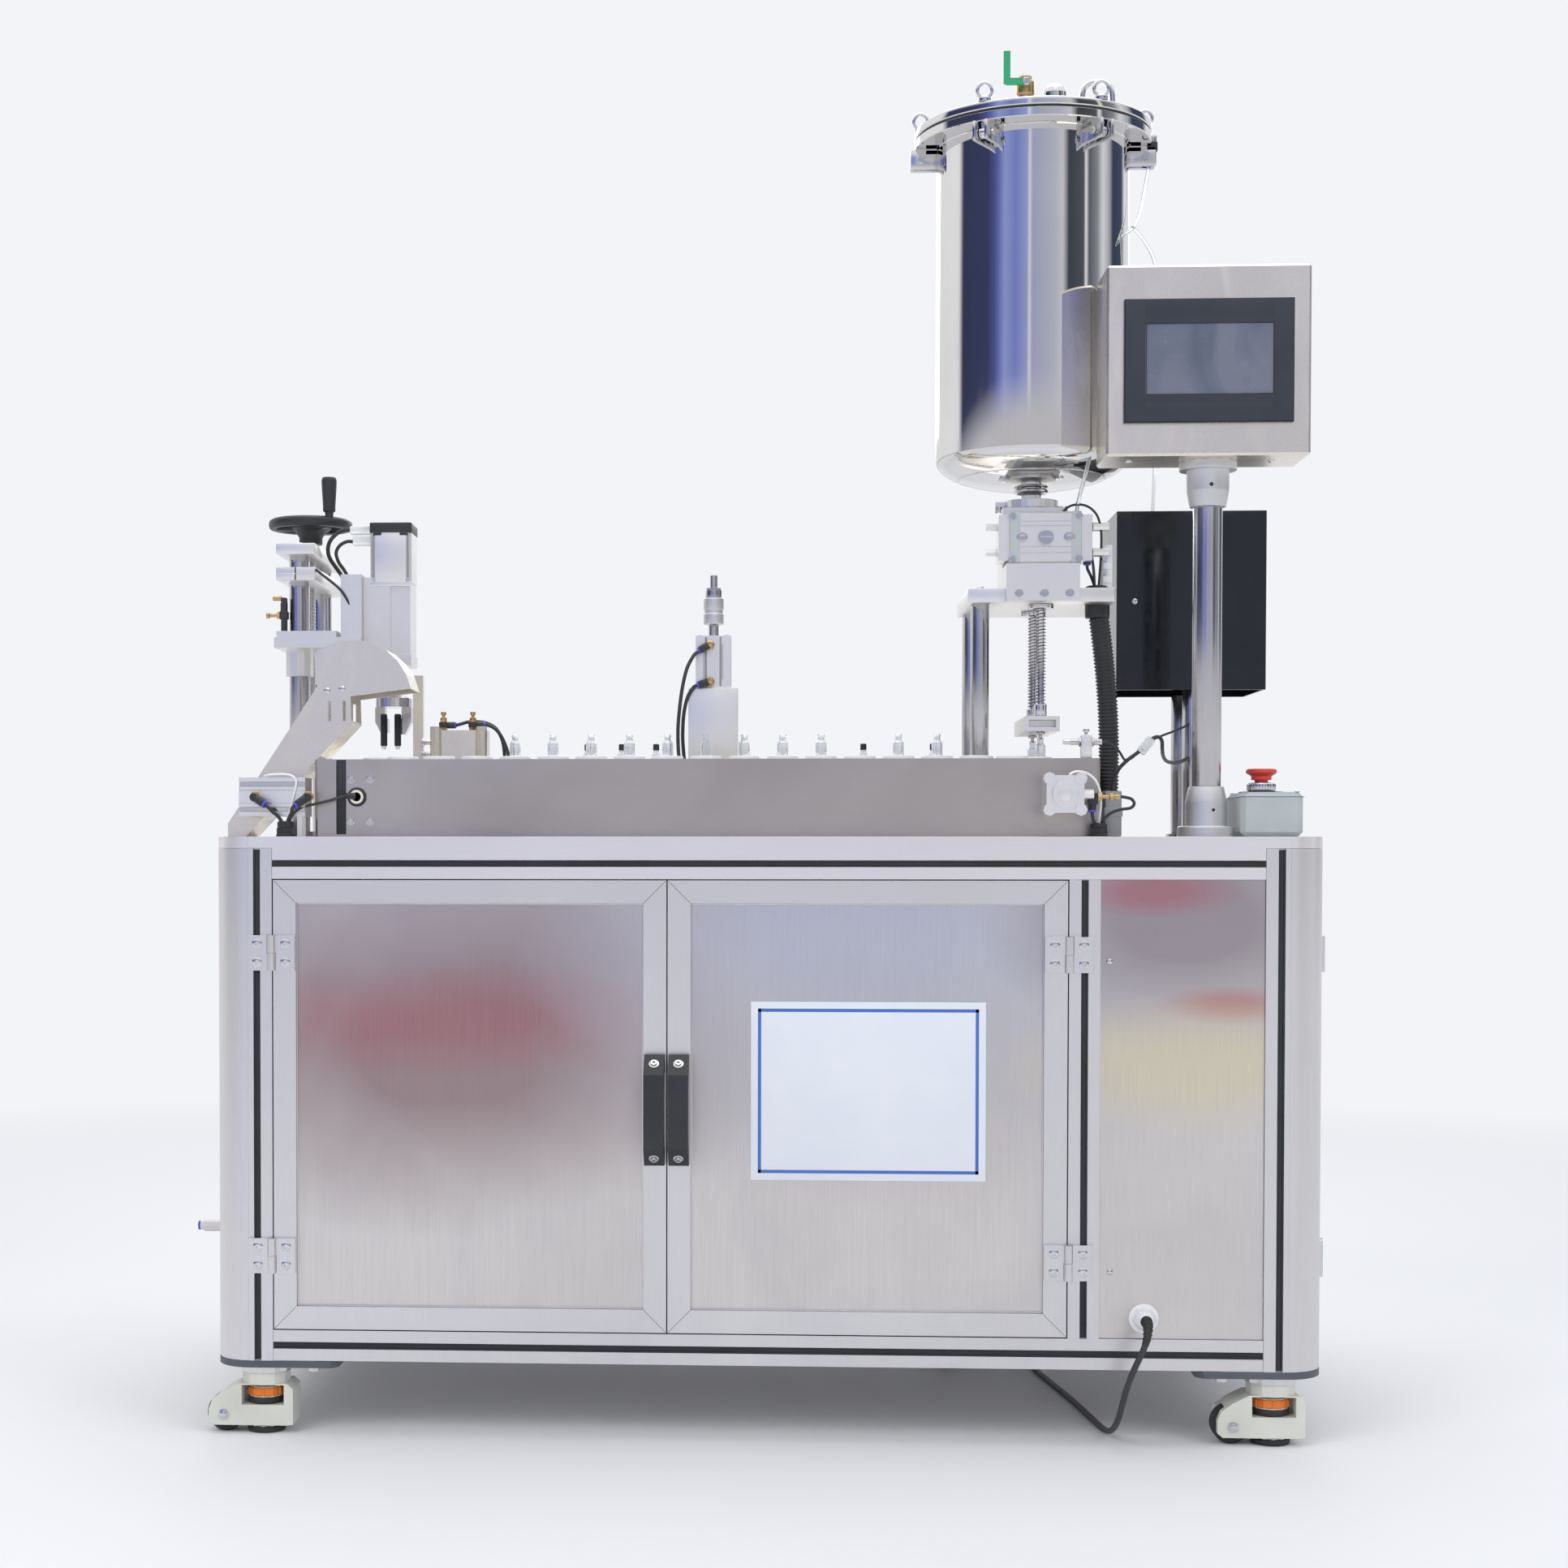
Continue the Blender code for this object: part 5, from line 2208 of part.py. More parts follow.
GREEN_PLASTIC = new_material("green_plastic", (0.03, 0.30, 0.16), 0.45)

for side_name, side_sign in (("left", -1), ("right", 1)):
    for end_name, at_rear in (("front", False), ("rear", True)):
        corner_post(f"corner_post_{end_name}_{side_name}", side_sign, at_rear)
        caster_at = CABINET_DEPTH - CASTER_Y if at_rear else CASTER_Y
        caster(f"{end_name}_{side_name}", side_sign * CASTER_X, caster_at)
table_top()
lower_frame()
front_panel()
left_panel()
rear_panel()
doors()
puck_chain()
conveyor_skirt()
conveyor_deck()
fill_stand()
valve_block()
rotary_actuator()
filling_nozzles()
bottle_guide()
tank_body()
tank_lid()
pump_station()
control_screen()
emergency_stop()
press_station()
lift_stand()
lift_carriage()
handwheel()
cap_head()
cap_chuck()
discharge_chute()
eject_cylinder()
transfer_cylinder()
cable_conduit()
mains_gland()
mains_lead()
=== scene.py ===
"""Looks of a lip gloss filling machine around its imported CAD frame. Lengths are millimetres on the
cabinet's own axes (X to the right, Y to the back from the front face, Z up) until put() places them."""

import itertools
import math

import bmesh
import bpy
from mathutils import Matrix, Vector


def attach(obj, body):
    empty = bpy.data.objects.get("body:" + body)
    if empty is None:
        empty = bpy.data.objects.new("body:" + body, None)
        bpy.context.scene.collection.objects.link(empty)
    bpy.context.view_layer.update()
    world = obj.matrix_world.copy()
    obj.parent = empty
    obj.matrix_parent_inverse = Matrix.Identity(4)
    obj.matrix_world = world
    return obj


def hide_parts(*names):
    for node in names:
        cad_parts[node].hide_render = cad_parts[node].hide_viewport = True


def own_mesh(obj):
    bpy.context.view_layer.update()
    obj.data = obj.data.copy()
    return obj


MM = 0.001
FRONT_FACE = (0.004, -0.332, 0)
BENCH = Matrix.Translation(FRONT_FACE) @ Matrix.Diagonal((MM, MM, MM, 1))
X, Y, Z = Vector((1, 0, 0)), Vector((0, 1, 0)), Vector((0, 0, 1))

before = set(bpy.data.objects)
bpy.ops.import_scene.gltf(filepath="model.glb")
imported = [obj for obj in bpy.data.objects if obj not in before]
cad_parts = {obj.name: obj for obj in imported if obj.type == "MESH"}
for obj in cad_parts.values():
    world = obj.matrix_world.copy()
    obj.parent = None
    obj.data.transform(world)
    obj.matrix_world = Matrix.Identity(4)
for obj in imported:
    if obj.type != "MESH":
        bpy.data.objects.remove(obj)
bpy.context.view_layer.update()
scene = bpy.context.scene


# Camera

def make_camera():
    camera = bpy.data.cameras.new("camera")
    camera.sensor_width = 36
    camera.lens = 55.9006
    camera.shift_x = 0.08458
    camera.shift_y = 0.08556
    camera.clip_start = 0.05
    camera.clip_end = 60
    view = bpy.data.objects.new("camera", camera)
    view.location = (0.0282, -3.4718, 0.7544)
    view.rotation_euler = [math.radians(angle) for angle in (88.6375, -0.035, 3.0807)]
    scene.collection.objects.link(view)
    scene.camera = view


make_camera()


# Mesh building

def axes_for(along):
    along = Vector(along).normalized()
    helper = X if abs(along.z) > 0.9 else Z
    across = helper.cross(along).normalized()
    return across, along.cross(across).normalized(), along


def rounded(profile, radius=0.7, steps=2):
    """Rounds the inner corners of a line of points."""
    points = [Vector(point) for point in profile]
    result = [points[0]]
    for before, point, after in zip(points, points[1:], points[2:]):
        back, ahead = before - point, after - point
        reach = min(radius, back.length * 0.45, ahead.length * 0.45)
        first = point + back.normalized() * reach
        last = point + ahead.normalized() * reach
        for step in range(steps + 1):
            t = step / steps
            result.append(first * (1 - t) ** 2 + point * 2 * t * (1 - t) + last * t ** 2)
    result.append(points[-1])
    return [tuple(point) for point in result]


def smooth(points, per=8):
    """Points on a Catmull-Rom curve through the given ones."""
    spots = [Vector(point) for point in points]
    ends = [spots[0] * 2 - spots[1], *spots, spots[-1] * 2 - spots[-2]]
    result = []
    for before, start, end, after in zip(ends, ends[1:], ends[2:], ends[3:]):
        for step in range(per):
            t = step / per
            result.append(0.5 * (
                2 * start + (end - before) * t
                + (2 * before - 5 * start + 4 * end - after) * t ** 2
                + (3 * start - before - 3 * end + after) * t ** 3
            ))
    result.append(spots[-1])
    return result


def circle(centre, radius, count, first=0.0, last=360.0):
    """Points around an upright axis, from one angle up to just before another."""
    for step in range(count):
        angle = math.radians(first + (last - first) * step / count)
        yield Vector(centre) + Vector((radius * math.cos(angle), radius * math.sin(angle), 0))


class Shape:
    """One mesh under construction; each call adds a form and returns the shape."""

    def __init__(self):
        self.mesh = bmesh.new()

    def take(self, part):
        bmesh.ops.recalc_face_normals(part, faces=part.faces[:])
        holder = bpy.data.meshes.new("part")
        part.to_mesh(holder)
        part.free()
        self.mesh.from_mesh(holder)
        bpy.data.meshes.remove(holder)
        return self

    def box(self, low, high, bevel=0.8, steps=2):
        part = bmesh.new()
        bmesh.ops.create_cube(part, size=1)
        size = Vector(high) - Vector(low)
        middle = (Vector(low) + Vector(high)) / 2
        for point in part.verts:
            point.co = point.co * size + middle
        bmesh.ops.bevel(
            part, geom=part.edges[:], offset=min(bevel, 0.45 * min(size)), segments=steps,
            affect="EDGES", profile=0.5,
        )
        return self.take(part)

    def lathe(self, profile, start=(0, 0, 0), axis=Z, steps=40, hexagonal=()):
        """profile holds (radius, distance along the axis); rings named in hexagonal have six sides."""
        across, up, along = axes_for(axis)
        part = bmesh.new()
        rings = []
        for index, (radius, reach) in enumerate(profile):
            middle = Vector(start) + along * reach
            if radius <= 1e-6:
                rings.append([part.verts.new(middle)])
                continue
            ring = []
            for step in range(steps):
                angle = math.tau * step / steps
                wide = radius
                if index in hexagonal:
                    wide *= math.cos(math.pi / 6) / math.cos(angle % (math.pi / 3) - math.pi / 6)
                ring.append(part.verts.new(
                    middle + across * wide * math.cos(angle) + up * wide * math.sin(angle)
                ))
            rings.append(ring)
        for ring, following in zip(rings, rings[1:]):
            join(part, ring, following)
        if profile[0] == profile[-1]:
            bmesh.ops.remove_doubles(part, verts=part.verts[:], dist=1e-5)
        else:
            close_ends(part, rings)
        return self.take(part)

    def turned(self, profile, edge, start=(0, 0, 0), axis=Z, steps=40):
        return self.lathe(rounded(profile, edge), start, axis, steps)

    def rod(self, start, axis, length, radius, edge=0.6, steps=40, end_radius=None):
        last = radius if end_radius is None else end_radius
        return self.turned(
            [(0, 0), (radius, 0), (last, length), (0, length)], edge, start, axis, steps
        )

    def nut(self, start, axis, length, radius, edge=0.5):
        """A hexagonal body, its corners at radius."""
        profile = [(0, 0), (radius - edge, 0), (radius, edge), (radius, length - edge),
                   (radius - edge, length), (0, length)]
        return self.lathe(profile, start, axis, 6)

    def socket_screw(self, start, axis, height, radius):
        profile = [(0, 0), (radius, 0), (radius, height * 0.8), (radius * 0.9, height),
                   (radius * 0.56, height), (radius * 0.52, height * 0.35), (0, height * 0.35)]
        return self.lathe(profile, start, axis, 24, hexagonal=(4, 5))

    def tube(self, points, radius, steps=12, radii=None):
        """A round bar swept along points without twist."""
        spots = [Vector(point) for point in points]
        part = bmesh.new()
        heading = (spots[1] - spots[0]).normalized()
        across, up, _ = axes_for(heading)
        rings = []
        for index, spot in enumerate(spots):
            before = spots[max(index - 1, 0)]
            after = spots[min(index + 1, len(spots) - 1)]
            ahead = (after - before).normalized()
            turn = heading.rotation_difference(ahead)
            across, up, heading = turn @ across, turn @ up, ahead
            wide = radii[index] if radii else radius
            angles = [math.tau * step / steps for step in range(steps)]
            rings.append([
                part.verts.new(spot + (across * math.cos(angle) + up * math.sin(angle)) * wide)
                for angle in angles
            ])
        for ring, following in zip(rings, rings[1:]):
            join(part, ring, following)
        close_ends(part, rings)
        return self.take(part)

    def ring(self, centre, axis, major, minor, steps=40, sides=12):
        angles = [math.tau * side / sides for side in range(sides)]
        profile = [(major + minor * math.cos(angle), minor * math.sin(angle)) for angle in angles]
        return self.lathe(profile + profile[:1], centre, axis, steps)

    def prism(self, outline, thickness, start, across, up, bevel=0.6):
        """A flat outline of (across, up) points made thick along across × up."""
        start, across, up = Vector(start), Vector(across), Vector(up)
        along = across.cross(up).normalized()
        part = bmesh.new()
        face = part.faces.new([part.verts.new(start + across * u + up * v) for u, v in outline])
        made = bmesh.ops.extrude_face_region(part, geom=[face])
        moved = [item for item in made["geom"] if isinstance(item, bmesh.types.BMVert)]
        bmesh.ops.translate(part, vec=along * thickness, verts=moved)
        bmesh.ops.recalc_face_normals(part, faces=part.faces[:])
        if bevel > 0:
            rims = [
                edge for edge in part.edges
                if abs((edge.verts[0].co - edge.verts[1].co).normalized().dot(along)) < 0.1
            ]
            bmesh.ops.bevel(part, geom=rims, offset=bevel, segments=2, affect="EDGES", profile=0.5)
        return self.take(part)

    def band(self, outer, inner, low, high):
        """An upright ring between two outlines with the same number of points."""
        part = bmesh.new()
        loops = [
            [part.verts.new((u, v, z)) for u, v in outline]
            for outline, z in ((outer, low), (outer, high), (inner, high), (inner, low))
        ]
        for ring, following in zip(loops, loops[1:] + loops[:1]):
            join(part, ring, following)
        return self.take(part)

    def ribs(self, centre, reach, count, height, radius, steps=6, edge=0.1):
        """Grip ribs, set upright around a collar."""
        for spot in circle(centre, reach, count):
            self.rod(spot, Z, height, radius, edge, steps)
        return self

    def moved(self, matrix):
        self.mesh.transform(matrix)
        return self


def join(part, ring, following):
    """Faces between two rings of points, either of which may be a single point."""
    steps = max(len(ring), len(following))
    for step in range(steps if len(ring) + len(following) > 2 else 0):
        after = (step + 1) % steps
        if len(ring) == 1:
            part.faces.new((ring[0], following[step], following[after]))
        elif len(following) == 1:
            part.faces.new((ring[step], ring[after], following[0]))
        else:
            part.faces.new((ring[step], ring[after], following[after], following[step]))


def close_ends(part, rings):
    for ring in (rings[0], rings[-1]):
        if len(ring) > 1:
            part.faces.new(ring)


def put(name, shape, material, body="cabinet", slot=None, angle=38, replaces=()):
    """Places a shape on its body in the row's frame, with its material; the material's slot is looked
    up but not used.
    """
    mesh = bpy.data.meshes.new(name)
    shape.mesh.to_mesh(mesh)
    shape.mesh.free()
    mesh.transform(BENCH)
    mesh.shade_smooth()
    mesh.set_sharp_from_angle(angle=math.radians(angle))
    mesh.materials.append(material)
    piece = bpy.data.objects.new(name, mesh)
    scene.collection.objects.link(piece)
    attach(piece, body)
    slot = SLOTS[material.name] if slot is None else slot
    if replaces:
        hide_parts(*replaces)
    return piece


# Materials

def add_node(tree, kind, inputs=None, **settings):
    """A node with its settings; an input is a value or the socket that feeds it."""
    node = tree.nodes.new(kind)
    for key, value in settings.items():
        setattr(node, key, value)
    for key, value in (inputs or {}).items():
        if isinstance(value, bpy.types.NodeSocket):
            tree.links.new(value, node.inputs[key])
        else:
            node.inputs[key].default_value = value
    return node


def mixed(tree, factor, a, b):
    tones = [(*tone, 1) if isinstance(tone, tuple) else tone for tone in (a, b)]
    return add_node(
        tree, "ShaderNodeMix", {0: factor, 6: tones[0], 7: tones[1]}, data_type="RGBA"
    ).outputs[2]


class Look:
    """A Principled material whose nodes read the object's own coordinates."""

    def __init__(self, name, colour, roughness, metallic=0.0, **constants):
        self.material = bpy.data.materials.new(name)
        self.material.use_nodes = True
        self.tree = self.material.node_tree
        self.shader = self.tree.nodes["Principled BSDF"]
        self.set("Base Color", (*colour, 1))
        self.set("Roughness", roughness)
        self.set("Metallic", metallic)
        for key, value in constants.items():
            self.set(key.replace("_", " ").title().replace("Ior", "IOR"), value)
        self.place = self.node("ShaderNodeTexCoord").outputs["Object"]
        self.normal = None

    def set(self, socket, value):
        self.shader.inputs[socket].default_value = value

    def link(self, value, socket):
        self.tree.links.new(value, self.shader.inputs[socket])

    def node(self, kind, inputs=None, **settings):
        return add_node(self.tree, kind, inputs, **settings)

    def noise(self, scale, detail=3.0, rough=0.55, distortion=0.0):
        """scale is features per metre, the same all ways or along X, Y and Z."""
        scale = scale if isinstance(scale, tuple) else (scale,) * 3
        place = self.node("ShaderNodeMapping", {"Vector": self.place, "Scale": scale}).outputs[0]
        return self.node("ShaderNodeTexNoise", {
            "Vector": place, "Scale": 1.0, "Detail": detail, "Roughness": rough,
            "Distortion": distortion,
        }).outputs["Fac"]

    def spread(self, value, low, high, to_low, to_high):
        return self.node("ShaderNodeMapRange", {
            "Value": value, "From Min": low, "From Max": high, "To Min": to_low, "To Max": to_high,
        }, clamp=True).outputs["Result"]

    def combine(self, operation, a, b):
        return self.node("ShaderNodeMath", {0: a, 1: b}, operation=operation).outputs[0]

    def mix(self, factor, a, b):
        return mixed(self.tree, factor, a, b)

    def colour(self, socket):
        self.link(socket, "Base Color")

    def rough(self, socket):
        self.link(socket, "Roughness")

    def soften(self, radius):
        """Rounds the machined edges in the shading."""
        bevel = self.node("ShaderNodeBevel", {"Radius": radius * MM}, samples=4)
        self.normal = bevel.outputs["Normal"]
        self.link(self.normal, "Normal")

    def bump(self, height, depth):
        inputs = {"Height": height, "Distance": depth * MM, "Strength": 1.0}
        if self.normal is not None:
            inputs["Normal"] = self.normal
        self.normal = self.node("ShaderNodeBump", inputs).outputs["Normal"]
        self.link(self.normal, "Normal")


ALONG_X = (14.0, 1500.0, 1500.0)
ALONG_Z = (1500.0, 1500.0, 14.0)
FINE = (1100.0, 1100.0, 1100.0)


def metal(name, colour, shade, roughness, spread, grain, depth, soften=0.0, cloud=5.0, smear=0.0):
    """Metal with grain stretched along one axis, slow changes of tone and faint wipe marks."""
    look = Look(name, colour, roughness, 1.0)
    if soften:
        look.soften(soften)
    clouds = look.noise(cloud, 3.0, 0.6, 0.6)
    fine = look.noise(grain, 2.0, 0.6)
    tone = look.mix(look.spread(clouds, 0.34, 0.68, 0.0, 1.0), colour, shade)
    faint = look.combine("MULTIPLY", look.spread(fine, 0.3, 0.7, 0.0, 1.0), 0.35)
    look.colour(look.mix(faint, tone, tuple(value * 0.93 for value in shade)))
    marks = look.noise((cloud * 4, cloud * 4, cloud * 1.4), 4.0, 0.7, 1.5)
    look.rough(look.combine(
        "ADD", look.spread(fine, 0.3, 0.7, roughness - spread, roughness + spread),
        look.spread(marks, 0.5, 0.75, 0.0, 0.06 + smear),
    ))
    look.bump(fine, depth)
    return look.material


def plastic(name, colour, shade, roughness, texture=900.0, depth=0.02, soften=0.5, dust=0.0):
    """Moulded plastic with a fine texture, slow tone changes and a little dust or wear."""
    look = Look(name, colour, roughness)
    if soften:
        look.soften(soften)
    clouds = look.noise(9.0, 3.0, 0.6)
    tone = look.mix(look.spread(clouds, 0.35, 0.7, 0.0, 1.0), colour, shade)
    if dust:
        specks = look.noise(420.0, 4.0, 0.75)
        pale = tuple(min(value + 0.16, 1) for value in shade)
        tone = look.mix(look.spread(specks, 0.62, 0.8, 0.0, dust), tone, pale)
    look.colour(tone)
    fine = look.noise(texture, 3.0, 0.6)
    wear = look.noise(30.0, 4.0, 0.7, 1.0)
    look.rough(look.combine(
        "ADD", look.spread(fine, 0.3, 0.7, roughness - 0.05, roughness + 0.05),
        look.spread(wear, 0.52, 0.72, 0.0, 0.09),
    ))
    look.bump(fine, depth)
    return look.material


def clear(name, colour, roughness, through):
    """Clear or milky plastic; through is the share of light that it lets pass."""
    look = Look(name, colour, roughness, transmission_weight=through, ior=1.42)
    cloud = look.noise(120.0, 3.0, 0.6)
    shade = tuple(value * 0.94 for value in colour)
    look.colour(look.mix(look.spread(cloud, 0.35, 0.7, 0.0, 1.0), colour, shade))
    look.rough(look.spread(cloud, 0.35, 0.7, roughness, roughness + 0.06))
    look.bump(look.noise(500.0, 2.0), 0.01)
    return look.material


def sheet(name, spots=()):
    """Brushed sheet with painted reflections; each spot is a painted reflection patch: an (x, z)
    centre, its reach, a tone and how strong it is.
    """
    look = Look(name, (0.66, 0.655, 0.655), 0.32, 1.0)
    look.soften(0.4)
    clouds = look.noise(2.2, 3.0, 0.6, 0.6)
    fine = look.noise(ALONG_Z, 2.0, 0.6)
    tone = look.mix(look.spread(clouds, 0.34, 0.68, 0.0, 1.0), (0.74, 0.71, 0.68), (0.66, 0.63, 0.605))
    # Each spot paints a reflection patch (dark, reddish, bluish or pale) into the base colour.
    for (x, z), (width, height), shade, strength in spots:
        spot = look.node("ShaderNodeMapping", {
            "Vector": look.place, "Location": (-x / width, 0, -z / height),
            "Scale": (1 / width, 0, 1 / height),
        }).outputs[0]
        away = look.node("ShaderNodeVectorMath", {0: spot}, operation="LENGTH").outputs["Value"]
        away = look.combine("ADD", away, look.spread(clouds, 0.3, 0.7, -0.22, 0.22))
        tone = look.mix(look.spread(away, 0.3, 1.25, strength, 0.0), tone, shade)
    look.colour(look.mix(look.spread(fine, 0.3, 0.7, 0.0, 0.22), tone, (0.45, 0.43, 0.43)))
    marks = look.noise((9.0, 9.0, 4.0), 4.0, 0.7, 1.5)
    look.rough(look.combine(
        "ADD", look.spread(fine, 0.3, 0.7, 0.29, 0.38), look.spread(marks, 0.5, 0.75, 0.0, 0.1)
    ))
    look.bump(fine, 0.002)
    return look.material


def glass_screen():
    look = Look("screen", (0.17, 0.185, 0.25), 0.13, 0.0, coat_weight=0.6, coat_roughness=0.05)
    haze = look.noise((9.0, 9.0, 6.0), 3.0, 0.6, 1.2)
    specks = look.noise(160.0, 4.0, 0.7)
    tone = look.mix(
        look.spread(haze, 0.42, 0.62, 0.0, 1.0), (0.14, 0.155, 0.205), (0.085, 0.10, 0.145)
    )
    look.colour(look.mix(look.spread(specks, 0.6, 0.78, 0.0, 0.3), tone, (0.30, 0.31, 0.37)))
    look.rough(look.spread(specks, 0.4, 0.7, 0.12, 0.24))
    look.bump(specks, 0.004)
    return look.material


PROFILE = metal(
    "profile", (0.76, 0.745, 0.745), (0.70, 0.685, 0.69), 0.36, 0.04, ALONG_Z, 0.002, 0.6, 2.2
)
TABLE = metal(
    "table", (0.90, 0.875, 0.87), (0.83, 0.80, 0.80), 0.32, 0.05, ALONG_X, 0.003, 0.8, 2.0
)
STEEL = metal(
    "steel", (0.90, 0.855, 0.77), (0.78, 0.73, 0.65), 0.29, 0.05, FINE, 0.004, 0.4, 3.2, 0.06
)
SKIRT = metal(
    "skirt", (0.56, 0.52, 0.49), (0.42, 0.385, 0.365), 0.33, 0.04, FINE, 0.005, 0.4, 2.4, 0.04
)
POLISHED = metal(
    "polished", (0.74, 0.73, 0.72), (0.68, 0.67, 0.665), 0.045, 0.012, ALONG_Z, 0.0004, 0.3, 4.0,
    -0.03,
)
CHROME = metal("chrome", (0.70, 0.70, 0.71), (0.60, 0.60, 0.62), 0.12, 0.03, FINE, 0.001, 0.0, 9.0)
SHAFT = metal("shaft", (0.58, 0.575, 0.59), (0.48, 0.475, 0.49), 0.2, 0.05, ALONG_Z, 0.002, 0.0, 6.0)
MACHINED = metal(
    "machined", (0.90, 0.89, 0.875), (0.83, 0.82, 0.81), 0.40, 0.05, FINE, 0.004, 0.7, 7.0
)
MATT_ALUMINIUM = metal(
    "matt_aluminium", (0.72, 0.72, 0.73), (0.66, 0.66, 0.675), 0.46, 0.04, FINE, 0.006, 0.0, 9.0
)
GREY_BLOCK = metal(
    "grey_block", (0.43, 0.43, 0.45), (0.39, 0.39, 0.41), 0.5, 0.04, FINE, 0.006, 0.7, 11.0
)
BRASS = metal("brass", (0.66, 0.47, 0.22), (0.52, 0.36, 0.17), 0.24, 0.05, FINE, 0.002, 0.0, 60.0)
HEAD_METAL = metal(
    "head_metal", (0.86, 0.855, 0.85), (0.80, 0.795, 0.79), 0.5, 0.04, FINE, 0.005, 0.7, 9.0
)
SPRING = metal("spring", (0.36, 0.35, 0.36), (0.27, 0.26, 0.27), 0.26, 0.04, FINE, 0.001, 0.0, 30.0)
# The spots are painted reflections and painted shade on the doors and front panel: dark, reddish,
# bluish and pale warm patches.
SHEET = sheet("sheet", (
    ((-0.377, 0.66), (0.40, 0.14), (0.46, 0.40, 0.43), 0.9),
    ((-0.40, 0.50), (0.36, 0.17), (0.31, 0.20, 0.205), 0.85),
    ((-0.44, 0.545), (0.26, 0.06), (0.46, 0.14, 0.17), 0.5),
    ((0.137, 0.66), (0.34, 0.17), (0.58, 0.60, 0.70), 0.9),
    ((0.137, 0.47), (0.34, 0.13), (0.54, 0.53, 0.56), 0.7),
    ((0.54, 0.68), (0.20, 0.13), (0.36, 0.31, 0.34), 0.9),
    ((0.50, 0.715), (0.09, 0.026), (0.50, 0.12, 0.16), 0.6),
    ((0.60, 0.57), (0.07, 0.02), (0.56, 0.16, 0.14), 0.6),
    ((0.54, 0.49), (0.20, 0.07), (0.78, 0.70, 0.48), 0.75),
))
BACK_SHEET = sheet("back_sheet")
BLACK = plastic("black", (0.017, 0.018, 0.021), (0.028, 0.029, 0.033), 0.42, dust=0.25)
SLATE = plastic("slate", (0.075, 0.085, 0.10), (0.095, 0.105, 0.125), 0.5, dust=0.2)
SLOT_BLACK = plastic("slot_black", (0.012, 0.014, 0.017), (0.02, 0.024, 0.028), 0.5, dust=0.2)
GLOSS = plastic("gloss_black", (0.006, 0.007, 0.010), (0.010, 0.012, 0.016), 0.09, 90.0, 0.003, 0.4)
RUBBER = plastic("rubber", (0.020, 0.020, 0.021), (0.034, 0.033, 0.033), 0.62, 500.0, 0.05, 0.0, 0.4)
CORD = plastic("cord", (0.026, 0.027, 0.032), (0.040, 0.041, 0.047), 0.5, 700.0, 0.02, 0.0, 0.2)
CREAM = plastic("cream", (0.70, 0.71, 0.66), (0.60, 0.61, 0.55), 0.36, 260.0, 0.05, 0.6, 0.3)
WHITE = plastic("white", (0.80, 0.81, 0.83), (0.74, 0.75, 0.78), 0.34, 600.0, 0.01, 0.3)
GREY = plastic("grey", (0.020, 0.025, 0.036), (0.026, 0.031, 0.044), 0.5, 800.0, 0.02, 0.3)
GREY_GREEN = plastic(
    "grey_green", (0.44, 0.485, 0.50), (0.39, 0.43, 0.45), 0.5, 520.0, 0.03, 0.8, 0.15
)
RED = plastic("red", (0.62, 0.055, 0.035), (0.50, 0.04, 0.03), 0.36, 500.0, 0.01, 0.4)
GREEN = plastic("green", (0.02, 0.38, 0.17), (0.03, 0.30, 0.14), 0.33, 500.0, 0.02, 0.4)
ORANGE = plastic("orange", (0.86, 0.24, 0.02), (0.70, 0.16, 0.02), 0.4, 500.0, 0.02, 0.4)
BLUE = plastic("blue", (0.07, 0.08, 0.62), (0.06, 0.06, 0.48), 0.3, 500.0, 0.01, 0.0)
CERAMIC = plastic("ceramic", (0.76, 0.74, 0.68), (0.66, 0.64, 0.58), 0.34, 500.0, 0.01, 0.0)
LABEL = plastic("label", (0.72, 0.75, 0.82), (0.68, 0.715, 0.79), 0.42, 700.0, 0.004, 0.0)
BORDER = plastic("border", (0.05, 0.14, 0.47), (0.06, 0.16, 0.50), 0.4, 700.0, 0.004, 0.0)
CLEAR = clear("clear", (0.93, 0.95, 0.97), 0.05, 0.92)
CLEAR_TUBE = clear("clear_tube", (0.90, 0.93, 0.94), 0.08, 0.85)
MILKY = clear("milky", (0.86, 0.88, 0.89), 0.18, 0.35)
SCREEN = glass_screen()

SLOT_MATERIALS = {
    "profile": (PROFILE, TABLE),
    "polished_steel": (POLISHED,),
    "steel": (CHROME, SHAFT, BRASS, SPRING, SLATE),
    "machined_aluminium": (MACHINED, MATT_ALUMINIUM, GREY_BLOCK),
    "black_plastic": (BLACK, SLOT_BLACK, ORANGE),
    "gloss_black": (GLOSS,),
    "black_rubber": (RUBBER,),
    "white_plastic": (WHITE, MILKY, CLEAR, CERAMIC, LABEL),
    "grey_plastic": (GREY, BLUE, BORDER),
    "grey_green_plastic": (GREY_GREEN,),
    "red_plastic": (RED,),
}
SLOTS = {look.name: slot for slot, looks in SLOT_MATERIALS.items() for look in looks}


# CAD nodes that keep their shape get their material

CORNERS = [f"{end}_{side}" for end in ("front", "rear") for side in ("left", "right")]


def dress(material, *names):
    for name in names:
        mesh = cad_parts[name].data
        mesh.materials.clear()
        mesh.materials.append(material)


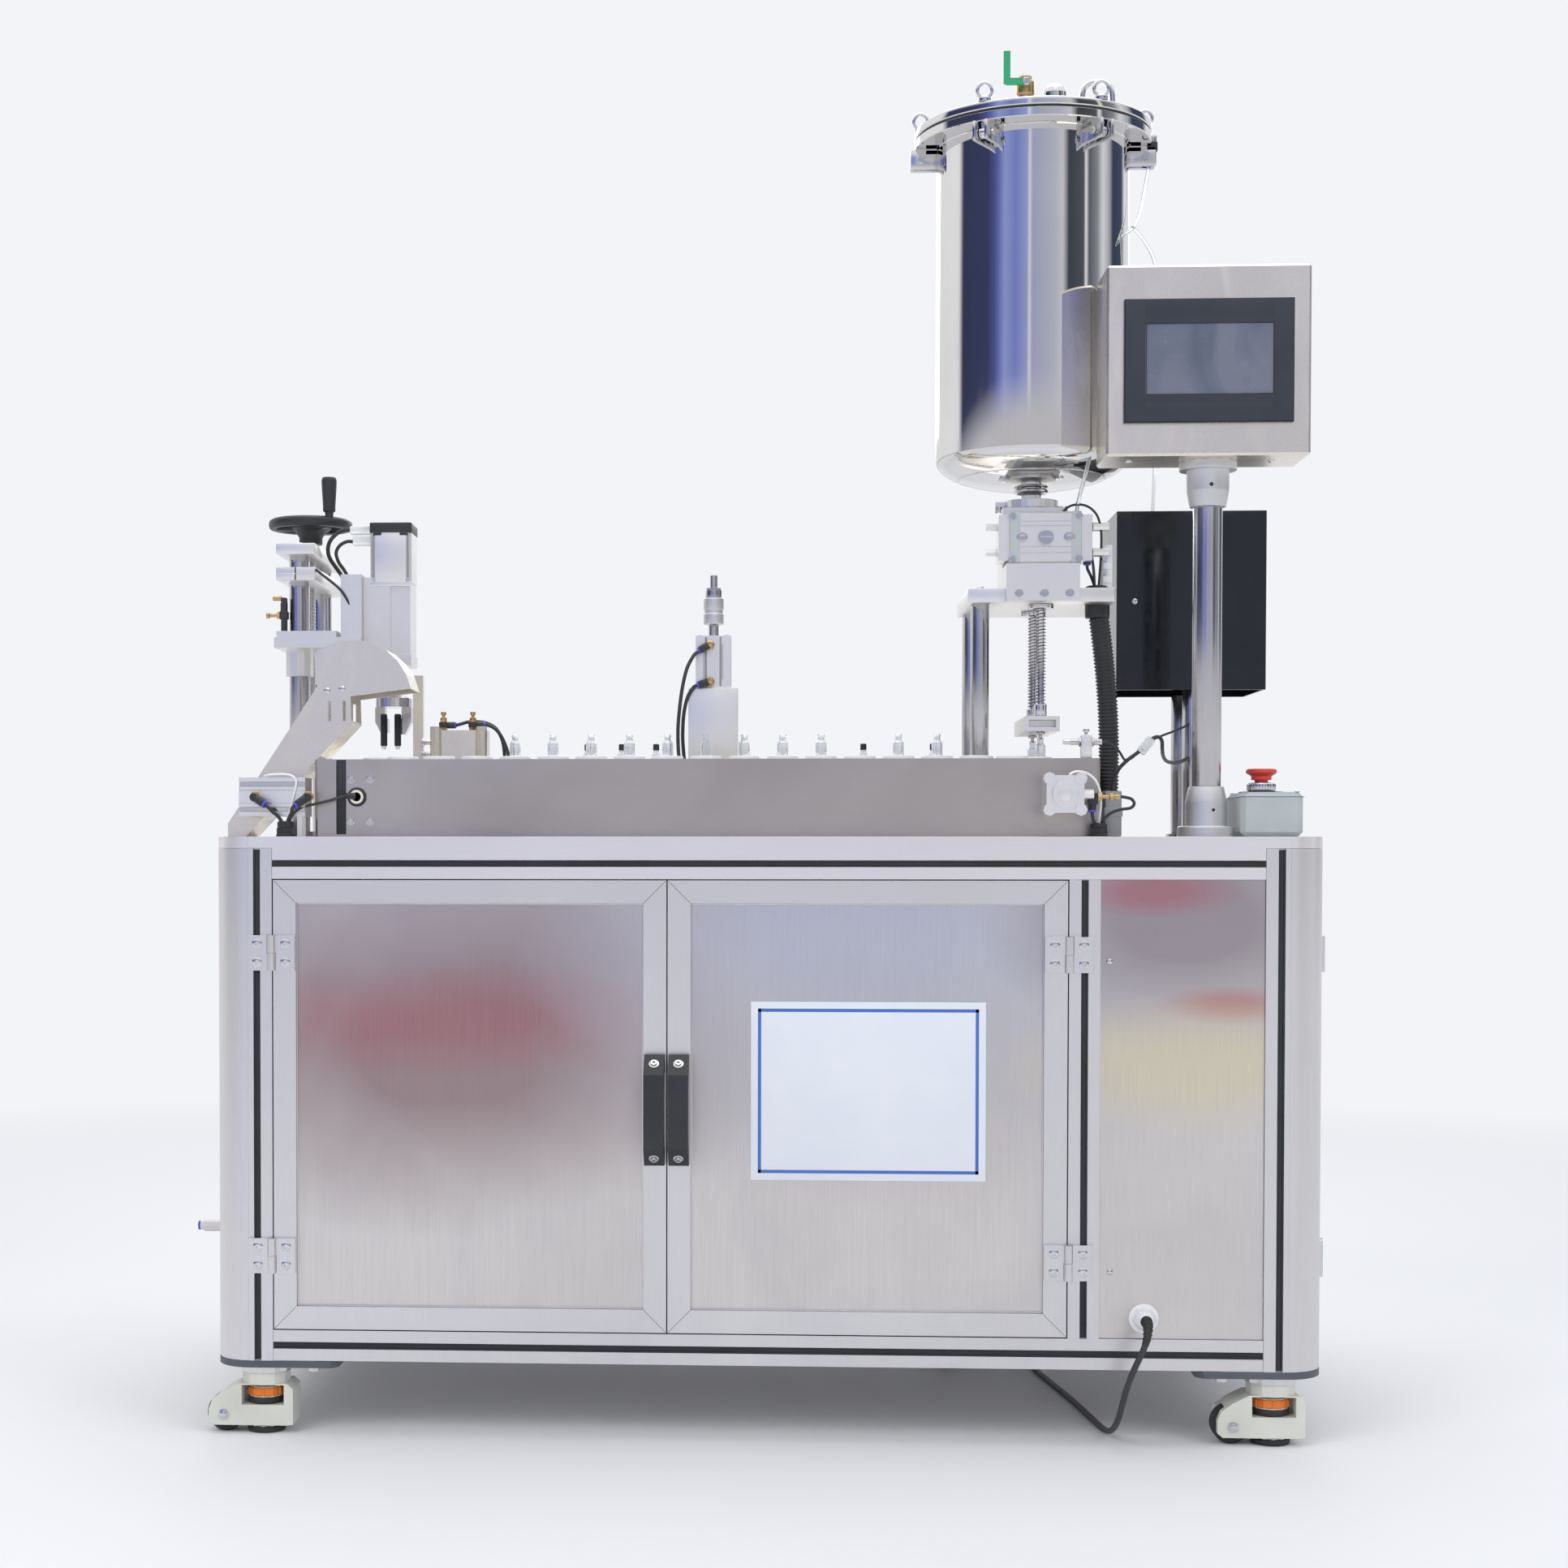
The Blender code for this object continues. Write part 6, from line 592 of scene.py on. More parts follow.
dress(PROFILE, *[f"corner_post_{corner}" for corner in CORNERS])
dress(PROFILE, "lower_frame", "door_left", "door_right", "side_door")
dress(TABLE, "table_top")
dress(SHEET, "front_panel", "door_left_sheet", "door_right_sheet")
dress(BACK_SHEET, "left_panel", "rear_panel")
dress(SKIRT, "conveyor_skirt")
dress(STEEL, "discharge_chute", "hmi_box", "conveyor_deck")
dress(BLACK, "door_handle_left", "door_handle_right", "cable_conduit", "handwheel")
dress(BLACK, "mains_cord", "mains_coil", "mains_plug")
dress(GLOSS, "pump_cover")
dress(MACHINED, "valve_block", "rotary_actuator", "eject_cylinder", "transfer_cylinder")
dress(MACHINED, "lift_carriage", "press_station", "bottle_guide", "lift_stand", "fill_stand")
dress(MACHINED, "hmi_pole", "press_rod")
dress(HEAD_METAL, "cap_head")
dress(CHROME, "cap_chuck", "jaw_left", "jaw_right", "actuator_spindle")
dress(POLISHED, "tank_body", "tank_lid", "filling_nozzles", "pump_stand")
dress(GREY_GREEN, "estop_box")
dress(RED, "estop_button")
dress(SCREEN, "hmi_screen")
dress(GREEN, "lid_valve_lever")
dress(WHITE, "puck_chain", "mains_gland")
dress(CREAM, *[f"caster_{corner}" for corner in CORNERS])
dress(RUBBER, *[f"caster_wheel_{corner}" for corner in CORNERS])


# Mains lead: it leaves the gland on the front panel and ends in its coil behind the casters

CORD_RADIUS = 4.0
CORD_EXIT = (488.5, -20.6, 166.5)
CORD_ROUTE = [
    CORD_EXIT, (488.5, -24, 166.5), (488.2, -34, 165), (487.2, -43, 160.2), (485.2, -50, 152.5),
    (482, -54.5, 143), (477.3, -55.7, 132), (471.7, -55.25, 120), (466.5, -53, 107), (462.5, -49, 94),
    (459.5, -43.5, 81), (457.5, -36, 67.5), (456, -26, 54), (455, -13, 41), (454, 3, 29.5),
    (453, 22, 19.5), (452, 44, 11.5), (450, 69, 6.4), (447, 96, 4.4), (442, 140, 4.3),
    (436, 190, 4.3), (430, 240, 4.3), (423, 290, 4.3), (415, 340, 4.3), (407.5, 390, 4.3),
    (401, 435, 4.3), (396, 475, 4.3), (392.8, 510, 4.3), (391.6, 542.89, 4.3),
]
COIL_X, COIL_Y = 330.0, 575.0
COIL_OUTER, COIL_INNER, COIL_STEP = 61.5, 34.0, 8.3
LAYER_LOW, LAYER_HIGH = 4.3, 12.5
PLUG = Vector((268.4, 542.89, 14.3))


def eased(part):
    return part * part * (3 - 2 * part)


def coil_points():
    """A lower layer of turns that runs inwards and an upper one that runs out again."""
    turns = []
    for degrees in range(0, 1081, 10):
        turns.append((COIL_OUTER - COIL_STEP * degrees / 360, degrees, LAYER_LOW))
    for degrees in range(10, 1261, 10):
        ease = eased(min(degrees / 60, 1.0))
        start = COIL_OUTER - COIL_STEP * 3
        radius = start + (COIL_INNER - start) * ease + COIL_STEP * max(degrees - 60, 0) / 360
        turns.append((radius, 1080 + degrees, LAYER_LOW + (LAYER_HIGH - LAYER_LOW) * ease))
    return [
        Vector((COIL_X + radius * math.cos(math.radians(turn)),
                COIL_Y + radius * math.sin(math.radians(turn)), z))
        for radius, turn, z in turns
    ]


def put_cord(name, path, diameter, sides, material, body, slot, replaces=(), **facts):
    tube = Shape().tube(path, diameter / 2, sides)
    piece = put(name, tube, material, body, slot, replaces=replaces)


def hose(name, points, diameter, material=CORD, body="cabinet", stiffness="medium", pieces=()):
    """A short free tube or cable between two places on the machine."""
    put_cord(
        name, smooth(points, 7), diameter, 12, material, body, "", far_end="object",
        stiffness=stiffness, lay="loose", with_pieces=list(pieces),
    )


def mains_lead():
    path = smooth(CORD_ROUTE, 4) + coil_points()
    last = path[-1]
    for part in (0.25, 0.5, 0.75, 1.0):
        ease = eased(part)
        path.append(last + (PLUG - last) * Vector((ease, part, ease)))
    plug = Shape().turned([
        (0, 0), (CORD_RADIUS + 1.1, 0), (CORD_RADIUS + 1.6, 3), (CORD_RADIUS + 3.4, 18), (0, 18)
    ], 0.8, PLUG, -Y, 32)
    for groove in range(3):
        plug.ring(PLUG - Y * (4 + groove * 4.5), Y, 5.3 + groove * 0.8, 0.7, 32)
    outline = [(-19.4, 7), (-17, 0.4), (17, 0.4), (19.4, 7), (19.4, 22), (15, 27.8), (-15, 27.8),
               (-19.4, 22)]
    plug.prism(outline, 37.6, (PLUG.x, 524.7, 0), X, Z, 1.6)
    plug.box((PLUG.x - 14, 494, 27.0), (PLUG.x + 14, 518, 27.95), 0.4)
    pins = Shape()
    for side in (-9.5, 9.5):
        pins.turned([(0, 0), (2.4, 0), (2.4, 17), (1.6, 18), (0, 18)], 0.4,
                    (PLUG.x + side, 487.0, PLUG.z), -Y, 20)
    body = put("mains_plug_body", plug, RUBBER, replaces=("mains_plug",))
    pins = put("mains_plug_pins", pins, CHROME)
    put_cord(
        "mains_lead", path, 2 * CORD_RADIUS, 14, CORD, "cabinet", "black_rubber",
        ("mains_cord", "mains_coil"), far_end="plug", stiffness="medium", lay="coiled",
        with_pieces=[body, pins],
    )


mains_lead()


# Cabinet

CABINET_DEPTH = 700.0
CORNER_RADIUS = 50.0
HINGE_HEIGHTS = (238, 633.5)
DOOR_LOW, DOOR_HIGH, DOOR_FRAME = 141.5, 728.5, 30


def slot_strip(shape, low, high, outwards):
    """A cover strip pressed into a T-slot, with a shallow channel along its middle."""
    low, high = Vector(low), Vector(high)
    long_axis = max(range(3), key=lambda k: high[k] - low[k])
    out_axis = max(range(3), key=lambda k: abs(outwards[k]))
    wide_axis = 3 - long_axis - out_axis
    middle = (low[wide_axis] + high[wide_axis]) / 2
    for start, end, drop in (
        (low[wide_axis], middle - 2.2, 0.0), (middle - 2.2, middle + 2.2, 0.9),
        (middle + 2.2, high[wide_axis], 0.0),
    ):
        first, last = low.copy(), high.copy()
        first[wide_axis], last[wide_axis] = start, end
        if outwards[out_axis] > 0:
            last[out_axis] -= drop
        else:
            first[out_axis] += drop
        shape.box(first, last, 0.35)


def slot_strips():
    shape = Shape()
    front, rear = (0.8, 3.9), (CABINET_DEPTH - 3.9, CABINET_DEPTH - 0.8)
    for side in (-1, 1):
        a, b = sorted((side * 656.0, side * 664.0))
        for (low, high), way in ((front, -Y), (rear, Y)):
            slot_strip(shape, (a, low, 101), (b, high, 768), way)
        a, b = sorted((side * 716.1, side * 719.2))
        for y in (60, 640):
            slot_strip(shape, (a, y - 4, 101), (b, y + 4, 768), X * side)
        for z in (750, 120):
            slot_strip(shape, (a, 81, z - 4), (b, 619, z + 4), X * side)
    for z in (750, 120):
        for (low, high), way in ((front, -Y), (rear, Y)):
            slot_strip(shape, (-639, low, z - 4), (639, high, z + 4), way)
    slot_strip(shape, (407, front[0], 141), (415, front[1], 729), -Y)
    put("slot_strips", shape, SLOT_BLACK)


def hinge_screws():
    head = [(0, 0), (6.4, 0), (6.4, 0.7), (4.9, 1.7), (2.7, 1.7), (2.4, 0.6), (0, 0.6)]
    reach = 18.5
    for name, body, pin, across, outwards in (
        ("left", "left_door", (-640, -4.9), X, -Y), ("right", "right_door", (391, -4.9), -X, -Y),
        ("side", "end_door", (724.6, 80), Y, X),
    ):
        for part, way in ((name, across), (name + "_fixed", -across)):
            shape = Shape()
            for z, up in itertools.product(HINGE_HEIGHTS, (-12, 12)):
                spot = Vector((*pin, z + up)) + way * reach
                shape.lathe(head, spot, outwards, 24, hexagonal=(4, 5))
            put(f"hinge_screws_{part}", shape, CHROME, body if part == name else "cabinet")


def door_details(side, left, right, handle_x):
    """Mitre lines at the frame corners, sheet beads and the handle's screws."""
    body = f"{side}_door"
    low, high = DOOR_LOW + DOOR_FRAME, DOOR_HIGH - DOOR_FRAME
    a, b = left + DOOR_FRAME, right - DOOR_FRAME
    front, back, wide = 3.6, 6.4, 1.6
    beads = Shape()
    beads.box((a, front, low), (a + wide, back, high), 0.5)
    beads.box((b - wide, front, low), (b, back, high), 0.5)
    beads.box((a, front, low), (b, back, low + wide), 0.5)
    beads.box((a, front, high - wide), (b, back, high), 0.5)
    put(f"door_bead_{side}", beads, PROFILE, body)
    lines = Shape()
    for (x, way), (z, up) in itertools.product(
        ((left, 1), (right, -1)), ((DOOR_LOW, 1), (DOOR_HIGH, -1))
    ):
        lines.tube([(x + way * run, -0.02, z + up * run) for run in (1.0, 29.6)], 0.28, 6)
    put(f"door_mitres_{side}", lines, SLOT_BLACK, body)
    screws = Shape()
    for z, up in ((371, -1), (493, 1)):
        way = Vector((0, -0.72, 0.69 * up))
        spot = (handle_x, -22.06, z)
        screws.lathe([(0, -1), (6.6, -1), (6.6, 0.5), (5.0, 0.9), (0, 0.9)], spot, way, 28)
        screws.socket_screw(spot, way, 3.6, 4.4)
    put(f"handle_screws_{side}", screws, CHROME, body)


def label_plate():
    left, right, low, high = -16, 286, 341, 572
    plate = Shape().box((left, 4.6, low), (right, 6.1, high), 0.4)
    put("label_plate", plate, LABEL, "right_door")
    inset, wide, front, back = 9.0, 4.2, 4.45, 4.75
    left, right, low, high = left + inset, right - inset, low + inset, high - inset
    lines = Shape()
    lines.box((left, front, low), (left + wide, back, high), 0.05, 1)
    lines.box((right - wide, front, low), (right, back, high), 0.05, 1)
    lines.box((left, front, low), (right, back, low + wide), 0.05, 1)
    lines.box((left, front, high - wide), (right, back, high), 0.05, 1)
    put("label_border", lines, BORDER, "right_door")


def panel_details():
    rivets = Shape()
    for x, z in ((443, 625), (445, 226)):
        rivets.turned([(0, 0), (4.4, 0), (3.6, 2.0), (1.2, 2.8), (0, 2.8)], 0.5, (x, 4.1, z), -Y, 24)
    put("panel_rivets", rivets, CHROME)
    x, _, z = CORD_EXIT
    gland = Shape().rod((x, 4.0, z), -Y, 1.6, 19, steps=48)
    gland.nut((x, 3.6, z), -Y, 5.9, 16.0, 0.9)
    gland.turned([
        (0, 0), (14, 0), (13.8, 3.0), (12.6, 10), (10.0, 16.2), (8.4, 18.0), (0, 18.0)
    ], 1.0, (x, -2.3, z), -Y, 48)
    put("gland_dome", gland, WHITE, replaces=("mains_gland",))
    path = smooth(CORD_ROUTE[:6], 6)
    count = len(path)
    radii = [7.0 - 2.6 * index / (count - 1) for index in range(count)]
    relief = Shape().tube(path, 6, 24, radii)
    for index in range(2, count - 3, 4):
        ahead = path[index + 1] - path[index]
        relief.ring(path[index], ahead, radii[index] + 0.1, 0.75, 24, 8)
    put("lead_relief", relief, RUBBER)


def corner_points(radius, first=2, last=88, steps=16):
    angles = [math.radians(first + (last - first) * step / steps) for step in range(steps + 1)]
    return [(radius * math.cos(angle), radius * math.sin(angle)) for angle in angles]


def corner_skins():
    """Smooth quarter-round skins over the corners of posts and table, and the foot plates' faces."""
    posts, edges, feet = Shape(), Shape(), Shape()
    skin = corner_points(CORNER_RADIUS + 0.03) + corner_points(CORNER_RADIUS - 0.9)[::-1]
    arm, cut, rail, reach = 115.2, 10.0, 10.0, CORNER_RADIUS + 0.2
    foot = [
        (rail, -arm), (CORNER_RADIUS - cut, -arm), (reach, cut - arm), *corner_points(reach, 0, 90),
        (cut - arm, reach), (-arm, CORNER_RADIUS - cut), (-arm, rail), (rail, rail),
    ]
    for side, rear in itertools.product((-1, 1), (-1, 1)):
        even = side * rear > 0
        middle = Vector((side * 670, 350 + rear * 300, 0))
        for shape, low, high in ((posts, 100.4, 769.6), (edges, 770.3, 784.8)):
            start = middle + Z * (low if even else high)
            shape.prism(skin if even else skin[::-1], high - low, start, X * side, Y * rear, 0)
        limit = reach if rear < 0 else CORNER_RADIUS - 0.1
        start = middle + Z * (90.2 if even else 99.6)
        feet.prism([(u, min(v, limit)) for u, v in foot], 9.4, start, X * side, Y * rear, 0.3)
    put("post_corners", posts, PROFILE, angle=30)
    put("table_corners", edges, TABLE, angle=30)
    put("foot_plates", feet, SLATE, angle=30)


corner_skins()
slot_strips()
hinge_screws()
door_details("left", -638.5, -125.25, -140.25)
door_details("right", -123.75, 389.5, -108.75)
label_plate()
panel_details()


# Casters

WHEEL_X, WHEEL_Z = -52, 25


def caster_details(corner, x, y):
    body = f"swivel_{corner}"
    ring = Shape().turned(
        [(7.4, 0), (22.5, 0), (23.6, 2), (23.6, 10.5), (22.5, 12.5), (7.4, 12.5)], 0.8,
        (x, y, 48), Z, 48,
    )
    ring.ribs((x, y, 49.5), 23.2, 12, 9.5, 2.2, 10, 0.6)
    put(f"caster_ring_{corner}", ring, ORANGE, body)
    foot = Shape().turned([
        (0, 0), (24.3, 0), (25, 2), (25, 7), (22, 9.6), (8.2, 10.5), (8.2, 13), (0, 13)
    ], 0.9, (x, y, 0.6), Z, 48)
    foot.rod((x, y, 38.9), Z, 8, 23.8, 0.8, 48)
    put(f"caster_pad_{corner}", foot, RUBBER, body)
    bolt = Shape()
    for side in (-1, 1):
        bolt.turned([(0, 0), (7.2, 0), (7.2, 1.2), (4.6, 1.4), (4.6, 4.2), (0, 4.6)], 0.5,
                    (x + WHEEL_X, y + side * 26.0, WHEEL_Z), Y * side, 24)
    put(f"caster_axle_{corner}", bolt, CHROME, body)
    half = [(4.3, -13.2), (9.0, -13.2), (9.8, -11.4), (17.4, -11.0), (18.6, -12.8), (22.0, -13.3),
            (25.0, -9.5)]
    tyre = half + [(radius, -reach) for radius, reach in half[::-1]] + half[:1]
    wheel = Shape().turned(tyre, 0.9, (x + WHEEL_X, y, WHEEL_Z), Y, 64)
    put(f"caster_tyre_{corner}", wheel, RUBBER, f"wheel_{corner}",
        replaces=(f"caster_wheel_{corner}",))


for corner, (y, x) in zip(CORNERS, itertools.product((40, 660), (-657, 657))):
    caster_details(corner, x, y)


# Puck chain and bottles

TRACK_LEFT, TRACK_FRONT, TRACK_RADIUS = -535.0, 85.0, 90.0
STRAIGHT_X, STRAIGHT_Y = 727.0, 181.7
PUCK_PITCH, PUCK_COUNT = 50.7, 47
FIRST_PUCK = STRAIGHT_X + math.pi * TRACK_RADIUS / 2 + 6.4
PUCK_Z, BOTTLE_Z, PLUG_Z = 878, 882, 916
BOTTLE_GAP_X = 126
REAR_BOTTLES = (243, 142, -162, -213, -263)
NOZZLE_X = 372
NOZZLES_Y = (181.4, 282.8)


def track_point(distance):
    corner = math.pi * TRACK_RADIUS / 2
    lengths = [STRAIGHT_X, corner, STRAIGHT_Y, corner] * 2
    distance %= sum(lengths)
    spot = Vector((TRACK_LEFT + TRACK_RADIUS, TRACK_FRONT, 0))
    heading = 0.0
    for index, length in enumerate(lengths):
        run = min(distance, length)
        ahead = Vector((math.cos(heading), math.sin(heading), 0))
        left = Vector((-ahead.y, ahead.x, 0))
        if index % 2 == 0:
            spot = spot + ahead * run
        else:
            angle = run / TRACK_RADIUS
            spot = spot + (ahead * math.sin(angle) + left * (1 - math.cos(angle))) * TRACK_RADIUS
            heading += angle
        distance -= run
        if distance <= 0:
            break
    return spot


PUCK_SPOTS = [track_point(FIRST_PUCK + index * PUCK_PITCH) for index in range(PUCK_COUNT)]


def track_outline(offset, steps=10):
    """The chain's path moved outwards, from its right rear corner round to the left."""
    radius = TRACK_RADIUS + offset
    left, front = TRACK_LEFT + TRACK_RADIUS, TRACK_FRONT + TRACK_RADIUS
    right, rear = left + STRAIGHT_X, front + STRAIGHT_Y
    points = []
    for centre, start in (
        ((right, rear), 0), ((left, rear), 90), ((left, front), 180), ((right, front), 270)
    ):
        points += [
            (centre[0] + u, centre[1] + v) for u, v in corner_points(radius, start, start + 90, steps)
        ]
    return points


def pucks():
    shape = Shape()
    profile = rounded([
        (0, 4), (8.5, 4), (8.5, 13.4), (9.3, 14), (20.2, 14), (21, 13.2), (21, 1.0), (20.4, 0.3),
        (0, 0.3),
    ], 0.7)
    for spot in PUCK_SPOTS:
        shape.lathe(profile, spot + Z * PUCK_Z, Z, 32)
    shape.band(track_outline(5), track_outline(-5), PUCK_Z + 1, PUCK_Z + 6)
    put("pucks", shape, WHITE, replaces=("puck_chain",))


def bottles():
    """Clear bottles in some of the pucks; those at the back are closed with black plugs."""
    wall = 1.3
    profile = rounded([
        (0, 0.4), (7.0, 0.4), (7.3, 1.4), (7.3, 26.5), (6.6, 28.5), (4.7, 29.6), (4.4, 31),
        (4.4, 38.6), (3.4, 38.6), (3.4, 30.6), (7.3 - wall, 27), (7.3 - wall, 4), (0, 3.4),
    ], 0.5)
    glass, plugs = Shape(), Shape()
    for spot in PUCK_SPOTS:
        front = spot.y < 86 and -340 < spot.x < 240 and abs(spot.x - BOTTLE_GAP_X) > 12
        under = abs(spot.x - NOZZLE_X) < 1 and any(abs(spot.y - y) < 2 for y in NOZZLES_Y)
        rear = spot.y > 440 and any(abs(spot.x - x) < 14 for x in REAR_BOTTLES)
        if front or under or rear:
            glass.lathe(profile, spot + Z * BOTTLE_Z, Z, 28)
        if rear:
            plugs.turned([(0, 0), (4.6, 0), (4.6, 8), (3.9, 9.5), (0, 9.5)], 0.5,
                         spot + Z * PLUG_Z, Z, 24)
    put("bottles", glass, CLEAR)
    put("bottle_plugs", plugs, BLACK)


def gripper():
    """A long black finger with a soft tip on the front of each jaw."""
    y = 335.9
    for x, side in ((-547.5, "left"), (-527.5, "right")):
        finger = Shape().turned(
            [(0, 0), (4.5, 0), (4.9, 1.2), (4.9, 43.5), (4.2, 46), (0, 46)], 0.6, (x, y, 918), Z, 28
        )
        put(f"grip_finger_{side}", finger, GLOSS, f"{side}_jaw")
        tip = Shape().turned(
            [(0, 0), (2.2, 0), (3.6, 2), (3.6, 6), (0, 6)], 0.5, (x, y, 913.2), Z, 20
        )
        put(f"grip_tip_{side}", tip, MILKY, f"{side}_jaw")


pucks()
bottles()
gripper()


# Filling station

PLATE_LOW, PLATE_HIGH = 1100, 1119
FILL_COLUMN_X = 290
FILL_COLUMNS_Y = (180, 330)
SPINDLE = Vector((373, 131.3, 1184.1))
CONTROLLERS_Z = (1167.1, 1201.1)


def fill_stand():
    stand, columns = Shape(), Shape()
    for y in FILL_COLUMNS_Y:
        stand.rod((FILL_COLUMN_X, y, 887.0), Z, 8, 19, 0.8, 48)
        columns.rod((FILL_COLUMN_X, y, 894.5), Z, 205.6, 12.5, 0.8, 48)
    stand.box((272, 150, PLATE_LOW), (467, 360, PLATE_HIGH), 0.9)
    for y in FILL_COLUMNS_Y:
        stand.socket_screw((FILL_COLUMN_X, y, 1118.8), Z, 5.0, 6.5)
    put("fill_plate", stand, MACHINED, replaces=("fill_stand",))
    put("fill_columns", columns, SHAFT)
    grommet = Shape().turned(
        [(0, 0), (15.5, 0), (15.5, 2.4), (12, 4.6), (0, 4.6)], 0.8, (445, 170, 1118.8), Z, 36
    )
    put("plate_grommet", grommet, RUBBER)


def nozzles():
    rods, guide, coils = Shape(), Shape(), Shape()
    low, high, turns = 967.0, 1092.6, 29
    for y in NOZZLES_Y:
        rods.turned([
            (0, 917.8), (1.4, 917.8), (2.4, 919), (2.5, 924.6), (6.4, 924.8), (6.4, 927.6),
            (4.5, 927.9), (4.5, 1093.8), (17, 1094), (17, 1099.6), (0, 1099.6),
        ], 0.5, (NOZZLE_X, y, 0), Z, 36)
        guide.turned([
            (4.9, 0), (8.6, 0), (8.6, 16.6), (7.6, 17.6), (4.9, 17.6), (4.9, 0)
        ], 0.5, (NOZZLE_X, y, 947.6), Z, 36)
        steps = turns * 16
        path = list(circle((NOZZLE_X, y, low), 6.3, steps, 0, 360 * turns))
        path.append(path[0])
        coils.tube([
            spot + Z * (high - low) * step / steps for step, spot in enumerate(path)
        ], 0.85, 7)
    put("nozzle_rods", rods, CHROME, slot="polished_steel", replaces=("filling_nozzles",))
    put("guide_bushes", guide, CHROME, "guide")
    springs = put("nozzle_springs", coils, SPRING)
    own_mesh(springs)


def actuator_details():
    screws, caps, lines = Shape(), Shape(), Shape()
    for x, z in itertools.product((328.5, 417.5), (1155.5, 1212.5)):
        screws.socket_screw((x, 131.6, z), -Y, 2.6, 4.3)
    for x in (337.5, 371, 404.5):
        screws.socket_screw((x, 128.6, 1109.5), -Y, 3.4, 5.6)
    for x in (342, 404):
        screws.turned([(0, 0), (7.4, 0), (7.4, 1.2), (4.6, 1.4), (4.0, 0.3), (0, 0.3)], 0.3,
                      (x, 131.8, SPINDLE.z), -Y, 28)
    for z in CONTROLLERS_Z:
        screws.rod((317.5, 160, z), -X, 7.0, 5.2, 0.6, 24)
        screws.rod((318.5, 160, z), -X, 15.5, 2.4, 0.4, 20)
        screws.nut((314.0, 160, z), -X, 4.0, 6.2)
    put("actuator_screws", screws, CHROME)
    for x in (325.4, 406.4):
        caps.box((x, 131.1, 1149.9), (x + 14.2, 190.2, 1218.9), 1.6)
    put("actuator_caps", caps, GREY_GREEN)
    # The darker strips paint the shade inside the actuator's grooves.
    for z in (1163.5, 1171.5, 1199.5, 1205.5):
        lines.box((340.2, 130.9, z - 0.5), (405.8, 131.9, z + 0.5), 0.2, 1)
    put("actuator_groove_shade", lines, MATT_ALUMINIUM)
    face = Shape().turned(
        [(0, 0), (9.8, 0), (9.8, 4.6), (5.2, 4.8), (4.8, 3.0), (0, 3.0)], 0.5, SPINDLE, -Y, 36
    )
    face.box((364.2, 125.9, 1183.3), (381.8, 126.9, 1184.9), 0.3)
    put("spindle_face", face, CHROME, "spindle")


def speed_controllers():
    black, knobs, brass, collars = Shape(), Shape(), Shape(), Shape()
    for z in CONTROLLERS_Z:
        brass.nut((420.6, 160, z), X, 4.5, 6.5)
        black.turned([(0, 0), (6.4, 0), (6.4, 13), (5.2, 14), (0, 14)], 0.8, (424.6, 160, z), X, 28)
        brass.rod((438.4, 160, z), X, 6.4, 3.4, 0.4, 24)
        knobs.rod((444.4, 160, z), X, 6.4, 4.6, 0.7, 28)
        black.rod((431, 160, z - 4), -Z, 11, 5.4, 0.7, 28)
        collars.rod((431, 160, z - 15), -Z, 2.4, 4.8, 0.5, 28)
    put("speed_controllers", black, BLACK)
    put("speed_screws", brass, BRASS)
    put("speed_knobs", knobs, WHITE)
    put("speed_collars", collars, BLUE)
    hose("actuator_tube_upper", [
        (431, 160, 1184), (431.5, 157.5, 1176), (436, 154, 1162), (439, 156, 1146),
        (441, 163, 1132), (442, 168, 1120),
    ], 4.0)
    hose("actuator_tube_lower", [
        (431, 160, 1150.5), (432, 162, 1145), (437, 166, 1136), (441, 169, 1127), (444, 171, 1120),
    ], 4.0)
    hose("sensor_cable", [
        (398, 163, 1218.5), (400, 162, 1223), (408, 160, 1229), (420, 158, 1231), (433, 157, 1227),
        (443, 157, 1217), (448, 158, 1203), (450, 161, 1187), (450, 166, 1160), (449, 170, 1138),
        (448, 172, 1120),
    ], 3.2, stiffness="limp")
    block = Shape().box((452.2, 168, 1119.4), (466, 196, 1178), 1.2)
    for z in (1132, 1150, 1168):
        block.box((453.6, 166.9, z - 5), (464.6, 168.6, z + 5), 0.5)
    put("valve_terminal", block, WHITE)
    nuts = Shape()
    for z in (1141, 1159):
        nuts.nut((455, 166.6, z), -Y, 4.0, 4.2)
    put("terminal_nuts", nuts, CHROME)


fill_stand()
nozzles()
actuator_details()
speed_controllers()


# Tank

TANK_X, TANK_Y = 363.0, 230.0
TANK_RADIUS, OUTLET_RADIUS, BOTTOM_Z, BOTTOM_DEPTH = 129.9, 12.6, 1302, 40
BOLT_TURNS = [math.radians(-60 + 60 * step) for step in range(6)]
BOLT_CIRCLE, BOLT_Z = 152, 1709
LID_VALVE_X, LID_VALVE_Y, LEVER_Z = 345, 150, 1785.5


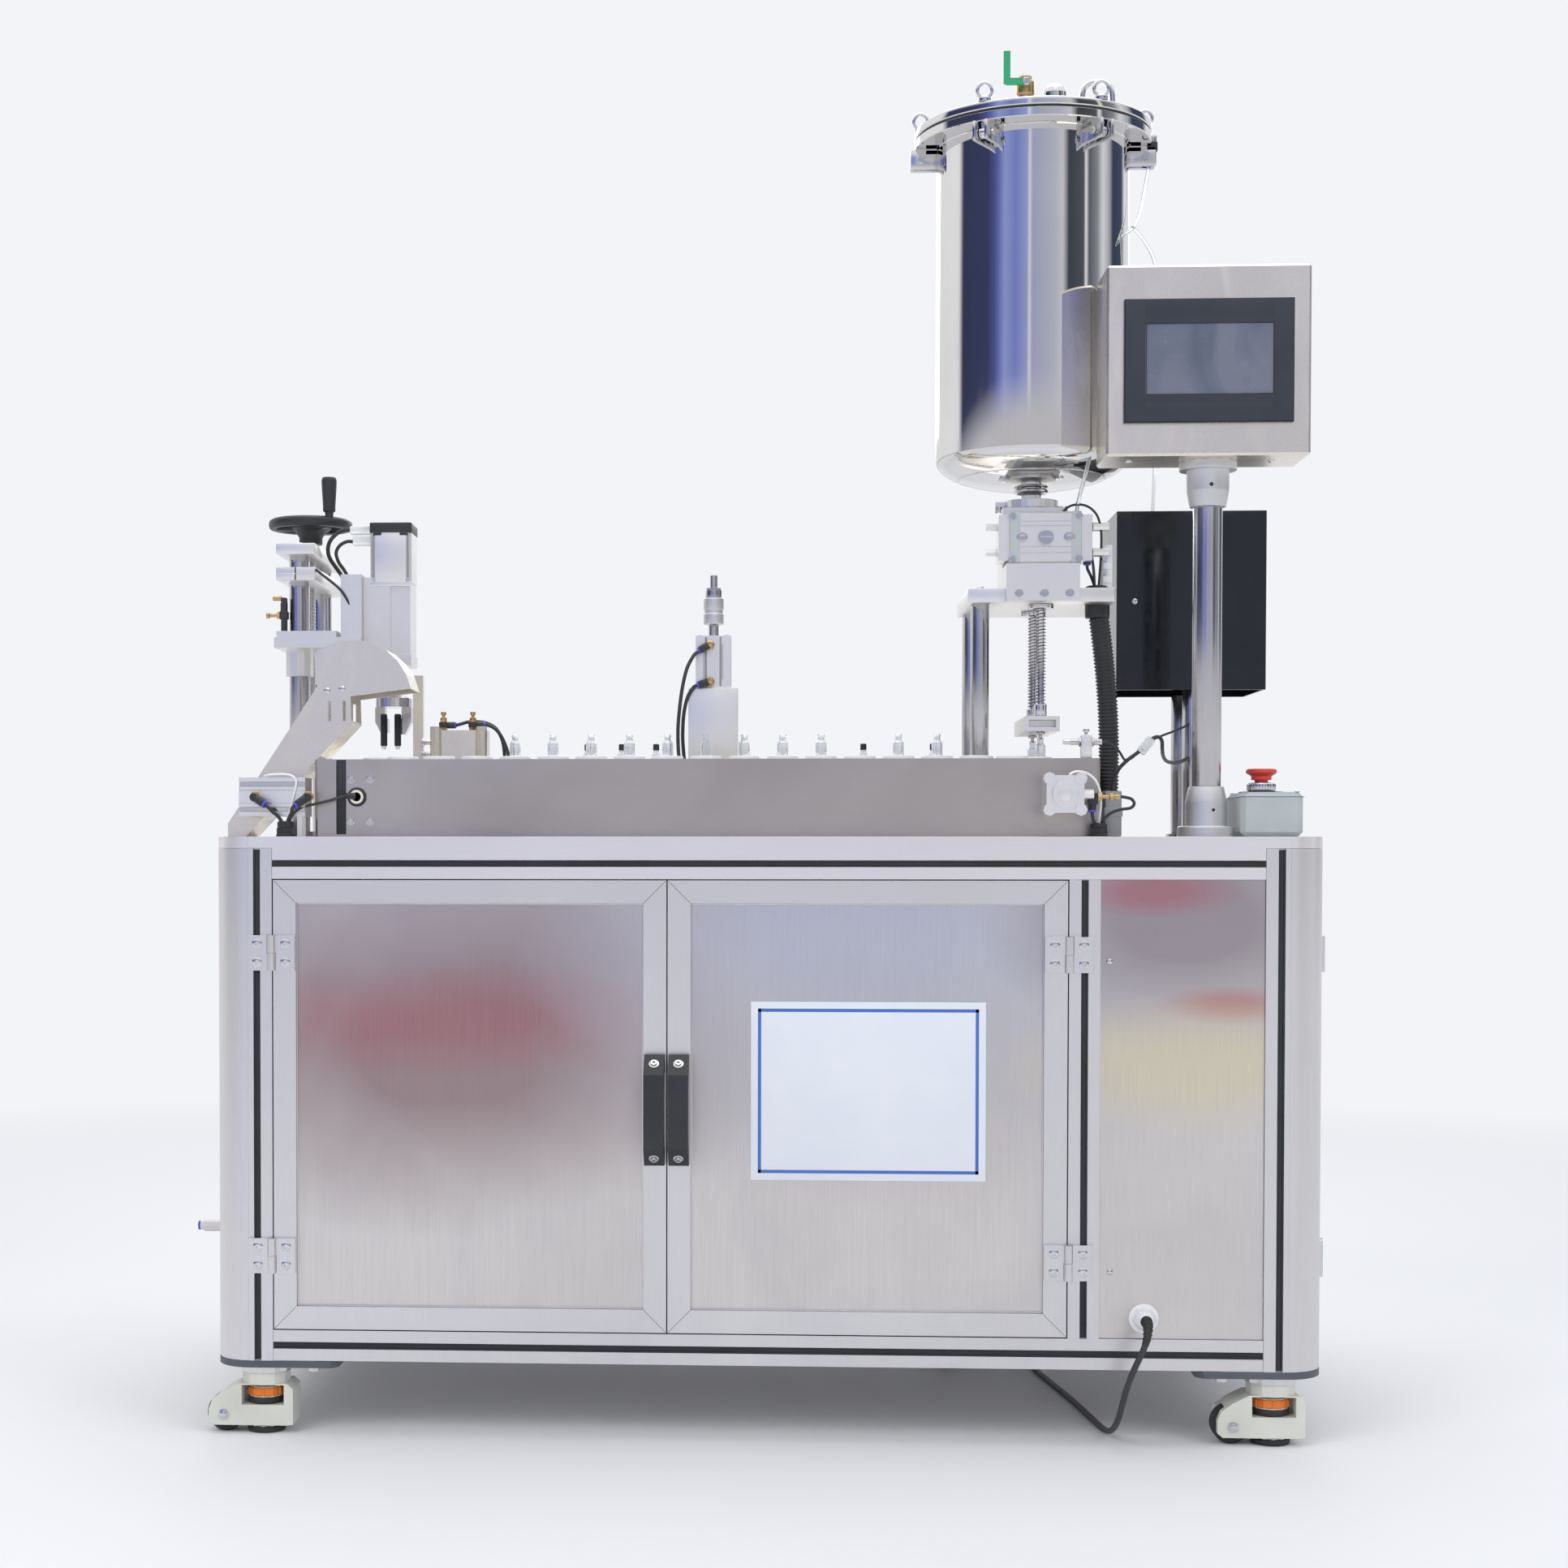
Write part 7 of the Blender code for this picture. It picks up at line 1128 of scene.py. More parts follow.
def tank():
    spot = (TANK_X, TANK_Y, 0)
    profile = []
    for step in range(15):
        angle = math.radians(90 * step / 14)
        radius = OUTLET_RADIUS + (TANK_RADIUS - OUTLET_RADIUS) * math.sin(angle)
        profile.append((radius, BOTTOM_Z - BOTTOM_DEPTH * math.cos(angle)))
    outer = [(OUTLET_RADIUS, 1236), (OUTLET_RADIUS, 1258)] + profile + [
        (TANK_RADIUS, 1721.5), (131.5, 1723), (158.8, 1723), (160, 1724.2), (160, 1733.8),
        (158.8, 1735), (127.5, 1735), (127.5, BOTTOM_Z), (100, 1275), (20, 1266), (9.5, 1262),
        (9.5, 1236), (OUTLET_RADIUS, 1236),
    ]
    put("tank_shell", Shape().lathe(outer, spot, Z, 128), POLISHED, angle=30, replaces=("tank_body",))
    clevises = Shape()
    for turn in BOLT_TURNS:
        ears = Shape().box((128.2, -11, 1697.2), (166, -6, 1723.4), 1.4)
        ears.box((128.2, 6, 1697.2), (166, 11, 1723.4), 1.4)
        ears.box((128.8, -11, 1716), (146, 11, 1723.2), 0.8)
        ears.rod((BOLT_CIRCLE, -13.5, BOLT_Z), Y, 27, 3.4, steps=20)
        for y in (-15.4, 12.0):
            ears.nut((BOLT_CIRCLE, y, BOLT_Z), Y, 3.4, 5.6)
        ears.moved(Matrix.Translation(spot) @ Matrix.Rotation(turn, 4, "Z"))
        clevises.take(ears.mesh)
    put("tank_clevises", clevises, CHROME, slot="polished_steel")
    fitting = Shape().turned([
        (0, 1228), (36.5, 1228), (38, 1229.5), (38, 1233.5), (30, 1238), (19.5, 1240), (14.6, 1243),
        (14.2, 1262), (0, 1262)
    ], 0.8, spot, Z, 64)
    fitting.ring((TANK_X, TANK_Y, 1258.5), Z, 21, 2.6, 48, 10)
    for side in (-1, 1):
        fitting.rod((TANK_X + side * 39, TANK_Y - 6, 1229), Z, 9, 4.2, steps=20)
        fitting.nut((TANK_X + side * 45, TANK_Y - 6, 1233.5), X * side, 4, 5.0)
    put("tank_ferrule", fitting, CHROME)


def tank_lid():
    spot = (TANK_X, TANK_Y, 0)
    plate = Shape().turned([
        (0, 1737.4), (158.6, 1737.4), (160, 1738.6), (160, 1747.2), (158, 1748.6), (120, 1749.6),
        (60, 1751.2), (0, 1751.6)
    ], 0.6, spot, Z, 128)
    plate.turned([
        (0, 0), (19.5, 0), (19.5, 3), (12, 4.4), (0, 4.4)
    ], 0.8, (LID_VALVE_X, LID_VALVE_Y, 1748.4), Z, 48)
    plate.turned([
        (0, 0), (17.4, 0), (17.4, 8), (16.4, 12), (16.4, 44), (14, 51), (9, 55.4), (0, 56.6)
    ], 1.2, (390, 205, 1748), Z, 56)
    plate.turned([(16, 0), (19.2, 0), (19.2, 5), (16, 5), (16, 0)], 0.6, (390, 205, 1756), Z, 48)
    bail = smooth([
        (430, 230, 1747), (430, 230, 1780), (431.5, 230, 1803), (439, 230, 1812.2),
        (450.5, 230, 1814), (462, 230, 1812.2), (469.5, 230, 1803), (471, 230, 1780),
        (471, 230, 1747),
    ], 5)
    plate.tube(bail, 4, 16)
    put("lid_plate", plate, POLISHED, "lid", angle=30, replaces=("tank_lid",))
    gasket = Shape().lathe(
        [(148, 1735.1), (158.4, 1735.1), (158.9, 1736.2), (158.4, 1737.3), (148, 1737.3),
         (148, 1735.1)], spot, Z, 128,
    )
    put("lid_gasket", gasket, RUBBER, "lid")
    bolts = Shape()
    for turn in BOLT_TURNS:
        x, y = TANK_X + BOLT_CIRCLE * math.cos(turn), TANK_Y + BOLT_CIRCLE * math.sin(turn)
        bolts.rod((x, y, BOLT_Z), Z, 44, 4.4, steps=24)
        side = Vector((-math.sin(turn), math.cos(turn), 0))
        bolts.rod(Vector((x, y, BOLT_Z)) - side * 4.8, side, 9.6, 7.4, steps=28)
        bolts.turned([
            (0, 0), (8.6, 0), (8.6, 5.6), (5.4, 7.2), (0, 7.2)
        ], 0.6, (x, y, 1748.6), Z, 28)
        bolts.ring((x, y, 1764.6), Y, 9.3, 2.6, 36, 12)
    put("swing_bolts", bolts, CHROME, "lid", slot="polished_steel")
    brass = Shape().turned([
        (0, 1751), (8, 1751), (8, 1758), (10.4, 1760), (10.4, 1772), (12, 1774), (12, 1790),
        (9, 1792), (9, 1797.2), (0, 1797.2)
    ], 0.7, (LID_VALVE_X, LID_VALVE_Y, 0), Z, 36)
    brass.nut((LID_VALVE_X, LID_VALVE_Y, 1758), Z, 9, 12.4)
    brass.rod((LID_VALVE_X, 143, LEVER_Z), -Y, 12.6, 5.4, steps=28)
    put("lid_valve", brass, BRASS, "lid")
    put("lever_nut", Shape().nut((LID_VALVE_X, 131.4, LEVER_Z), -Y, 3.6, 5.4), CHROME, "lid_lever")


def lid_tube():
    """Elbow at the flange's right side and the clear tube that runs down to the pump."""
    body = Shape().box((514, 219, 1716), (531, 233, 1731), 2.6, 3)
    body.rod((520, 226, 1718), -Z, 15, 6.2, steps=28)
    put("tube_elbow", body, BLACK)
    chrome = Shape().rod((525, 226, 1729), Z, 10, 5.4, steps=28)
    chrome.box((492, 222, 1722.0), (517, 230, 1727.0), 1.2)
    put("tube_elbow_foot", chrome, CHROME)
    put("tube_elbow_collar", Shape().rod((520, 226, 1703.4), -Z, 5.4, 5.6, steps=28), BLUE)
    hose("clear_tube_down", [
        (520, 226, 1698.4), (517.5, 224, 1685), (511, 216, 1655), (503, 200, 1625),
        (492, 178, 1603), (474, 160, 1585), (459, 148, 1565), (449, 140, 1535), (443, 134, 1490),
        (440, 128, 1430), (438, 126, 1370), (434, 126, 1320), (428, 130, 1280), (421, 140, 1250),
        (418, 156, 1232), (418, 170, 1219.5),
    ], 5.0, CLEAR_TUBE)
    hose("clear_tube_side", [
        (492, 178, 1603), (500, 182, 1597), (512, 190, 1584), (524, 202, 1566), (532, 217, 1540),
        (537, 240, 1500), (540, 265, 1440), (541, 284, 1370), (541, 300, 1300), (541, 311, 1255),
        (541, 313, 1242),
    ], 5.0, CLEAR_TUBE)


tank()
tank_lid()
lid_tube()


# Control screen, pole, pump cover and stop button

POLE_X, POLE_Y = 576, 75
STOP_X, STOP_Y = 653, 105
STOP_BOX_LEFT, STOP_BOX_RIGHT, STOP_BOX_FRONT, STOP_SEAM_Z = 616.6, 697.4, 49.9, (836.6, 837.3)


def pole():
    shape = Shape().turned([
        (0, 785.3), (36.6, 785.3), (37, 785.8), (37, 797.6), (35.6, 799.2), (27, 799.4),
        (27, 830.4), (22.6, 850.6), (19.2, 851.0), (0, 851.0)
    ], 0.9, (POLE_X, POLE_Y, 0), Z, 72)
    shape.turned([
        (0, 0), (3.6, 0), (3.6, 0.6), (2.2, 0.6), (0, 0.6)
    ], 0.2, (581, 48.3, 820), -Y, 20)
    put("pole_foot", shape, MATT_ALUMINIUM, replaces=("hmi_pole",))
    put("pole_tube", Shape().rod((POLE_X, POLE_Y, 845), Z, 409.8, 19, 0.8, 72), SHAFT)
    boss = Shape().turned([
        (19.3, 1213.8), (22.8, 1213.8), (23.4, 1215), (27.2, 1234.5), (27.2, 1260.6), (36.8, 1261),
        (36.8, 1271.4), (19.3, 1271.4), (19.3, 1213.8)
    ], 0.8, (POLE_X, POLE_Y, 0), Z, 72)
    put("screen_boss", boss, MATT_ALUMINIUM, "screen")
    holes = Shape().lathe([(0, 0), (2.6, 0), (2.6, 0.5), (0, 0.5)], (POLE_X, 47.9, 1240), -Y, 20)
    put("boss_set_screw", holes, SLOT_BLACK, "screen")
    foot_hole = Shape().lathe([(0, 0), (2.2, 0), (2.2, 0.3), (0, 0.3)], (581, 47.7, 820), -Y, 20)
    put("pole_set_screw", foot_hole, SLOT_BLACK)


def frame_strips(shape, left, right, low, high, wide, y_front, y_back, bevel=0.5):
    shape.box((left, y_front, low), (left + wide, y_back, high), bevel)
    shape.box((right - wide, y_front, low), (right, y_back, high), bevel)
    shape.box((left + wide - 0.2, y_front, low), (right - wide + 0.2, y_back, low + wide), bevel)
    shape.box((left + wide - 0.2, y_front, high - wide), (right - wide + 0.2, y_back, high), bevel)


def screen_panel():
    bezel = Shape()
    left, right, low, high = 460.0, 672.5, 1314.5, 1469.5
    frame_strips(bezel, left, right, low, high, 25.5, 11.4, 12.9, 0.6)
    bezel.box((left + 24, 11.42, 1438.6), (right - 24, 12.9, high - 24), 0.05)
    bezel.box((left + 24, 11.42, low + 24), (right - 24, 12.9, 1349.4), 0.05)
    put("screen_bezel", bezel, GREY, "screen")
    rim = Shape()
    frame_strips(rim, left - 1.0, right + 1.0, low - 1.0, high + 1.0, 1.0, 12.6, 18.0, 0.2)
    put("screen_gasket", rim, SLOT_BLACK, "screen", slot="black_rubber")
    edge = Shape()
    frame_strips(edge, 485.9, 648.1, 1348.4, 1439.6, 0.9, 11.2, 12.2, 0.2)
    put("screen_lip", edge, SLOT_BLACK, "screen")
    screws = Shape()
    for x in (472, 655):
        screws.turned([(0, 0), (4.6, 0), (4.2, 2), (2, 3), (0, 3)], 0.4, (x, 62, 1272.2), -Z, 24)
    put("screen_box_screws", screws, CHROME, "screen")
    seam = Shape().box((437.6, 116.4, 1273), (695.4, 117.0, 1273.8), 0.1, 1)
    put("screen_box_seam", seam, SLOT_BLACK, "screen")


def pump_station():
    shape = Shape()
    for y in (325, 425):
        shape.rod((598, y, 792), Z, 200.6, 12.5, 0.8, 48)
        shape.rod((598, y, 785.3), Z, 8, 19, 0.8, 48)
    put("pump_columns", shape, SHAFT, replaces=("pump_stand",))
    put("pump_cover_lip", Shape().box((488.6, 290.2, 992.4), (693.4, 291.4, 999.6), 0.3), GLOSS)
    screw = Shape().turned([
        (0, 0), (4.2, 0), (4.0, 1.6), (2.4, 2.4), (0, 2.4)
    ], 0.4, (513, 290.2, 1115), -Y, 24)
    put("pump_cover_screw", screw, CHROME)


def stop_button():
    head = Shape().turned([
        (0, 856.4), (8.7, 856.4), (8.8, 860.8), (10.4, 862.2), (13.8, 865.6), (19.8, 869.4),
        (20, 870.8), (19.8, 873.4), (18, 874.8), (0, 874.8)
    ], 0.9, (STOP_X, STOP_Y, 0), Z, 64)
    head.rod((STOP_X, STOP_Y, 860.4), Z, 7.6, 13.2, steps=48)
    put("stop_head", head, RED, "stop_button", replaces=("estop_button",))
    collar = Shape().turned([
        (14.2, 0), (18.4, 0), (18.4, 9.6), (17.2, 11.4), (14.2, 11.8), (14.2, 0)
    ], 0.6, (STOP_X, STOP_Y, 845), Z, 64)
    collar.ribs((STOP_X, STOP_Y, 846.6), 18.2, 30, 8, 0.6)
    put("stop_collar", collar, CHROME)
    put("stop_plate", Shape().rod((STOP_X, STOP_Y, 843.3), Z, 1.4, 29, 0.4, 64), SLOT_BLACK)
    low, high = STOP_SEAM_Z
    line = Shape().box((616.7, 49.7, low), (697.3, 50.1, high), 0.1, 1)
    line.box((STOP_BOX_LEFT, STOP_BOX_FRONT, low), (617.1, 160.2, high), 0.1, 1)
    line.box((696.9, STOP_BOX_FRONT, low), (STOP_BOX_RIGHT, 160.2, high), 0.1, 1)
    put("stop_box_seam", line, SLOT_BLACK)
    screws = Shape()
    for y, x in itertools.product((57, 153), (624, 690)):
        screws.turned([(0, 0), (3.4, 0), (3.4, 1), (0, 1.3)], 0.2, (x, y, 843.2), Z, 20)
    put("stop_box_screws", screws, CHROME)


pole()
screen_panel()
pump_station()
stop_button()


# Press

PRESS_X, PRESS_Y = -71.0, 225.0


def press():
    x, y = PRESS_X, PRESS_Y
    rod = Shape().turned([
        (0, 922.2), (11.4, 922.2), (12, 923), (12, 931), (11, 932), (7, 932.2), (7, 1078), (0, 1078)
    ], 0.5, (x, y, 0), Z, 40)
    rod.turned([
        (0, 0), (10.6, 0), (11.2, 1), (11.2, 11), (5.2, 12), (5.2, 31.6), (0, 31.6)
    ], 0.5, (x, y, 1115), Z, 40)
    put("press_shaft", rod, SHAFT, "press", replaces=("press_rod",))
    collar = Shape().turned([
        (0, 0), (13.2, 0), (14, 1), (14, 14), (13, 15), (13, 20), (14, 21), (14, 35), (13, 36),
        (0, 36)
    ], 0.6, (x, y, 1079), Z, 48)
    put("press_collar", collar, MATT_ALUMINIUM, "press")
    put("press_nut", Shape().nut((x, y, 1121), Z, 8, 11.2), GREY_BLOCK, "press", slot="steel")
    # Darker strips on the cylinder paint the shade inside its grooves.
    lines = Shape()
    for dx, dy in itertools.product((-24.15, 23.75), (-9, 9)):
        lines.box((x + dx, y + dy - 1.4, 992), (x + dx + 0.4, y + dy + 1.4, 1060), 0.1, 1)
    for dx in (-10, 10):
        lines.box((x + dx - 1.4, y - 24.15, 992), (x + dx + 1.4, y - 23.8, 1060), 0.1, 1)
    put("press_grooves", lines, GREY_BLOCK)
    guard = Shape().box((x - 33.4, y - 33.6, 887.4), (x + 33.4, y - 32.1, 989.6), 0.5)
    guard.box((x - 24.6, y - 24.6, 988.9), (x + 24.6, y + 24.6, 992.4), 0.5)
    put("press_guard", guard, MACHINED)
    screws = Shape()
    for dx in (-18.5, 18.5):
        screws.socket_screw((x + dx, y - 18.5, 1061.8), Z, 1.2, 3.4)
    brass, black, blue = Shape(), Shape(), Shape()
    for z, down in ((1049, 0.55), (999, 0.3)):
        brass.nut((x - 4, y - 24, z), -Y, 5, 6.4)
        brass.turned([
            (0, 0), (5.4, 0), (5.4, 6), (3.6, 8), (3.6, 11), (0, 11)
        ], 0.5, (x - 4, y - 28.6, z), -Y, 24)
        way = Vector((-1, 0, -down)).normalized()
        start = Vector((x - 6, y - 35, z - 1))
        black.turned([(0, 0), (5.2, 0), (5.2, 12), (4.6, 14), (0, 14)], 0.8, start, way, 24)
        blue.rod(start + way * 13.8, way, 2.4, 4.6, 0.5, 24)
    put("press_fittings", brass, BRASS)
    put("press_elbows", black, BLACK)
    put("press_elbow_collars", blue, BLUE)
    put("press_screws", screws, CHROME)
    hose("press_tube_upper", [
        (-91, 190, 1038.8), (-97, 189, 1034), (-106, 187, 1017), (-112, 186, 993), (-116, 186, 965),
        (-118.5, 188, 936), (-118.5, 192, 910), (-117, 198, 887.5),
    ], 5.0)
    hose("press_tube_lower", [
        (-92.6, 190, 993.2), (-98, 190, 990), (-106, 191, 976), (-111, 193, 953),
        (-112.5, 196, 925), (-111.5, 200, 903), (-110, 204, 887.5),
    ], 5.0)


press()


# Cap tightening head, lift stand and handwheel

LIFT_X, LEAD_SCREW_Y, LIFT_COLUMNS_Y = -668, 415, (330, 500)
HEAD_X, HEAD_Y = -535.0, 350.0
LIFT_FITTING_Y, LIFT_FITTING_Z = 318, 1104


def lift():
    columns, plates = Shape(), Shape()
    for y in LIFT_COLUMNS_Y:
        columns.rod((LIFT_X, y, 794), Z, 410.6, 14.5, 0.8, 56)
        columns.rod((LIFT_X, y, 785.3), Z, 10, 24, 0.9, 56)
    for low, high in ((1189, 1205), (1152, 1171)):
        plates.box((-696, 300, low), (-640, 530, high), 1.2)
    plates.box((-693, 298.8, 1161), (-666, 300.4, 1162), 0.2)
    for y in LIFT_COLUMNS_Y:
        plates.socket_screw((LIFT_X, y, 1204.6), Z, 4, 6)
    put("lift_plates", plates, MACHINED, replaces=("lift_stand",))
    put("lift_columns", columns, SHAFT)
    put("clamp_split", Shape().box((-669.0, 299.6, 1152.4), (-667.2, 330, 1170.6), 0.1, 1), SLOT_BLACK)
    wheel = Shape()
    spot = (LIFT_X, LEAD_SCREW_Y, 0)
    wheel.turned([
        (48.6, 1239.4), (52, 1238), (58.6, 1238.2), (61, 1242), (60.6, 1249.5), (56, 1253),
        (50, 1252.6), (48, 1248), (48.6, 1239.4)
    ], 1.6, spot, Z, 96)
    wheel.turned([
        (0, 1205.4), (11.6, 1205.4), (12, 1216), (17, 1217), (17, 1227), (23, 1236), (30, 1240),
        (30, 1243), (17, 1246), (15, 1253), (0, 1253)
    ], 1.0, spot, Z, 56)
    for step in range(3):
        turn = Matrix.Rotation(math.radians(70 + 120 * step), 4, "Z")
        spoke = Shape().box((12, -6.4, 1236.5), (51, 6.4, 1245), 3.0, 3)
        spoke.moved(Matrix.Translation(spot) @ turn)
        wheel.take(spoke.mesh)
    angle = math.radians(-50)
    x, y = LIFT_X + 54.5 * math.cos(angle), LEAD_SCREW_Y + 54.5 * math.sin(angle)
    wheel.turned([
        (0, 1249), (6, 1249), (6, 1258), (9.2, 1260), (9.0, 1266), (10.6, 1292), (11.2, 1304),
        (9.8, 1308.6), (0, 1309)
    ], 1.2, (x, y, 0), Z, 40)
    put("wheel_rim", wheel, BLACK, "wheel_and_screw", angle=42)
    screw = Shape()
    low, high, pitch = 960.2, 1205.2, 5.0
    profile = [(0, low), (6.2, low)]
    height = low + 1
    while height < high - 4:
        profile += [(6.2, height), (7.0, height + 1.2), (7.0, height + 2.4), (6.2, height + 3.6)]
        height += pitch
    profile += [(6.2, high), (0, high)]
    screw.lathe(profile, spot, Z, 28)
    put("lead_screw", screw, SHAFT, "wheel_and_screw", angle=42, replaces=("handwheel",))


def head():
    x, y = HEAD_X, HEAD_Y
    motor = Shape().box((x - 30.2, y - 30.2, 1221), (x + 30.2, y + 30.2, 1236.2), 2.2, 3)
    for left in (x - 25, x + 13):
        motor.box((left, y - 30.6, 1217.4), (left + 12, y - 27, 1223), 0.8)
    put("motor_cap", motor, BLACK, "head")
    # Darker strips on the motor paint the shade inside its grooves.
    grooves = Shape()
    for middle in (x - 24.5, x + 24.5):
        grooves.box((middle - 1.6, y - 29.75, 1152), (middle + 1.6, y - 29.2, 1219), 0.2, 1)
    put("motor_groove_shade", grooves, GREY_BLOCK, "head")
    motor_skin = Shape().box((x - 22.4, y - 30.15, 1150.5), (x + 22.4, y - 29.3, 1220), 0.4)
    motor_skin.box((x - 29.2, y - 30.2, 1145.0), (x + 29.8, y - 28.9, 1151.4), 0.5)
    put("motor_face", motor_skin, MACHINED, "head")
    screws = Shape()
    for middle in (x - 24.5, x + 24.5):
        screws.turned([(0, 0), (2.8, 0), (2.8, 2), (0, 2.4)], 0.3, (middle, y - 29.0, 1154), -Y, 20)
    for z in (1120, 1092):
        screws.turned([(0, 0), (2.8, 0), (2.8, 0.8), (0, 1.0)], 0.3, (-567, 321.6, z), -Y, 20)
    put("head_screws", screws, CHROME, "head")
    plate = Shape().box((-574.4, 322.0, 1033), (-563.4, 378, 1152), 0.8)
    put("head_side_plate", plate, MACHINED, "head")
    connector = Shape().box((-597, 338, 1222), (-562, 352, 1234), 2.0)
    connector.box((-593, 339, 1206), (-563, 351, 1219), 2.0)
    put("motor_connectors", connector, MILKY, "head")
    hose("motor_cable", [
        (-597, 345, 1229), (-605, 345, 1229), (-616, 344, 1224), (-626, 345, 1214),
        (-631, 352, 1202), (-630, 364, 1190), (-622, 378, 1176), (-612, 386, 1160),
        (-606, 390, 1140), (-604, 392, 1118),
    ], 6.0, body="head", stiffness="limp")
    hose("encoder_cable", [
        (-593, 345, 1212), (-602, 344, 1212), (-612, 342, 1206), (-618, 346, 1196),
        (-616, 356, 1184), (-609, 368, 1172), (-603, 378, 1156), (-599, 386, 1136),
    ], 5.0, body="head", stiffness="limp")
    hose("head_sensor_cable", [
        (-640, 306, 1168), (-630, 304, 1160), (-617, 304, 1150), (-604, 306, 1138),
        (-594, 309, 1122), (-588, 313, 1104),
    ], 4.0, stiffness="limp")
    brass = Shape().rod((-691, LIFT_FITTING_Y, 1128), -X, 13, 3.4, steps=20)
    brass.nut((-690, LIFT_FITTING_Y, LIFT_FITTING_Z), -X, 8, 5.6)
    brass.rod((-697, LIFT_FITTING_Y, LIFT_FITTING_Z), -X, 12, 2.6, steps=20)
    brass.rod((-709, LIFT_FITTING_Y, LIFT_FITTING_Z), -X, 4.4, 4.4, steps=24)
    put("lift_brass", brass, BRASS, "carriage")
    elbow = Shape().box((-694, 311, 1098), (-682, 325, 1110), 2.0, 3)
    elbow.rod((-688, LIFT_FITTING_Y, 1108), Z, 14, 5.2, steps=24)
    elbow.box((-691.5, 312, 1071.4), (-684, 324, 1129), 1.0)
    put("lift_elbow", elbow, BLACK, "carriage")


lift()
head()


# Conveyor details, valves, sensor and cables

GLAND_FOOT_Z = 785.1
EJECT_FITTING_Z, EJECT_ELBOW_Z = 837.5, 836.6
CLAMP_Y, CLAMP_TUBE_Z = 312, 946.4
SENSOR_X, SENSOR_Y, SENSOR_Z = 389, 62, 908.8
CYLINDER_X, CYLINDER_Z = 384.0, 839.0
TRANSFER_Y, TRANSFER_Z = 12, 836
CONDUIT_Y, CONDUIT_LOW_X, CONDUIT_HIGH_X = 200, 463, 450


def chute_screws():
    shape = Shape()
    for x, z in ((-583.5, 980.5), (-563.2, 982.6)):
        shape.turned([(0, 0), (4.6, 0), (4.3, 1.2), (2.6, 2.6), (0, 3)], 0.4, (x, 89.9, z), -Y, 24)
    put("chute_screws", shape, CHROME)


def skirt_details():
    put("skirt_slot_strip", Shape().box((-563.8, 50.9, 786), (-551.2, 52.4, 887), 0.2), SLOT_BLACK)
    screws = Shape()
    for x, z in ((-543.9, 861.1), (-519.1, 861.1), (-545.1, 805.5), (-519.2, 805.5)):
        screws.rod((x, 50.05, z), -Y, 0.8, 5.4, 0.3, 28)
        screws.socket_screw((x, 49.5, z), -Y, 2.8, 4.2)
    put("skirt_screws", screws, CHROME)
    spot = (-536.5, 50.1, 837.6)
    ring = Shape().turned([
        (0, 0), (12.6, 0), (12.6, 2.6), (10.4, 4.4), (0, 4.4)
    ], 0.9, spot, -Y, 40)
    put("skirt_grommet", ring, RUBBER)
    inner = Shape().turned([
        (6.0, 0), (9.2, 0), (9.2, 5.6), (6.0, 5.6), (6.0, 0)
    ], 0.6, spot, -Y, 40)
    put("skirt_grommet_ring", inner, CERAMIC)
    plug = Shape().rod(spot, -Y, 4.4, 5.8, steps=28)
    plug.rod((-538.5, 46.6, 838.4), Vector((-0.92, -0.36, 0.06)), 12, 4.6, steps=24, end_radius=3.6)
    put("skirt_cable_end", plug, BLACK)
    hose("skirt_cable", [
        (-549, 42.5, 839.2), (-556, 40, 837.5), (-570, 38, 833), (-588, 36, 828.5),
        (-604, 34, 824), (-616, 31, 817), (-622, 29, 806.5),
    ], 3.6, stiffness="limp")


def table_gland(x, y, height=21.0):
    gland = Shape()
    gland.turned([(0, 0), (12.4, 0), (12.4, 3), (11, 4), (0, 4)], 0.7, (x, y, GLAND_FOOT_Z), Z, 40)
    gland.nut((x, y, 788.6), Z, 8.0, 12.2)
    gland.turned([
        (0, 0), (10.6, 0), (10.2, height - 13), (8.6, height - 12), (0, height - 12)
    ], 0.9, (x, y, 796.6), Z, 40)
    return gland.ribs((x, y, 797.4), 10.3, 14, height - 14.5, 0.7)


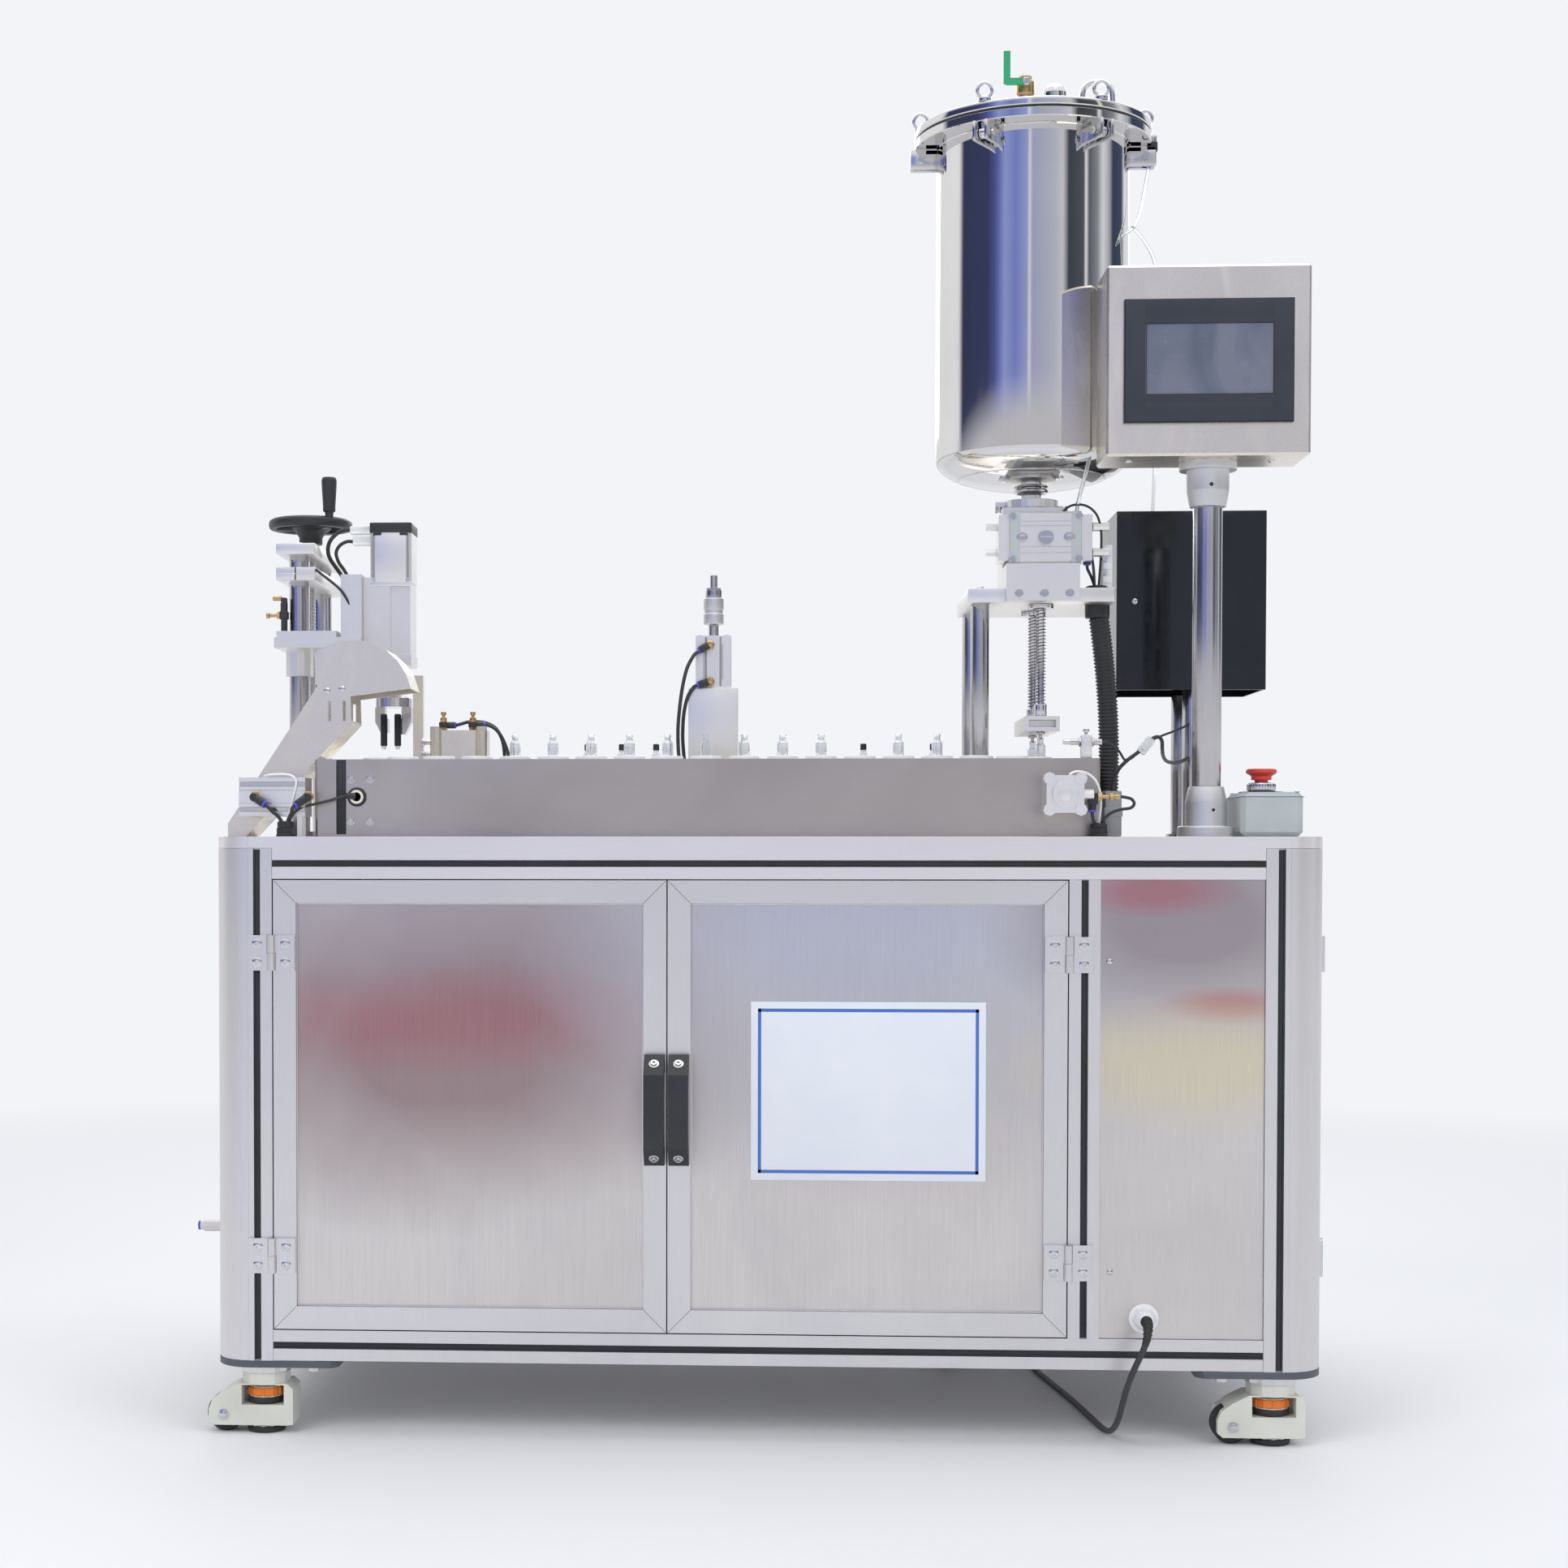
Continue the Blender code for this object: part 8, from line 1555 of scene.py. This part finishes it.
def eject_details():
    put("table_gland", table_gland(-627, 27), BLACK)
    brass, black, blue = Shape(), Shape(), Shape()
    ends = []
    for x, way in ((-667.5, Vector((0.82, -0.25, -0.52))), (-597.5, Vector((-0.78, -0.25, -0.58)))):
        way.normalize()
        brass.nut((x, 32.2, EJECT_FITTING_Z), -Y, 5.4, 7.6)
        brass.rod((x, 27.4, EJECT_FITTING_Z), -Y, 5.6, 5.2, steps=28)
        start = Vector((x, 21.5, EJECT_ELBOW_Z)) + way * 2
        black.turned([(0, 0), (5.2, 0), (5.4, 13), (4.8, 15), (0, 15)], 0.8, start, way, 28)
        black.rod((x, 26.0, EJECT_ELBOW_Z), -Y, 8.6, 5.4, steps=28)
        blue.rod(start + way * 14.8, way, 3.0, 5.0, steps=28)
        ends.append(start + way * 17.6)
    put("eject_fittings", brass, BRASS)
    put("eject_elbows", black, BLACK)
    put("eject_collars", blue, BLUE)
    hose("eject_tube_left", [
        ends[0], ends[0] + Vector((5, -1, -4)), (-643, 19, 818), (-637, 23, 812.5),
        (-632, 25.5, 805.0), (-630.5, 26, 800),
    ], 5.0)
    hose("eject_tube_right", [
        ends[1], ends[1] + Vector((-3.5, 0.5, -3.5)), (-617.5, 21, 817), (-621, 24, 811),
        (-624, 26, 804.5), (-624.5, 27, 800),
    ], 5.0)
    hose("white_loop", [
        (-626, 31, 800), (-624, 31, 812), (-619, 30, 830), (-615, 30, 846), (-613.5, 30, 857),
        (-617.5, 30, 864), (-627, 30, 867), (-640, 30, 867), (-650, 31.5, 866.2),
        (-657, 38, 864.8),
    ], 3.0, WHITE)
    # Darker chrome strips paint the shade inside the eject cylinder's grooves.
    grooves = Shape()
    for levels, front, back, half in (((821, 854), 31.9, 32.9, 2.6), ((829, 846), 31.8, 32.3, 0.6)):
        for z in levels:
            grooves.box((-689.4, front, z - half), (-602.6, back, z + half), 0.1, 1)
    put("eject_grooves", grooves, CHROME, slot="machined_aluminium")


def clamp_details():
    brass, black, blue = Shape(), Shape(), Shape()
    for x in (-458, -416):
        brass.nut((x, CLAMP_Y, 938.6), Z, 5.0, 6.0)
        black.box((x - 6, 306, 942.6), (x + 6, 318, 951), 1.6)
        black.rod((x + 5, CLAMP_Y, CLAMP_TUBE_Z), X, 11, 4.8, steps=24)
        blue.rod((x + 15.8, CLAMP_Y, CLAMP_TUBE_Z), X, 2.4, 4.6, 0.4, 24)
        for z, height, radius, steps in (
            (950.6, 6.4, 4.8, 24), (956.8, 4.2, 2.4, 20), (960.6, 4.6, 4.0, 20)
        ):
            brass.rod((x, CLAMP_Y, z), Z, height, radius, steps=steps)
    put("clamp_brass", brass, BRASS)
    put("clamp_elbows", black, BLACK)
    put("clamp_collars", blue, BLUE)
    hose("clamp_tube_right", [
        (-397.8, CLAMP_Y, CLAMP_TUBE_Z), (-393, 312, 945.8), (-384, 313, 941), (-376, 314, 931),
        (-370, 316, 918), (-366, 318, 904), (-365, 320, 887.5),
    ], 5.0)
    hose("clamp_tube_left", [
        (-439.8, CLAMP_Y, CLAMP_TUBE_Z), (-434, 315, 948.2), (-424, 322.5, 951.5), (-412, 325.5, 952),
        (-398, 324, 950), (-385, 322, 943), (-377, 322, 930), (-373, 323, 914), (-371.5, 325, 887.5),
    ], 5.0)
    rods = Shape()
    for z in (905, 922):
        rods.rod((-489.6, CLAMP_Y, z), X, 14.6, 4.0, steps=24)
        rods.rod((-489.4, CLAMP_Y, z), X, 4, 6.4, 0.4, 28)
    put("clamp_rods", rods, CHROME)


def sensor():
    barrel = Shape().turned([
        (0, 0), (3.4, 0), (3.4, 10), (4.0, 10.6), (4.0, 50), (0, 50)
    ], 0.5, (SENSOR_X, SENSOR_Y, SENSOR_Z), X, 28)
    for step in range(24):
        barrel.ring((SENSOR_X + 10 + step * 1.6, SENSOR_Y, SENSOR_Z), X, 3.95, 0.35, 24, 6)
    for x in (409.0, 425.6):
        barrel.nut((x, SENSOR_Y, SENSOR_Z), X, 3.0, 7.0)
    put("sensor_barrel", barrel, CHROME)
    put("sensor_block", Shape().box((412, 56, 887.0), (425.6, 69, 917.6), 0.8), MACHINED)
    screw = Shape().rod((418.8, 62.5, 917.2), Z, 5, 2.2, steps=20)
    screw.rod((418.8, 62.5, 921.6), Z, 4, 4.2, steps=24)
    put("sensor_screw", screw, CHROME)
    hose("photo_cable", [
        (438.6, SENSOR_Y, SENSOR_Z), (446, 62.5, 908), (455, 65, 903.5), (463, 71, 896.5),
        (468.5, 80, 890),
        (474, 96, 887), (486, 120, 890), (502, 160, 902), (520, 215, 915), (548, 262, 927),
        (575, 296, 937), (590, 312, 944), (597, 319, 950),
    ], 3.2, stiffness="limp")
    plug = Shape().box((-6, -5, 0), (6, 5, 24), 1.2)
    plug.box((-4, -6.4, 5), (4, -4.6, 20), 0.6)
    plug.moved(Matrix.Translation((494, 98, 896)) @ Matrix.Rotation(math.radians(38), 4, "Y"))
    plug = put("cable_connector", plug, MILKY)
    hose("connector_cable", [
        (459, 106, 846), (460, 104, 858), (466, 101, 874), (478, 98.5, 887), (494, 98, 899),
        (508, 98, 913.5), (518, 101, 917), (524, 110, 912), (527, 126, 903), (532, 152, 895),
        (543, 198, 890), (560, 250, 889), (577, 288, 892), (592, 314, 898),
    ], 5.0, stiffness="limp", pieces=[plug])


def transfer_details():
    x, z = CYLINDER_X, CYLINDER_Z
    shape = Shape()
    for radius in (16.8, 9.6):
        shape.turned([
            (radius - 1.6, 0), (radius, 0), (radius, 0.9), (radius - 1.6, 0.9), (radius - 1.6, 0)
        ], 0.3, (x, -15.1, z), -Y, 56)
    shape.rod((x, -15.2, z), -Y, 0.5, 8.0, 0.2, 48)
    put("cylinder_cap_rings", shape, MACHINED)
    # Black discs in the screw heads paint the shade inside their sockets.
    screws, socket_shades = Shape(), Shape()
    for dx, dz in itertools.product((-20, 20), (-20, 20)):
        screws.turned([
            (0, 0), (5.4, 0), (5.4, 0.6), (3.0, 0.6), (2.8, 0.1), (0, 0.1)
        ], 0.2, (x + dx, -12.2, z + dz), -Y, 28)
        socket_shades.lathe([(0, 0), (2.7, 0), (2.7, 0.3), (0, 0.3)], (x + dx, -12.3, z + dz), -Y, 20)
    put("cylinder_screws", screws, CHROME)
    put("cylinder_screw_socket_shade", socket_shades, SLOT_BLACK)
    black, brass, blue = Shape(), Shape(), Shape()
    black.box((415, 6, 826), (428, 18, 841), 2.0, 3)
    black.rod((421, 12, 828), -Z, 9, 5.2, steps=24)
    blue.rod((421, 12, 819.4), -Z, 3.0, 5.0, steps=24)
    brass.rod((410, TRANSFER_Y, TRANSFER_Z), X, 7, 4.2, steps=24)
    brass.nut((427.6, TRANSFER_Y, TRANSFER_Z), X, 6, 5.4)
    brass.rod((433.4, TRANSFER_Y, TRANSFER_Z), X, 10, 2.6, steps=20)
    brass.nut((443.0, TRANSFER_Y, TRANSFER_Z), X, 5, 5.0)
    brass.rod((447.6, TRANSFER_Y, TRANSFER_Z), X, 9, 3.4, steps=20)
    put("transfer_elbow", black, BLACK)
    put("transfer_fittings", brass, BRASS)
    put("transfer_collar", blue, BLUE)
    put("table_gland_right", table_gland(431, 27, 18.0), BLACK)
    hose("white_arc", [
        (389, -10, 863.4), (393, -10, 866.5), (401, -8, 868), (411, -4, 866), (421, 2, 860),
        (428, 8, 850), (431.5, 14, 837), (432.5, 20, 822), (431.5, 25, 808), (431, 27, 799.5),
    ], 3.2, WHITE)
    hose("transfer_tube", [
        (421, 12, 816.4), (421.2, 12.6, 812), (423, 16, 806), (426, 21, 801.5), (428, 25, 797.5),
        (428.5, 28, 790),
    ], 4.4)
    hose("black_loop", [
        (456.6, TRANSFER_Y, TRANSFER_Z), (462, 12, 835.6), (471, 12.6, 833), (474.5, 14, 827),
        (470, 16, 821.8),
        (459, 19, 820), (447, 22, 816), (438, 25, 808), (434.5, 27, 799.5),
    ], 4.0)
    manifold = Shape().box((448, 96, 786), (470, 150, 846), 1.6)
    manifold.box((446.8, 95.2, 812), (471.2, 97, 824), 0.6)
    put("valve_manifold", manifold, GREY_BLOCK)


def conduit():
    low = Vector((CONDUIT_LOW_X, CONDUIT_Y, 785.3))
    high = Vector((CONDUIT_HIGH_X, CONDUIT_Y, 1099.7))
    path = []
    steps = 260
    for step in range(steps + 1):
        t = step / steps
        spot = low.lerp(high, t)
        spot.x += 9 * math.sin(math.pi * t)
        path.append(spot)
    first, last = 14, steps - 12
    radii = [13.9 if (step // 2) % 2 == 0 else 12.2 for step in range(first, last)]
    shape = Shape().tube(path[first:last], 14, 28, radii)
    shape.nut((CONDUIT_LOW_X, CONDUIT_Y, 785.3), Z, 8, 21.4, 1.0)
    shape.turned([
        (0, 0), (17.6, 0), (17.6, 12), (16, 14), (0, 14)
    ], 0.9, (CONDUIT_LOW_X, CONDUIT_Y, 793), Z, 48)
    shape.ribs((CONDUIT_LOW_X, CONDUIT_Y, 794.4), 17.3, 18, 10.8, 0.9)
    shape.turned([
        (0, 0), (16, 0), (16.6, 4), (16.6, 16.6), (0, 16.6)
    ], 0.8, (CONDUIT_HIGH_X, CONDUIT_Y, 1083), Z, 48)
    put("conduit_hose", shape, BLACK, angle=55, replaces=("cable_conduit",))


def air_inlet_details():
    ring = Shape().lathe(
        [(4.0, 0), (5.9, 0), (6.1, 0.6), (6.1, 2.6), (4.0, 2.6), (4.0, 0)], (-761.2, 110, 260), -X, 28
    )
    put("air_inlet_collar", ring, BLUE)


chute_screws()
skirt_details()
eject_details()
clamp_details()
sensor()
transfer_details()
conduit()
air_inlet_details()


# Studio

ROOM_COLOUR = (0.896, 0.904, 0.939)


def area_light(name, place, target, size, power, colour=(1, 1, 1), mirrored=True):
    light = bpy.data.lights.new(name, "AREA")
    light.shape = "RECTANGLE"
    light.size, light.size_y = size
    light.energy = power
    light.color = colour
    lamp = bpy.data.objects.new(name, light)
    lamp.location = place
    lamp.visible_glossy = mirrored
    lamp.rotation_euler = (Vector(target) - Vector(place)).to_track_quat("-Z", "Y").to_euler()
    scene.collection.objects.link(lamp)


def studio():
    area_light("key", (-2.2, -3.2, 3.0), (0, 0, 0.9), (2.2, 2.2), 55, (1.0, 0.99, 0.98), False)
    area_light("fill", (2.8, -2.8, 2.0), (0, 0, 0.9), (1.8, 2.4), 34, (0.97, 0.98, 1.0), False)
    area_light("top", (0.2, 0.2, 3.6), (0, 0, 0.8), (3.0, 2.2), 32)
    area_light("back", (0.0, 3.2, 2.6), (0, 0, 1.2), (3.4, 1.6), 30)
    mesh = bpy.data.meshes.new("floor")
    shape = bmesh.new()
    bmesh.ops.create_circle(shape, cap_ends=True, segments=96, radius=60)
    shape.to_mesh(mesh)
    shape.free()
    look = Look("floor", (0.86, 0.87, 0.89), 0.75)
    cloud = look.spread(look.noise(1.5, 2.0), 0.3, 0.7, 0, 1)
    look.colour(look.mix(cloud, (0.86, 0.87, 0.892), (0.85, 0.86, 0.882)))
    look.rough(look.spread(look.noise(40.0), 0.3, 0.7, 0.7, 0.8))
    away = look.node("ShaderNodeVectorMath", {0: look.place}, operation="LENGTH").outputs["Value"]
    far = look.spread(away, 1.6, 4.5, 0.0, 1.0)
    glow = look.node("ShaderNodeEmission", {"Color": (*ROOM_COLOUR, 1), "Strength": 1.0})
    blend = look.node("ShaderNodeMixShader", {
        0: far, 1: look.shader.outputs[0], 2: glow.outputs[0],
    })
    output = look.tree.nodes["Material Output"]
    look.tree.links.new(blend.outputs[0], output.inputs["Surface"])
    mesh.materials.append(look.material)
    floor = bpy.data.objects.new("floor", mesh)
    scene.collection.objects.link(floor)


def ramp(tree, factor, stops):
    """A colour ramp through (position, tone) stops, a tone being a colour or a grey level."""
    node = add_node(tree, "ShaderNodeValToRGB", {0: factor})
    elements = node.color_ramp.elements
    while len(elements) < len(stops):
        elements.new(0.5)
    for element, (position, tone) in zip(elements, stops):
        element.position = position
        element.color = (*tone, 1) if isinstance(tone, tuple) else (tone, tone, tone, 1)
    return node.outputs[0]


def sky():
    """A pale room with a few darker and bluish stretches of wall for the polished metal."""
    world = bpy.data.worlds.new("studio")
    scene.world = world
    world.use_nodes = True
    tree = world.node_tree
    tree.nodes.clear()
    place = add_node(tree, "ShaderNodeTexCoord").outputs["Generated"]
    parts = add_node(tree, "ShaderNodeSeparateXYZ", {0: place}).outputs
    minus = add_node(tree, "ShaderNodeMath", {0: parts["Y"], 1: -1}, operation="MULTIPLY")
    turn = add_node(
        tree, "ShaderNodeMath", {0: parts["X"], 1: minus.outputs[0]}, operation="ARCTAN2"
    )
    share = add_node(tree, "ShaderNodeMapRange", {
        "Value": turn.outputs[0], "From Min": -math.pi, "From Max": math.pi,
    })
    walls = ramp(tree, share.outputs["Result"], [
        (0.00, (0.80, 0.81, 0.84)), (0.06, (0.90, 0.91, 0.93)), (0.19, (1.0, 1.0, 1.02)),
        (0.215, (0.95, 0.96, 1.0)), (0.235, (0.045, 0.055, 0.115)), (0.335, (0.050, 0.060, 0.15)),
        (0.36, (0.09, 0.11, 0.34)), (0.375, (0.16, 0.20, 0.56)), (0.395, (0.34, 0.40, 0.80)),
        (0.43, (0.22, 0.28, 0.68)), (0.47, (0.38, 0.43, 0.80)), (0.475, (0.90, 0.92, 1.0)),
        (0.485, (0.44, 0.47, 0.66)), (0.56, (0.58, 0.60, 0.72)), (0.585, (0.72, 0.73, 0.76)),
        (0.605, (0.06, 0.07, 0.09)), (0.66, (0.10, 0.11, 0.13)), (0.668, (1.0, 1.0, 1.0)),
        (0.68, (0.13, 0.14, 0.17)), (0.715, (0.30, 0.32, 0.36)), (0.74, (0.86, 0.88, 0.92)),
        (0.77, (0.50, 0.52, 0.56)), (0.79, (0.05, 0.07, 0.12)), (0.85, (0.07, 0.09, 0.15)),
        (0.875, (0.90, 0.92, 0.96)), (1.00, (0.80, 0.81, 0.84)),
    ])
    rise = add_node(tree, "ShaderNodeMapRange", {
        "Value": parts["Z"], "From Min": -1, "From Max": 1,
    }).outputs["Result"]
    height = ramp(tree, rise, [
        (0.0, 0.0), (0.515, 0.0), (0.535, 1.0), (0.68, 1.0), (0.74, 0.0), (1.0, 0.0)
    ])
    plain = ramp(tree, rise, [
        (0.0, (0.70, 0.70, 0.72)), (0.46, (0.80, 0.79, 0.79)), (0.495, (0.66, 0.64, 0.66)),
        (0.52, (0.66, 0.66, 0.71)), (0.60, (0.86, 0.87, 0.92)), (0.78, (1.05, 1.05, 1.07)),
        (1.0, (1.15, 1.15, 1.15)),
    ])
    rays = add_node(tree, "ShaderNodeLightPath").outputs
    room = mixed(tree, height, plain, walls)
    glossy = mixed(tree, rays["Is Glossy Ray"], (0.62, 0.63, 0.655), room)
    seen = mixed(tree, rays["Is Camera Ray"], glossy, ROOM_COLOUR)
    background = add_node(tree, "ShaderNodeBackground", {"Color": seen, "Strength": 1.0})
    add_node(tree, "ShaderNodeOutputWorld", {"Surface": background.outputs[0]})


studio()
sky()
scene.view_settings.view_transform = "Standard"
scene.view_settings.look = "None"
